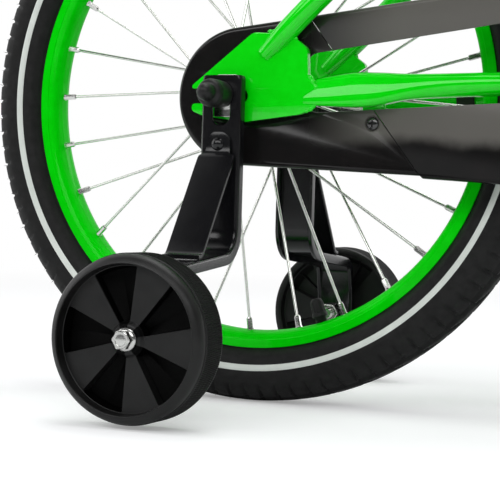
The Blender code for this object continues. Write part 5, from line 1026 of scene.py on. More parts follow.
# %% Dropouts and the guard's tab
def dropout_outline():
    slot = 0.0047
    corners = [
        (-0.0245, -slot - 0.0046, 0.003), (-0.016, -0.0125, 0.006), (0.011, -0.016, 0.01),
        (0.0478, -0.0113, 0.014), (0.0574, -0.0066, 0.005), (0.0582, 0.004, 0.006),
        (0.0526, 0.0125, 0.006), (0.0516, 0.029, 0.006),
        (0.04, 0.0375, 0.01), (0.016, 0.039, 0.008),
        (-0.0245, slot + 0.002, 0.0022), (-0.0245, slot, 0.0009),
        (0.0134, slot, slot * 0.98), (0.0134, -slot, slot * 0.98), (-0.0245, -slot, 0.0022),
    ]
    return eased(corners, 0.001, 8)


GUARD_SCREW_AT = (0.0913, -0.0161)


def plates():
    """Both dropouts, and on the right the tab that holds the chain guard's screw."""
    parts = [side_plate(dropout_outline(), 0.0515, 0.056, side, REAR) for _, side in SIDES]
    x, z = GUARD_SCREW_AT
    half, low, foot = 0.007, z - 0.006, 0.0065
    tab = eased([(x - half, 0.002, 0), (x - half, low), (x + half, low), (x + half, 0.002, 0)], 0.0055, 10)
    parts.append(side_plate(tab, 0.042, 0.0447, -1, REAR, [ring(0.0023, 20, GUARD_SCREW_AT)]))
    parts.append(side_plate(box(x - foot, x + foot, -0.006, 0.003), 0.0425, 0.048, -1, REAR))
    return parts


piece("rear_ends_cut_plate", plates(), GREEN, "frame", crease=40, bevel=0.0011, segments=4)


def bead_line(points, size, ripples):
    """A rippled bead along an open line."""
    path = flowing(points, 12)
    t = linspace(0, 1, len(path))
    radius = size * (1 + 0.14 * sin(t * TAU * ripples)) * clip(minimum(t, 1 - t) / 0.06, 0.25, 1)
    return swept(path, radius, 10, reference=(0.1, 1.0, 0.05))


def rear_end_beads():
    """The stay's mouth is flattened over the plate, and the bead follows that mouth."""
    parts = []
    mouth = mm([(50, -10), (55.5, -7.2), (57.8, -3), (58.2, 3.5), (55.5, 8.8), (52.6, 13)])
    upper = mm([(45, 34), (39, 38), (31, 39), (25, 39.5)])
    for _, side in SIDES:
        for edge, size in ((mouth, 0.0014), (upper, 0.0012)):
            line = joined(edge[:, 0], side * 0.055, edge[:, 1])
            parts.append(moved(bead_line(line, size, 8), REAR))
    return parts


piece("rear_end_weld_beads", rear_end_beads(), GREEN, "frame", crease=60)

# %% [markdown]
# On each end of the rear axle sit a plain nut, the stabiliser's bracket and a long black cap
# nut that ends in a ball. The hexagons have turned corners: their outline is a hexagon, and
# the bevel stands for the chamfer.

# %% Rear axle, nuts and caps
AXLE_RADIUS, NUT_FLATS = 0.0043, 0.015


def nut_part(flats, bore, start, end, side, centre):
    return side_plate(hexagon(flats), start, end, side, centre, [ring(bore, 24)])


def threaded(start, end, radius, pitch=0.001, sides=20):
    """A threaded rod: the radius goes up and down once for each pitch along its length."""
    length = norm(np.subtract(end, start))
    height = linspace(0, length, int(length / pitch * 4) + 1)
    wave = radius - 0.00022 * (1 + cos(height * TAU / pitch))
    return placed(turned(joined(wave, height), sides), along(start, end))


def make_axle_ends():
    caps = mm([
        (0, 0), (7.4, 0), (8.2, 0.8), (8.4, 2), (8.6, 14.5), (8.5, 16), (8.1, 17.4), (7.4, 18.4), (6.6, 19),
        (5.8, 19.6), (5.5, 20.3), (5.5, 21.4), (5.4, 22.8), (5, 24.4), (4.3, 25.8), (3.3, 26.9), (2, 27.7),
        (0, 28),
    ])
    caps = flowing(caps, 2)
    for word, side in SIDES:
        cap = lathe(caps, REAR + side * 0.0667 * ACROSS, side, steps=56, caps=False)
        sided(word, "rear_axle_cap_ball", [cap], SATIN, "frame", "rear_axle_cap", crease=70)
        nut = nut_part(NUT_FLATS, 0.0044, 0.0579, 0.0637, side, REAR)
        w, h = 0.0082, 0.013
        edge = eased([(-w, -h, 0.0004), (w, -h, 0.0004), (w, h), (-w, h)], 0.003)
        washer = side_plate(edge, 0.0563, 0.0579, side, REAR, [ring(0.0045, 24)])
        parts, name = [nut, washer], "rear_axle_nut"
        sided(word, name + "_plated", parts, ZINC, "frame", name, bevel=0.0006, segments=3)
    rod = [threaded(REAR - 0.082 * ACROSS, REAR + 0.082 * ACROSS, AXLE_RADIUS)]
    for start, end in ((-0.045, -0.0512), (0.0462, 0.0512)):
        rod.append(bar(REAR + start * ACROSS, REAR + end * ACROSS, 0.0086, 32))
    piece("rear_axle_threaded", rod, ZINC, "frame", "rear_axle", crease=60)


make_axle_ends()

# %% [markdown]
# The chain guard is moulded in two sections. Its wall follows the belt round both sprockets,
# turns over a rounded edge into the face, and comes back inside as a second skin. The
# windows, the holes and the parting line are cut through both skins.

# %% Chain guard
DRIVE = CRANK - REAR
GUARD_RADIUS = 0.0662
PARTING_TOP, PARTING_LOW = array([0.0923, -0.0083]), array([0.1214, -0.0464])
PARTING_WAY = unit(PARTING_TOP - PARTING_LOW)
PARTING_NORMAL = array([PARTING_WAY[1], -PARTING_WAY[0]])


def offset_loop(loop, inwards):
    """The outline moved inwards along its normals, found from each point's neighbours."""
    way = unit(np.roll(loop, -1, axis=0) - np.roll(loop, 1, axis=0))
    normal = joined(-way[:, 1], way[:, 0])
    area = np.sum(loop[:, 0] * np.roll(loop[:, 1], -1) - np.roll(loop[:, 0], -1) * loop[:, 1])
    return loop + np.sign(area) * normal * inwards


def guard_skin(lift):
    """Rows of the section, as (inwards, distance from the middle plane), carried round the
    outline: up the wall, over the rounded edge, onto the face, and back inside."""
    front = (DRIVE[0], DRIVE[2] + lift / 2)
    loop = belt((0.0043, 0.0008), 0.043, front, GUARD_RADIUS - lift / 2, 96)
    rows = [(0.0018, 0.034), (0.0004, 0.034), (0.0, 0.0344), (0.0, 0.0437)]
    turn = radians(linspace(10, 90, 8))
    rows += [(0.003 - 0.003 * cos(t), 0.0438 + 0.003 * sin(t)) for t in turn]
    rows.append((0.0052, 0.0468))
    inner = [(0.0052, 0.045), (0.0034, 0.0448), (0.0022, 0.044), (0.0018, 0.0428)]
    outer_count, count = len(rows), len(loop)
    loops = [(offset_loop(loop, inwards), height) for inwards, height in rows + inner]
    points = concatenate([joined(line[:, 0], -height, line[:, 1]) for line, height in loops])
    number = arange(len(points)).reshape(len(loops), count)
    faces = []
    for a in [k for k in range(len(loops)) if k != outer_count - 1]:
        near, far = number[a], number[(a + 1) % len(loops)]
        faces += joined(near, np.roll(near, -1), np.roll(far, -1), far).tolist()
    faces += [number[outer_count - 1].tolist(), number[outer_count].tolist()]
    return points + REAR, faces


def guard_cutter(outline):
    return side_plate(outline, 0.02, 0.06, -1, REAR)


def beyond(ahead):
    """A block over everything on one side of the parting line."""
    way, normal = PARTING_WAY, PARTING_NORMAL * (1 if ahead else -1)
    near = PARTING_LOW - normal * 0.0002
    back, front = near - way * 0.3, near + way * 0.3
    return guard_cutter(array([back, front, front + normal * 0.5, back + normal * 0.5]))


def make_guard():
    """Both sections are one skin each, cut by the window, the holes and the parting."""
    window = eased([(0.048, -0.0099), (0.2, -0.0022), (0.2, 0.047), (0.048, 0.026)], 0.008, 14)
    crank_hole = ring(0.022, 64, (DRIVE[0], DRIVE[2]))
    for word, ahead, lift in (("rear", False, 0.0036), ("front", True, 0.0)):
        skin = [guard_skin(lift)]
        guard = sided(word, "chain_guard_moulded", skin, GLOSSY, "frame", "chain_guard")
        cutters = [guard_cutter(window), guard_cutter(crank_hole), beyond(not ahead)]
        if not ahead:
            cutters += [guard_cutter(ring(0.012, 48)), guard_cutter(ring(0.005, 32, GUARD_SCREW_AT))]
        carved(guard, *cutters)
        finish_mesh(guard, 34, 0.00035, 2)
    side = PARTING_NORMAL * 0.0026
    first, last = PARTING_LOW + PARTING_WAY * 0.0024, PARTING_LOW + PARTING_WAY * 0.0452
    outline = eased([first - side, first + side, last + side, last - side], 0.0008)
    tongue = side_plate(outline, 0.0436, 0.0444, -1, REAR)
    piece("chain_guard_tongue_moulded", [tongue], MATT, "frame", slot="black_glossy_plastic")


make_guard()


def make_guard_screw():
    """Countersunk head with a cross recess, set in a shallow dish with a narrow step."""
    place = REAR + [GUARD_SCREW_AT[0], 0, GUARD_SCREW_AT[1]]
    dish = mm([(2.2, 42), (5, 42), (5, 46.8), (4.6, 46.8), (4.1, 45.5), (2.2, 45)])
    piece("guard_screw_seat", [lathe(dish, place, steps=40, closed=True)], GLOSSY, "frame")
    head = mm([
        (0, 47.2), (1.6, 47.1), (2.8, 46.8), (3.6, 46.3), (3.9, 45.9), (2.1, 44.8), (2, 37), (0, 36.8),
    ])
    shape = lathe(head, place, steps=40, caps=False)
    screw = piece("guard_screw_cross", [shape], SCREW_STEEL, "frame", "chain_guard_screw")
    wide, thin = 0.0023, 0.00045
    for w, h in ((wide, thin), (thin, wide)):
        carved(screw, side_plate(box(-w, w, -h, h), 0.0455, 0.048, -1, place))
    finish_mesh(screw, 30)


make_guard_screw()

# %% [markdown]
# A stabiliser hangs on a bracket pressed from sheet: a channel that goes down, turns out
# over the wheel and down again to a tab. Its section, a web with rolled shoulders and two
# flanges, is carried along that path, and the flanges shrink away at the tab. A flat brace
# is riveted to the web and lands on the upper side.

# %% Paths and sections of pressed sheet
def path_frames(path):
    """Normals to the inside of a path in the plane, which starts downwards."""
    way = unit(np.gradient(path, axis=0))
    return joined(way[:, 1], -way[:, 0])


def carried_strip(path, section_of, side):
    """At each path point (distance out, height) a section of (forwards, depth) points is
    set square to the path: forwards is X, and depth runs along the normal."""
    normals = path_frames(path)
    rings = []
    for k, (place, normal) in enumerate(zip(path, normals)):
        section = section_of(k)
        flat = place + section[:, 1:2] * normal
        rings.append(joined(section[:, 0], side * flat[:, 0], flat[:, 1]))
    return moved(patch(np.stack(rings)), REAR)


def channel_section(half, depth, wall=0.0024, roll=0.0026):
    """Web and flanges with rolled shoulders outside and smaller ones inside."""
    steps = radians(linspace(0, 90, 7))
    depth = max(depth, wall + 0.0002)
    roll = min(roll, half - 0.0006, depth - 0.0002)
    small = max(roll - wall, 0.0004)
    right = [(half - roll + roll * sin(t), roll - roll * cos(t)) for t in steps]
    lip, within = depth - 0.0003, half - wall
    edge = [(half, lip), (half - 0.0004, depth), (within + 0.0003, depth), (within, lip)]
    back = [(half - wall - small + small * cos(t), wall + small - small * sin(t)) for t in steps]
    if depth < wall + small + 0.0008:
        back = [(half - wall - small + small * cos(t), depth - 0.0004 + 0.0002 * cos(t)) for t in steps]
    one = array(right + edge + back)
    return concatenate([one, (one * [-1, 1])[::-1]])


def rounded_path(corners, radii, count=14):
    """The arcs in the inner corners of an open path, each with its own radius."""
    corners = array(corners, float)
    return [corner_arc(*corners[k - 1 : k + 2], radius, count) for k, radius in enumerate(radii, 1)]


print("pressed section of", len(channel_section(0.0132, 0.0072)), "points")

# %% [markdown]
# The bracket's slot is cut with a flare, the hole at its foot takes the wheel's bolt. The
# brace starts as a round tab under the rivet and lands on the bracket's shoulder.

# %% Brackets, braces and rivets
BRACKET_OUT, TAB_OUT = 0.0664, 0.149
ELBOW, SHOULDER = -0.0956, -0.103
BRACKET_HALF, BRACKET_DEEP = 0.0132, 0.0072
BOLT_BACK, BOLT_LOW = -0.0025, -0.1435
BOLT_AT = REAR + [BOLT_BACK, 0, BOLT_LOW]


def bracket_path():
    """Down the web, round the elbow, out above the wheel, over the shoulder, to the tab."""
    top = 0.012
    down = array([(BRACKET_OUT, top), (BRACKET_OUT, top - 0.0008), (BRACKET_OUT, top - 0.003)])
    corners = [(BRACKET_OUT, 0.02), (BRACKET_OUT, ELBOW), (TAB_OUT, SHOULDER), (TAB_OUT, -0.128)]
    elbow, shoulder = rounded_path(corners, (0.015, 0.012))
    between = linspace(elbow[-1], shoulder[0], 6)[1:-1]
    straight = linspace(down[-1], elbow[0], 8)[1:-1]
    tab = joined(TAB_OUT, mm([-124, -130, -136, -143.5, -148.5, -151.8, -154.2, -155.8, -156.6]))
    return concatenate([down, straight, elbow, between, shoulder, tab])


def slot_cutter(side):
    """The slot's outline at four distances: it flares at the web's outer face, so that the
    edge is left with a narrow chamfer."""
    half, top, low = 0.006, 0.007, -0.0186
    loops = []
    for grow, out in ((0.0, 0.06), (0.0, BRACKET_OUT - 0.0005), (0.0005, BRACKET_OUT), (0.0005, 0.07)):
        h, high, deep = half + grow, top + grow, low - grow
        outline = eased([(-h, high, 0.003), (-h, deep), (h, deep), (h, high, 0.003)], 0.98 * h, 12)
        loops.append(joined(outline[:, 0], side * out, outline[:, 1]))
    return moved(patch(np.stack(loops)), REAR)


def make_bracket(word, side):
    """The channel narrows to a round end below the bolt and grows flatter on the tab."""
    path = bracket_path()
    height = path[:, 1]
    far = path[:, 0] > 0.148
    below = clip((BOLT_LOW - height) / BRACKET_HALF, 0, 1)
    half = where(far, BRACKET_HALF * sqrt(clip(1 - below**2, 0.012, 1)), BRACKET_HALF)
    half[:2] -= [0.001, 0.0003]
    shrink = clip((-0.112 - height) / 0.02, 0, 1)
    depth = where(far, BRACKET_DEEP + (0.0028 - BRACKET_DEEP) * shrink, BRACKET_DEEP)
    shape = carried_strip(path, lambda k: channel_section(half[k], depth[k]), side)
    name = "stabiliser_bracket"
    bracket = sided(word, name + "_pressed", [shape], ENAMEL, "frame", name, crease=45)
    hole = side_plate(ring(0.0042, 32, (BOLT_BACK, BOLT_LOW)), 0.14, 0.152, side, REAR)
    carved(bracket, slot_cutter(side), hole)
    finish_mesh(bracket, 35)


def brace_section(half, wall=0.0025, soft=0.0006):
    inner = half - soft
    right = [(inner, 0.0), (half - 0.2 * soft, 0.2 * soft), (half, soft), (half, wall - soft), (inner, wall)]
    return array(right + [(-x, z) for x, z in right[::-1]])


def make_brace(word, side):
    """Round-ended tab under the rivet, a sharp bend, the long slope, and a short foot on
    the shoulder. Under the bend the strap is wider than the tab."""
    start, rivet, tab, wide = 0.0692, -0.0304, 0.0081, 0.0121
    slope = (ELBOW - SHOULDER) / (TAB_OUT - BRACKET_OUT)
    top = radians(linspace(84, 0, 9))
    rows = [(start, rivet + tab * sin(t), max(tab * cos(t), 0.0009)) for t in top]
    bend = rivet - 0.0056
    under = [(0.1, 4.0, 8.2), (0.4, 2.2, 8.3), (0.9, 0.3, 8.5), (1.5, -0.4, 10.0), (2.1, -1.2, 11.6)]
    rows += [(start + out, bend + up, half) for out, up, half in mm(under)]
    out = mm([111.8, 113, 114.6, 117.5])
    ground = joined(out, ELBOW - slope * (out - BRACKET_OUT) + 0.0028)
    run = linspace((start + 0.003, bend - 0.0026), ground[0] + [0, 0.0018], 10)
    rows += [(y, z, wide if k else 0.012) for k, (y, z) in enumerate(run)]
    rows += [(ground[1, 0], ground[1, 1] + 0.0006, wide)] + [(y, z, wide) for y, z in ground[2:]]
    rows = array(rows)
    strip = carried_strip(rows[:, :2], lambda k: brace_section(rows[k, 2]), side)
    name = "stabiliser_brace"
    sided(word, name + "_strap", [strip], ENAMEL, "frame", name, crease=30)
    dome = mm([
        (0, 71.7), (1.4, 71.57), (2.7, 71.1), (3.8, 70.2), (4.2, 69.4), (4.2, 69), (2.4, 68.8), (2.4, 63.7),
        (4.2, 63.7), (3.6, 62.4), (0, 61.8),
    ])
    rivet_part = lathe(dome, REAR + [0, 0, rivet], side, steps=40, caps=False)
    piece("stabiliser_rivet_" + word, [rivet_part], ENAMEL, "frame", crease=50)


for word, side in SIDES:
    make_bracket(word, side)
    make_brace(word, side)

# %% [markdown]
# The stabiliser wheel is moulded in one. Its face is worked out on a grid of radius and
# angle: the height is that of the ring's section, and between the five petals it falls into
# deep pockets. The tread carries fine slanting ribs up to a step near the face.

# %% Stabiliser wheels
PETAL_CENTRES = radians(67 - 72 * arange(5))


def wheel_rows():
    """The section as (radius, distance from the middle plane), from the bore round the
    back, the tread and the face to the hub, and the kind of each row."""
    floor = concatenate([mm([40.9, 40.6, 40.3]), linspace(0.0396, 0.011, 24), mm([10.6, 10.3])])
    runs = [
        ("plain", mm([(4.5, 149.4), (7, 149.4), (8.2, 149.6), (8.8, 150.4), (9.4, 156), (9.8, 159.2)])),
        ("hollow", joined(linspace(0.0104, 0.0416, 17), 0.1594)),
        ("plain", mm([
            (42.2, 159), (42.7, 157.5), (42.8, 154.5), (43, 153.8), (43.8, 153.4), (46.2, 153.4),
            (47.3, 153.9), (47.9, 154.9),
        ])),
        ("tread", joined(0.048, linspace(0.1556, 0.1744, 16))),
        ("plain", mm([
            (48, 175), (47.6, 175.3), (47.4, 175.7), (47.5, 176.3), (47.4, 177.3), (47, 178.6),
            (46.3, 179.8), (45.4, 180.8), (44.4, 181.5), (43.5, 182), (42.9, 182.3), (42.5, 182.4),
            (42.2, 182.2), (42, 181.8), (41.9, 181), (41.6, 178.6), (41.4, 177), (41.2, 176.4),
        ])),
        ("face", joined(floor, 0.1762)),
        ("plain", mm([(10, 176.4), (9.3, 177.2), (8.6, 178), (7.8, 178.4), (6.2, 178.5), (4.5, 178.5)])),
    ]
    kinds = np.repeat([kind for kind, _ in runs], [len(points) for _, points in runs])
    return concatenate([points for _, points in runs]), kinds


def petal_share(angle):
    """1 on a petal and 0 in a pocket, by the distance from the nearest petal's middle. The
    petal's edge is broken by a narrow slope before the pocket's wall."""
    away = np.min(np.abs((angle[:, None] - PETAL_CENTRES + pi) % TAU - pi), axis=1)
    return clip((radians(17.4) - away) / radians(0.45), 0, 1), away


def make_stabiliser_wheel(word, side):
    """Each row of the section is turned by one array of angles; pockets and ribs are
    taken from its distance outwards, the tread's fine ribs from its radius."""
    rows, kinds = wheel_rows()
    steps = 720
    angle = circle(steps)
    share, away = petal_share(angle)
    at, out = rows[:, :1], rows[:, 1:]
    face, hollow, tread = (kinds[:, None] == kind for kind in ("face", "hollow", "tread"))
    inside = clip(minimum(at - 0.0104, 0.0406 - at) / 0.0006, 0, 1)
    deeper = 0.002 * clip((away - radians(18)) / radians(18), 0, 1)
    fall = (1 - share) * (0.0058 + deeper) + 0.0002 * (share < 1)
    rise = clip(minimum(at - 0.0114, 0.0405 - at) / 0.0012, 0, 1)
    ribs = clip(1.2 - away / radians(1.2), 0, 1)
    depth = out - where(face, inside * fall, 0)
    depth = depth + where(hollow, rise * (0.007 * share - 0.002 * ribs * share), 0)
    slant = angle * 240 + (out - 0.156) * 420
    radius = at - where(tread, 0.00024 * (1 + sin(slant)), 0)
    grid = joined(radius * cos(angle), side * depth, radius * sin(angle))
    shape = moved(patch(grid, along=True), BOLT_AT)
    turn = circle(240)
    beads = []
    for r, y in ((0.0424, 0.1824), (0.0476, 0.1757)):
        line = joined(r * cos(turn), side * y, r * sin(turn))
        beads.append(moved(swept(line, 0.0003, 8, closed=True), BOLT_AT))
    name, body = "stabiliser_wheel_moulded_" + word, "stabiliser_wheel_" + word
    made = piece(name, [shape, *beads], SATIN, body, body, crease=32)
    for other in (POCKET_SHADE, ROLLED):
        made.data.materials.append(other)
    # Faces in the pockets between the petals take the darker copy of the plastic as painted shade, and the
    # tread faces take the tread plastic.
    pocket = face | (at < 0.011) & (out > 0.17)
    look = 1 * (pocket & (share < 0.5)) + 2 * np.broadcast_to(tread, grid.shape[:2])
    index = np.zeros(len(made.data.polygons), int)
    index[: look.size] = look.ravel()
    made.data.polygons.foreach_set("material_index", index)


def make_stabiliser_bolt(word, side):
    """Flanged hexagon head with a dished top, and a nut on the back with the bolt's end."""
    base = 0.1788
    flange = mm([(0, 2.6), (4.9, 2.6), (6, 1.8), (6.7, 1.2), (7, 0.6), (6.8, 0), (0, 0)]) + [0, base]
    dish = mm([(0, 5.6), (2.8, 5.6), (3.4, 6.4), (4.6, 6.4), (5, 5.8), (5, 2), (0, 2)]) + [0, base]
    head = side_plate(hexagon(0.01), base + 0.001, base + 0.006, side, BOLT_AT)
    parts = [head, lathe(flange, BOLT_AT, side, caps=False)]
    name = "stabiliser_bolt"
    sided(word, name + "_flanged", parts, ZINC, "frame", name, bevel=0.0005, segments=3)
    ends = [BOLT_AT + side * out * ACROSS for out in (0.135, base + 0.001)]
    top = [lathe(dish, BOLT_AT, side, steps=40, caps=False), threaded(*ends, 0.004)]
    piece("stabiliser_bolt_dish_" + word, top, ZINC, "frame", crease=30)
    nut = nut_part(0.013, 0.004, 0.1392, 0.1459, side, BOLT_AT)
    name = "stabiliser_nut"
    sided(word, name + "_plated", [nut], ZINC, "frame", name, bevel=0.0006, segments=3)


for word, side in SIDES:
    make_stabiliser_wheel(word, side)
    make_stabiliser_bolt(word, side)

# %% [markdown]
# The drive is a bush roller chain on two sprockets. A chain repeats one link many times, so
# one plate, one roller and one pin are made once, each with few faces, and copied along the
# loop by array sums: every copy is its pin's place plus the part's points turned to the link.

# %% Chain
PITCH = 0.0127
CHAINLINE = 0.04
RING_TEETH, COG_TEETH = 28, 14
RING_RADIUS, COG_RADIUS = (PITCH / (2 * sin(pi / teeth)) for teeth in (RING_TEETH, COG_TEETH))
CENTRES = np.hypot(DRIVE[0], DRIVE[2])
DRIVE_LEAN = np.arctan2(DRIVE[2], DRIVE[0])


def repeated(part, origins, first, second, third):
    """Copies of one part: each copy's points are its origin plus x, y and z times that
    copy's three directions."""
    points, faces = part
    count = len(origins)
    ways = np.stack([np.broadcast_to(way, (count, 3)) for way in (first, second, third)], axis=1)
    copies = origins[:, None] + np.einsum("pk,nkd->npd", points, ways)
    shifts = (arange(count) * len(points)).tolist()
    return copies.reshape(-1, 3), [[corner + shift for corner in face] for shift in shifts for face in faces]


def chain_pins():
    """Pins in order round the loop: on the chainring, straight to the sprocket, round it,
    and the same below, all turned by the lean of the line between the two centres."""
    ring_angle = arange(8) * TAU / RING_TEETH
    on_ring = [CENTRES, 0] + RING_RADIUS * joined(cos(ring_angle), sin(ring_angle))
    cog_angle = pi - arange(3, -1, -1) * TAU / COG_TEETH
    on_cog = COG_RADIUS * joined(cos(cog_angle), sin(cog_angle))
    share = arange(1, 22)[:, None] / 22
    half = concatenate([on_ring, on_ring[-1:] * (1 - share) + on_cog[:1] * share, on_cog])
    c, s = cos(DRIVE_LEAN), sin(DRIVE_LEAN)
    flat = both_halves(half) @ array([[c, s], [-s, c]])
    return REAR + joined(flat[:, 0], -CHAINLINE, flat[:, 1])


def link_plate(low, high):
    """A plate with round ends of one radius about both pins and a narrower waist."""
    left = arc((0, 0), 0.0036, 70, 290, 7)
    right = arc((PITCH, 0), 0.0036, -110, 110, 7)
    waist = array([(PITCH / 2, -0.0026)])
    return slab(concatenate([left, waist, right, waist * [1, -1]]), low, high)


def make_chain():
    """Inner and outer plates on every other link, and a roller and a pin at every place."""
    pins = chain_pins()
    way = unit(np.roll(pins, -1, axis=0) - pins)
    up = np.cross(way, -ACROSS)
    parts = []
    for first, near in ((0, 0.0016), (1, 0.0027)):
        for side in (-1, 1):
            low, high = sorted((side * near, side * (near + 0.0009)))
            plate, odd = link_plate(low, high), slice(first, None, 2)
            parts.append(repeated(plate, pins[odd], way[odd], up[odd], ACROSS))
    roller = turned(mm([(3.7, -1.5), (3.8, -1.2), (3.8, 1.2), (3.7, 1.5)]), 12)
    pin = turned(mm([(1.2, -4.2), (1.7, -4), (1.7, 4), (1.2, 4.2)]), 8)
    parts += [repeated(part, pins, way, up, ACROSS) for part in (roller, pin)]
    piece("chain_links", parts, CHAIN_STEEL, "frame", "chain", crease=35)
    print("links", len(pins), "drive centres", round(float(CENTRES), 5))


make_chain()

# %% [markdown]
# A sprocket's tooth form comes from the rollers: each pocket is an arc a little wider than a
# roller about its pin, and the teeth are what is left between two pockets, with blunt tips.
# All the teeth's points come from one array of angles.

# %% Sprockets
def toothed(teeth, radius, first):
    """Pocket arcs about the pins and tooth tips half-way between them, on one outline."""
    pin = first + arange(teeth)[:, None] * TAU / teeth
    swing = radians(array([-62.0, -40, -20, 0, 20, 40, 62]))
    tip = mm([2, 2.7, 2.7, 2])
    out = concatenate([radius - 0.0041 * cos(swing), radius + tip])
    aside = concatenate([0.0041 * sin(swing), PITCH / 2 + mm([-1.2, -0.5, 0.5, 1.2])])
    x = out * cos(pin) - aside * sin(pin)
    y = out * sin(pin) + aside * cos(pin)
    return joined(x, y).reshape(-1, 2)


def make_sprockets():
    low, high = CHAINLINE - 0.0011, CHAINLINE + 0.0011
    outline = toothed(COG_TEETH, COG_RADIUS, pi + DRIVE_LEAN)
    cog = side_plate(outline, low, high, -1, REAR, [ring(0.014, 48)])
    driver = mm([
        (4.8, 34.1), (15, 34.1), (15.6, 34.6), (15.6, 38), (15, 38.6), (15, 41.2), (15.6, 41.4), (15.6, 42.4),
        (14.8, 42.6), (14.6, 43.7), (11.6, 43.8), (11.2, 43.2), (4.8, 43),
    ])
    parts, node_name = [cog, lathe(driver, REAR, steps=56, closed=True)], "rear_sprocket"
    name = node_name + "_toothed"
    piece(name, parts, CHAIN_STEEL, node_name, node_name, crease=30, bevel=0.0002, segments=1)
    outline = toothed(RING_TEETH, RING_RADIUS, DRIVE_LEAN)
    angle = TAU * (arange(5) + 0.5) / 5
    middles = 0.62 * RING_RADIUS * joined(cos(angle), sin(angle))
    holes = [ring(0.0078, 32)] + [ring(0.2 * RING_RADIUS, 32, middle) for middle in middles]
    wheel = side_plate(outline, low, high, -1, CRANK, holes)
    boss = mm([(7.8, 37.8), (15, 37.8), (16.2, 38.6), (16.2, 41.4), (7.8, 41.4)])
    parts = [wheel, lathe(boss, CRANK, closed=True)]
    piece("chainring_toothed", parts, CHAIN_STEEL, "crankset", "chainring", crease=30, bevel=0.0003)


make_sprockets()

# %% [markdown]
# The bearings screw into the shell from both sides. Each cup shows a flange with six notches
# for a hooked spanner, and the arms of the guard's bracket are trapped under the right one.

# %% Bottom bracket and the guard's bracket
def notched(radius, notches, depth, share):
    """A circle whose radius falls by a depth over a share of each of its equal sectors."""
    angle = circle(notches * 24)
    phase = (angle * notches / TAU) % 1.0
    fall = depth / (1 + np.exp((np.abs(phase - 0.5) - share / 2) * 90))
    return (radius - fall)[:, None] * joined(cos(angle), sin(angle))


def make_bottom_bracket():
    for word, side, start in (("right", -1, 0.0358), ("left", 1, 0.0343)):
        bore = [ring(0.009, 32)]
        flange = side_plate(notched(0.0185, 6, 0.002, 0.16), start, start + 0.002, side, CRANK, bore)
        race = mm([(7.9, -14), (16.2, -14), (16.2, 0), (14, 1.2), (9.2, 2.4), (7.9, 2.4)]) + [0, start]
        inner = lathe(race, CRANK, side, closed=True)
        parts, name = [flange, inner], "bottom_bracket_cup"
        sided(word, name + "_notched", parts, ZINC, "frame", name, bevel=0.0003)
    half = mm([(6.6, 59), (7.4, 58.2), (7.4, 30), (8.2, 28.5)])
    spindle = concatenate([half * [1, -1], half[::-1]])
    shape = lathe(spindle, CRANK, steps=40)
    piece("bottom_bracket_spindle_turned", [shape], ZINC, "crankset", "bottom_bracket_spindle")


def make_guard_bracket():
    """Three tapering arms at a third of a turn from each other, joined round the bore."""
    reach = GUARD_RADIUS - 0.0016 - 0.0012
    swing = radians(array([-42, -20, -8, -5, -4.2, 4.2, 5, 8, 20, 42]))
    out = array([0.024, 0.0243, 0.0265, 0.03, reach, reach, 0.03, 0.0265, 0.0243, 0.024])
    angle = (radians([90, 210, 330])[:, None] + swing).ravel()
    outline = np.tile(out, 3)[:, None] * joined(cos(angle), sin(angle))
    plate = side_plate(outline, 0.0343, 0.0355, -1, CRANK, [ring(0.0165, 48)])
    piece("chain_guard_bracket_pressed", [plate], ZINC, "frame", "chain_guard_bracket", bevel=0.0003)


make_bottom_bracket()
make_guard_bracket()

# %% [markdown]
# The crank arms are forged: thick at the boss, lighter towards the pedal, with soft edges and
# a shallow channel pressed along the outer face. The arm is one surface: rings of a rounded
# section are laid along its length, and their width, depth and channel follow smooth laws.

# %% Crank arms and bolts
CRANK_LENGTH = 0.11


def arm_part(forward, side):
    """Rings along the arm: width runs from the boss's to the end's as a smooth step, both
    ends close as half circles, and the outer face dips along the middle."""
    length, boss, tip = CRANK_LENGTH, 0.0165, 0.011
    turn = linspace(0, pi / 2, 16)
    start, end = -boss * cos(turn), length + tip * sin(turn)
    run = linspace(0, length, 60)[1:-1]
    share = clip(run / length, 0, 1)
    smooth_share = share * share * (3 - 2 * share)
    waist = 0.0006 * sin(pi * share)
    x = concatenate([start, run, end])
    middle = boss + (tip - boss) * smooth_share - waist
    half = concatenate([boss * sin(turn), middle, tip * cos(turn)])
    half = maximum(half, 0.0004)
    angle = circle(64)
    square = lambda wave: np.sign(wave) * np.abs(wave) ** 0.42
    across, depth = square(cos(angle)), square(sin(angle))
    thick = 0.006 - 0.0008 * sin(pi * clip(x / length, 0, 1))
    channel = clip((x - 0.024) / 0.01, 0, 1) * clip((0.092 - x) / 0.01, 0, 1)
    dip = 0.0011 * channel[:, None] * clip(1.5 - 2.6 * np.abs(across), 0, 1) * (depth > 0)
    near_end = sqrt(clip(half / 0.0045, 0, 1))
    y = 0.056 + thick[:, None] * near_end[:, None] * depth - dip
    z = half[:, None] * across
    return moved(patch(joined(forward * x[:, None], side * y, z)), CRANK)


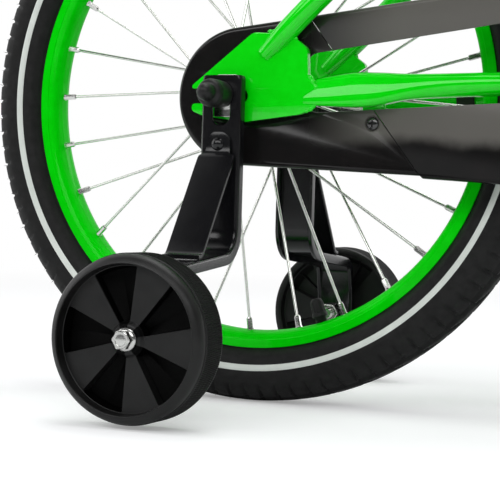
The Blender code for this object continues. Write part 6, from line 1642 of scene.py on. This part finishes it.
def make_cranks():
    for word, side in SIDES:
        forward = -side
        foot = CRANK + [forward * CRANK_LENGTH, 0, 0]
        boss = mm([(7.8, 41.4), (14.8, 41.4), (15.6, 42.4), (15.8, 56), (7.8, 56)])
        eye = mm([
            (10.2, 56), (10.2, 61.7), (9.8, 62.2), (6.6, 62.2), (6.2, 63.6), (4.5, 63.7),
            (4.5, 141), (0, 141.2),
        ])
        parts = [
            arm_part(forward, side),
            lathe(boss, CRANK, side, closed=True),
            lathe(eye, foot, side, steps=40),
        ]
        sided(word, "crank_arm_forged", parts, ENAMEL, "crankset", "crank_arm", crease=50)
        dome = mm([(0, 65.2), (3, 65.1), (6, 64.6), (8.2, 63.7), (9.4, 62.6), (9.8, 61.7)])
        skirt = mm([(7.2, 61.7), (7.2, 59.5), (0, 59.5)])
        cap = lathe(concatenate([flowing(dome, 4), skirt]), CRANK, side, steps=56, caps=False)
        made = sided(word, "crank_bolt_cap", [cap], ZINC, "crankset", "crank_bolt", crease=40)
        w, h = 0.0042, 0.0007
        outline = eased(box(-w, w, -h, h), 0.0006)
        finish_mesh(carved(made, side_plate(outline, 0.0641, 0.067, side, CRANK)), 40)


make_cranks()

# %% [markdown]
# A child's pedal is one moulded block: two treads joined by end cheeks to a barrel that turns
# on the axle. Rows of low ribs on both faces keep the shoe from slipping, and an amber
# reflector is set into the front and the back edge, as the rules for bicycles ask.

# %% Pedals
def make_pedal(word, side):
    """Block, ribs and reflectors lie with Y along the axle, negated on the right side."""
    centre = CRANK + [-side * CRANK_LENGTH, side * 0.064, 0]
    half, length = 0.039, 0.086
    edge = eased(box(-half, half, 0.0, length), 0.0085, 8)
    windows = []
    for way in (-1, 1):
        near, far = sorted((way * 0.0105, way * 0.024))
        windows.append(eased(box(near, far, 0.01, length - 0.01), 0.0025, 5))
    flat = lambda part: moved((part[0] * [1, side, 1], part[1]), centre)
    start, end = centre + side * 0.004 * ACROSS, centre + side * (length - 0.004) * ACROSS
    parts = [flat(slab(edge, -0.0104, 0.0104, windows)), bar(start, end, 0.0104, 40)]
    body = "pedal_" + word
    piece("pedal_block_" + word, parts, MATT, body, body, bevel=0.0016, segments=3)
    w, h = 0.0066, 0.0014
    rib = slab(eased(box(-w, w, -h, h), 0.001, 3), -0.012, 0.012)
    rows = linspace(0.012, length - 0.012, 10)
    places = array([[way * 0.0312, row, 0.0] for way in (-1, 1) for row in rows])
    ribs = flat(repeated(rib, places, [1, 0, 0], [0, 1, 0], [0, 0, 1]))
    button = mm([(0, 87), (5, 86.9), (7.2, 86.4), (7.8, 85.6), (7.8, 84), (0, 84)])
    cap = lathe(button, centre, side, steps=40, caps=False)
    piece("pedal_ribs_" + word, [ribs, cap], MATT, body, bevel=0.0004)
    lens = []
    outline = eased(box(0.018, 0.068, -0.0068, 0.0068), 0.003, 6)
    points, faces = slab(outline, 0.0372, 0.0398)
    for way in (-1, 1):
        lens.append(flat((joined(way * points[:, 2], points[:, 0], points[:, 1]), faces)))
    piece("pedal_reflectors_" + word, lens, AMBER, body, bevel=0.0008, segments=3)


for word, side in SIDES:
    make_pedal(word, side)

# %% [markdown]
# A coaster brake needs a reaction arm: a strip of plated steel from the axle's left end to a
# clip round the chain stay. A rib is pressed along the strip so that it does not bend.

# %% Coaster brake arm and its clip
ARM_TIP = (0.125, -0.019)


def make_brake_arm():
    tip = array([ARM_TIP[0], 0.0, ARM_TIP[1]])
    holes = [ring(0.0046, 24), ring(0.0026, 20, ARM_TIP)]
    strip = side_plate(belt((0, 0), 0.0135, ARM_TIP, 0.0065, 24), 0.0434, 0.0458, 1, REAR, holes)
    cone = mm([(4.7, 34), (11.8, 34), (12.1, 34.5), (12.1, 44.6), (4.7, 44.6)])
    way = unit(tip)
    start, end = REAR + way * 0.019 + [0, 0.0456, 0], REAR + tip - way * 0.013 + [0, 0.0456, 0]
    share = linspace(0, 1, 40)[:, None]
    swell = 0.0003 + 0.003 * sqrt(clip(sin(pi * share), 0, 1))
    rib = swept(start + (end - start) * share, np.column_stack([swell, 0.45 * swell]), 16)
    parts = [strip, lathe(cone, REAR, 1, steps=40, closed=True), rib]
    piece("coaster_brake_arm_ribbed", parts, ZINC, "frame", "coaster_brake_arm", crease=45, bevel=0.0005)


def make_brake_clip():
    """A band whose inner and outer rings are the stay's oval grown by a gap and a wall."""
    rows = flowing(STAYS, 8)
    x = linspace(0.119, 0.131, 7)
    at = np.stack([interp(x, rows[:, 0], rows[:, k]) for k in range(1, 5)], axis=1)
    angle = circle(48)
    loops = []
    for grow, order in ((0.0021, slice(None)), (0.0003, slice(None, None, -1))):
        y = at[order, :1] + (at[order, 3:4] + grow) * cos(angle)
        z = at[order, 1:2] + (at[order, 2:3] + grow) * sin(angle)
        loops.append(joined(x[order, None], y, z))
    band = moved(patch(concatenate(loops), along=True), REAR)
    outline = eased(box(0.1196, 0.1304, -0.025, 0.002), 0.003)
    centre = REAR + [ARM_TIP[0], 0, ARM_TIP[1]]
    parts = [
        band,
        side_plate(outline, 0.0461, 0.0479, 1, REAR),
        side_plate(hexagon(0.008), 0.0479, 0.0509, 1, centre),
        side_plate(hexagon(0.008), 0.0398, 0.0431, 1, centre),
        threaded(centre + 0.038 * ACROSS, centre + 0.047 * ACROSS, 0.0025, 0.0007, 16),
    ]
    # The clip gets the green-black steel as painted shade.
    piece("brake_arm_clip_band", parts, CLIP_SHADE_STEEL, "frame", "brake_arm_clip", bevel=0.0003)


make_brake_arm()
make_brake_clip()

# %% [markdown]
# The fork is steered, so everything on it is built in the steering axis's own frame, with Z
# along the axis and X ahead of it, and carried to its place by one matrix. The legs leave the
# crown sideways, turn down, and taper as they sweep forwards to the slotted ends.

# %% Fork
STEERING = Matrix.Translation(Vector(STEER)) @ Matrix.Rotation(LEAN - pi / 2, 4, "Y")
FORK_LEG = mm([
    (0, 8, 225.4), (0, 29, 224), (0, 44, 210.2), (0, 50, 180.8), (1, 51, 113), (10, 50, 58.8), (28.5, 50, 17),
])


def fork_end(side):
    """The slotted plate: its outline in the steering frame, open downwards."""
    middle, half, slot = 0.03, 0.0125, 0.0047
    left, right, near, far = middle - half, middle + half, middle - slot, middle + slot
    corners = [
        (left, -0.0099, 0.004), (near, -0.011, 0.001), (near, slot, 0.00469), (far, slot, 0.00469),
        (far, -0.011, 0.001), (right, -0.0099, 0.004), (right, 0.013, 0.004),
        (middle + 0.0045, 0.027, 0.002), (middle - 0.0085, 0.027, 0.002), (left, 0.013, 0.004),
    ]
    return side_plate(eased(corners, 0.004, 7), 0.048, 0.052, side, 0)


def make_fork():
    crown = mm([
        (11.2, 362), (12.2, 362), (12.7, 361.4), (12.7, 239.9), (18.4, 239.7), (19.8, 239), (20.2, 237.6),
        (19.4, 230), (18.6, 226.8), (17.2, 226), (10, 225.6), (10, 246), (11.2, 246.5),
    ])
    parts = [placed(turned(crown, 64, closed=True), STEERING)]
    joint = on_steerer(0.2246)
    for _, side in SIDES:
        path = flowing(FORK_LEG * [1, side, 1], 14)
        share = linspace(0, 1, len(path))
        size = interp(share, [0, 0.66, 0.84, 1.0], [0.0112, 0.0112, 0.0098, 0.008])
        parts.append(placed(swept(path, size, 36, reference=(1.0, 0.0, 0.0)), STEERING))
        leg = joint + side * 0.03 * ACROSS - 0.0006 * UP_TUBE
        parts.append(weld(leg, joint, 0.0112, joint, UP_TUBE, 0.0192, 0.0017, 20))
    piece("fork_painted", parts, GREEN, "fork", "fork", crease=50)
    for word, side in SIDES:
        piece("fork_end_" + word, [placed(fork_end(side), STEERING)], GREEN, "fork", bevel=0.0008, segments=3)


make_fork()

# %% [markdown]
# The front axle is a threaded rod with a cone on each side of the hub, and a nut with a
# washer face outside each fork end.

# %% Front axle and headset
def make_front_axle():
    rod = [threaded(FRONT - 0.0645 * ACROSS, FRONT + 0.0645 * ACROSS, AXLE_RADIUS)]
    cone = mm([(4.4, 40.4), (6.2, 40.4), (8, 41.6), (8, 47.6), (4.4, 47.6)])
    rod += [lathe(cone, FRONT, side, steps=32, closed=True) for _, side in SIDES]
    piece("front_axle_threaded", rod, ZINC, "fork", "front_axle", crease=60)
    face = mm([(4.5, 52.3), (9.2, 52.3), (9.4, 52.7), (9, 53.5), (4.5, 53.6)])
    for word, side in SIDES:
        nut = [nut_part(NUT_FLATS, 0.0044, 0.0534, 0.0597, side, FRONT)]
        nut.append(lathe(face, FRONT, side, steps=40, closed=True))
        name = "front_axle_nut"
        sided(word, name + "_plated", nut, ZINC, "fork", name, bevel=0.0006, segments=3)


def make_headset():
    """Two turned cups: skirt, waist and rolled edge, mirrored about the head tube's middle."""
    rows = mm([
        (13, 0.3), (18, 0.3), (18.8, 1), (20.6, 2.6), (21.2, 4), (21.2, 7), (20.7, 7.8),
        (19.6, 8.6), (18.8, 10), (18.5, 11.5), (13, 11.5),
    ])
    lower = placed(turned(rows + [0, 0.24], 64, closed=True), STEERING)
    piece("headset_lower_cup_turned", [lower], ZINC, "frame", "headset_lower_cup", crease=40)
    upper = turned((rows * [1, -1])[::-1] + [0, 0.3492], 64, closed=True)
    ring_nut = slab(notched(0.0186, 8, 0.001, 0.3), 0.3475, 0.349, [ring(0.0131, 40)])
    parts = [placed(part, STEERING) for part in (upper, ring_nut)]
    piece("headset_upper_cup_turned", parts, ZINC, "frame", "headset_upper_cup", crease=40)


make_front_axle()
make_headset()

# %% [markdown]
# The stem is a quill with a forged head. The bar passes through a split clamp that one bolt
# closes from below, and the quill's own bolt has its head on top. The bar rises in two bends
# on each side and sweeps back to the grips.

# %% Stem and handlebar
BAR_LEFT = mm([
    (38, 0, 445), (38, 36, 445), (38, 62, 454), (35.8, 116, 522.4), (31.4, 138, 532.3), (16, 250, 535),
])


def make_stem():
    """Quill, arm, clamp, lug and both bolts, in the steering frame."""
    quill = mm([
        (0, 297.5), (10, 297.5), (10.9, 298.4), (10.9, 427), (14.2, 427.2), (14.9, 428),
        (15, 456), (14.6, 457.4), (13.6, 458.3), (7.2, 458.5), (7, 457.8), (0, 457.8),
    ])
    share = linspace(0, 1, 30)[:, None]
    waist = sin(pi * share)
    start, end = array([0.002, 0, 0.4425]), array([0.036, 0, 0.445])
    sizes = np.column_stack([0.012 - 0.0015 * waist, 0.013 - 0.0012 * waist])
    arm = swept(start + (end - start) * share, sizes, 40)
    clamp = mm([(11.3, -20), (16.3, -20), (16.8, -19.4), (16.8, 19.4), (16.3, 20), (11.3, 20)])
    eye = lathe(clamp, BAR_LEFT[0], 1, steps=56, closed=True)
    outline = eased(box(0.034, 0.0515, 0.423, 0.436), 0.0035)
    lug = side_plate(outline, -0.0105, 0.0105, 1, 0)
    top_bolt = slab(hexagon(0.01), 0.4575, 0.4632)
    low_bolt = moved(turned(mm([(2.4, 415), (3, 415.6), (3, 430), (0, 430)]), 20), [0.044, 0, 0])
    parts = [turned(quill, 56, caps=False), arm, eye, lug, top_bolt, low_bolt]
    parts = [placed(part, STEERING) for part in parts]
    piece("stem_forged", parts, ZINC, "handlebar", "stem", crease=40, bevel=0.0006)


def bar_line():
    """The whole bar's middle line, right to left, in the steering frame."""
    half = flowing(BAR_LEFT[1:], 16)
    half = concatenate([BAR_LEFT[:1], half])
    return concatenate([(half * [1, -1, 1])[:0:-1], half])


def make_handlebar():
    tube = placed(swept(bar_line(), 0.0111, 36, reference=(1.0, 0.0, 0.0)), STEERING)
    piece("handlebar_tube", [tube], ENAMEL, "handlebar", "handlebar", crease=50)


def make_grip(word, side):
    """A sleeve whose radius swells into ribs along its length, a flange at the inner end and
    a rounded button at the outer one."""
    inner, end = (BAR_LEFT[k] * [1, side, 1] for k in (-2, -1))
    run = linspace(-0.0955, -0.004, 260)
    ribs = clip(0.5 + 0.9 * cos(run * TAU / 0.0051), 0, 1)
    palm = 0.0149 + 0.0007 * sin(pi * (run + 0.0955) / 0.0915)
    sleeve = joined(palm + 0.0008 * ribs, run)
    flange = mm([
        (11.4, -102), (19.8, -102), (20.9, -101.4), (21.2, -100), (20.9, -98.4), (19.8, -97.6), (16.8, -97),
    ])
    button = mm([(16, -3), (16.2, -0.8), (15.6, 1.6), (14, 3.4), (11, 4.2), (5, 4.4), (0, 4.4)])
    profile = concatenate([flange, sleeve, button])
    way = unit(end - inner)
    grip = placed(placed(turned(profile, 56), along(end, end + way)), STEERING)
    sided(word, "grip_ribbed", [grip], MATT, "handlebar", "grip", crease=45)


make_stem()
make_handlebar()
for word, side in SIDES:
    make_grip(word, side)

# %% [markdown]
# The seat post is a plain plated tube. Its clamp holds the saddle's two rails between
# serrated cheeks with one cross bolt, and a split collar closes the seat tube round the post.

# %% Seat post, clamp, rails and collar
SEAT_HEAD = on_seat_tube(0.303) + [0, 0, 0.021]


def make_seat_post():
    low, high = on_seat_tube(0.085), on_seat_tube(0.315)
    wall = mm([(11, 0), (12.1, 0), (12.7, 0.6), (12.7, 229.3), (12, 230), (11, 230)])
    post = placed(turned(wall, closed=True), along(low, high))
    piece("seat_post_plated", [post], ZINC, "seat", "seat_post")


def make_clamp():
    sleeve = turned(mm([(12.9, 0), (15.4, 0), (16, 0.6), (16, 27.4), (15.4, 28), (12.9, 28)]), closed=True)
    parts = [placed(sleeve, along(on_seat_tube(0.285), on_seat_tube(0.315)))]
    parts.append(bar(SEAT_HEAD - 0.0175 * ACROSS, SEAT_HEAD + 0.0175 * ACROSS, 0.0108, 40))
    for _, side in SIDES:
        cheek = side_plate(notched(0.011, 40, 0.0007, 0.5)[::4], 0.0262, 0.03, side, SEAT_HEAD)
        hub = side_plate(ring(0.011, 40), 0.0172, 0.0188, side, SEAT_HEAD)
        nut = side_plate(hexagon(0.012), 0.03, 0.0355, side, SEAT_HEAD)
        parts += [cheek, hub, nut]
    parts.append(bar(SEAT_HEAD - 0.037 * ACROSS, SEAT_HEAD + 0.037 * ACROSS, 0.0036, 24))
    piece("saddle_clamp_cheeks", parts, ENAMEL, "seat", "saddle_clamp", bevel=0.0005)


def make_rails():
    """One wire: from the left tail forwards, round the nose, and back on the right."""
    half = SEAT_HEAD + mm([
        (-85, 27.5, 15), (-68.9, 24.6, 9), (-34, 22, 0), (34, 22, 0), (76.7, 17.6, 5), (98.7, 11, 10),
    ])
    nose = SEAT_HEAD + mm([(105, 0, 11.6)])
    path = flowing(concatenate([half, nose, half[::-1] * [1, -1, 1]]), 12)
    wire = swept(path, 0.0035, 24, reference=(0.0, 0.0, 1.0))
    piece("saddle_rails_bent", [wire], ZINC, "seat", "saddle_rails")


def make_collar():
    band = mm([(15.8, 0), (18.4, 0), (18.8, 0.5), (18.8, 13.5), (18.4, 14), (15.8, 14)])
    parts = [placed(turned(band, 56, closed=True), along(on_seat_tube(0.2207), on_seat_tube(0.24)))]
    foot = on_seat_tube(0.2277) - FORWARD * 0.0232
    lug = mm([(0, 0.9), (6, 0.9), (6.5, 1.4), (6.5, 5.2), (6, 5.7), (0, 5.7)])
    for side in (-1, 1):
        parts.append(lathe(lug, foot, side, steps=32, caps=False))
        parts.append(side_plate(hexagon(0.008), 0.0057, 0.0092, side, foot))
    parts.append(bar(foot - 0.009 * ACROSS, foot + 0.009 * ACROSS, 0.0028, 20))
    piece("seat_collar_split", parts, ENAMEL, "frame", "seat_collar", bevel=0.0004)


make_seat_post()
make_clamp()
make_rails()
make_collar()

# %% [markdown]
# The saddle is foam under black vinyl on a moulded pan. Its cover is worked out as rings
# across its length: a wide round tail, a taper to the nose, and a dish where the rider sits.
# The closed form is remeshed, blown up a little as a cloth under pressure so that it swells
# between its edges as foam does, and then subdivided. Its seams are laid on afterwards.

# %% Saddle shape
SADDLE_BASE = SEAT_HEAD[2] + 0.0188
SADDLE_SPAN = 0.235
SADDLE_TAIL = SEAT_HEAD[0] - 0.42 * SADDLE_SPAN


def saddle_laws(t):
    """Half width and rise at shares of the length: a cosine taper, round ends, and a dish."""
    taper = 0.5 + 0.5 * cos(pi * clip((t - 0.12) / 0.62, 0, 1))
    tail = sqrt(maximum(0.012, 1 - (1 - minimum(1, t / 0.14)) ** 2))
    nose = sqrt(maximum(0.012, 1 - (1 - minimum(1, (1 - t) / 0.12)) ** 2))
    dish = where(t < 0.5, 0.78 + 0.22 * cos(TAU * t), 0.56 + 0.28 * (t - 0.5))
    return 0.078 * (0.26 + 0.74 * taper) * tail * nose, 0.042 * dish * (0.45 + 0.55 * tail * nose)


def saddle_at(t, angle, grow=0.0):
    """Points of the cover at shares of the length and angles round the section, shrunk or
    grown by a distance along the section's own radius."""
    half, rise = saddle_laws(t)
    swell = clip((sin(angle) + 0.35) / 1.35, 0, None)
    x = SADDLE_TAIL + t * SADDLE_SPAN
    y = (half + grow) * np.sign(cos(angle)) * np.abs(cos(angle)) ** 0.9
    z = SADDLE_BASE + clip(rise + grow, 0.002, None) * swell
    return joined(x, y, z)


def swollen(made, cap):
    """Runs the cover as a cloth under inner pressure and lets no point move further than
    the cap, nor below the pan's edge."""
    remesh = made.modifiers.new("even_mesh", "REMESH")
    remesh.mode, remesh.voxel_size = "VOXEL", 0.0045
    bake(made)
    start = array([v.co[:] for v in made.data.vertices])
    cloth = made.modifiers.new("foam_pressure", "CLOTH")
    cloth.settings.use_pressure = True
    cloth.settings.uniform_pressure_force = 4.0
    cloth.settings.effector_weights.gravity = 0.0
    for step in range(1, 21):
        scene.frame_set(step)
    bake(made)
    scene.frame_set(1)
    end = array([v.co[:] for v in made.data.vertices])
    shift = end - start
    length = norm(shift, axis=1, keepdims=True)
    end = start + shift * minimum(1, cap / maximum(length, 1e-9))
    end[:, 2] = maximum(end[:, 2], SADDLE_BASE)
    made.data.vertices.foreach_set("co", end.ravel())
    made.data.update()


def make_saddle():
    """Rings at shares of the length that crowd towards both ends, swollen and smoothed."""
    t = 0.5 - 0.5 * cos(linspace(0.0, pi, 60))
    angle = (arange(56) + 0.5) * TAU / 56 - pi / 2
    grid = saddle_at(t[:, None], angle[None, :], -0.003)
    made = piece("saddle_cover", [patch(grid)], VINYL, "seat", "saddle", crease=180)
    swollen(made, 0.005)
    made.data.materials.clear()
    made.data.materials.append(VINYL)
    smooth = made.modifiers.new("soft", "SUBSURF")
    smooth.levels = smooth.render_levels = 1
    bake(made)
    made.data.shade_smooth()
    return made


SADDLE = make_saddle()
print("saddle", len(SADDLE.data.polygons), "faces")

# %% [markdown]
# The cover is sewn from a top and two side panels, so a raised seam with a row of stitches on
# each side runs from the tail to the nose, and a rolled welt closes the cover on its pan. Each
# line is laid out on the saddle's formula and then dropped onto the swollen cover.

# %% Saddle seams, welt and pan
def on_cover(points):
    """The nearest places on the finished cover to the given points, with its normals."""
    tree = BVHTree.FromObject(SADDLE, bpy.context.evaluated_depsgraph_get())
    hits = [tree.find_nearest(Vector(p)) for p in points]
    return array([hit[0][:] for hit in hits]), array([hit[1][:] for hit in hits])


def make_seams():
    """Cords and stitches at two angles of the section; the welt is the outline itself,
    smoothed by the mean of each point and its neighbours."""
    t = linspace(0.035, 0.965, 150)
    upwards = (0.0, 0.0, 1.0)
    spindle = mm([(0, -1.2), (0.32, -0.9), (0.4, 0), (0.32, 0.9), (0, 1.2)])
    stitch = placed(turned(spindle, 6, caps=False), Matrix.Rotation(pi / 2, 4, "Y"))
    row, count = linspace(0, len(t) - 1, 62), arange(len(t))
    cords, stitches = [], []
    for low in (0.62, pi - 0.62):
        foot, normal = on_cover(saddle_at(t, np.full(len(t), low)))
        cords.append(swept(foot + 0.0001 * normal, 0.0011, 10, reference=upwards))
        way = unit(np.gradient(foot, axis=0))
        aside = np.cross(way, normal)
        at, w, a = (joined(*(interp(row, count, v[:, k]) for k in range(3))) for v in (foot, way, aside))
        for shift in (-0.0026, 0.0026):
            place, n = on_cover(at + shift * unit(a))
            stitches.append(repeated(stitch, place, unit(w), unit(a), unit(n)))
    piece("saddle_seams", cords, VINYL, "seat", crease=180)
    piece("saddle_stitches", stitches, STRIPE, "seat", slot="saddle_vinyl", crease=180)
    turn = circle(240)
    share = 0.5 - 0.5 * cos(turn)
    half, _ = saddle_laws(share)
    across = where(turn < pi, 1, -1) * half * 0.985
    edge = joined(SADDLE_TAIL + share * SADDLE_SPAN, across, SADDLE_BASE + 0.0022)
    edge = 0.25 * np.roll(edge, 1, axis=0) + 0.5 * edge + 0.25 * np.roll(edge, -1, axis=0)
    welt = swept(edge, 0.0021, 12, reference=upwards, closed=True)
    piece("saddle_welt", [welt], VINYL, "seat", crease=180)
    inside = edge * [1, 0.955, 1] + [0, 0, -0.003]
    parts = [slab(inside[::2, :2], SADDLE_BASE - 0.0012, SADDLE_BASE + 0.0012)]
    height = SADDLE_BASE - 0.001
    for y, reach in ((-0.034, 0.09), (0.0, 0.11), (0.034, 0.09)):
        start, end = [SEAT_HEAD[0] - 0.07, y, height], [SEAT_HEAD[0] + reach, y * 0.6, height]
        parts.append(bar(start, end, 0.0022, 12))
    piece("saddle_pan", parts, MATT, "seat", crease=40)


make_seams()
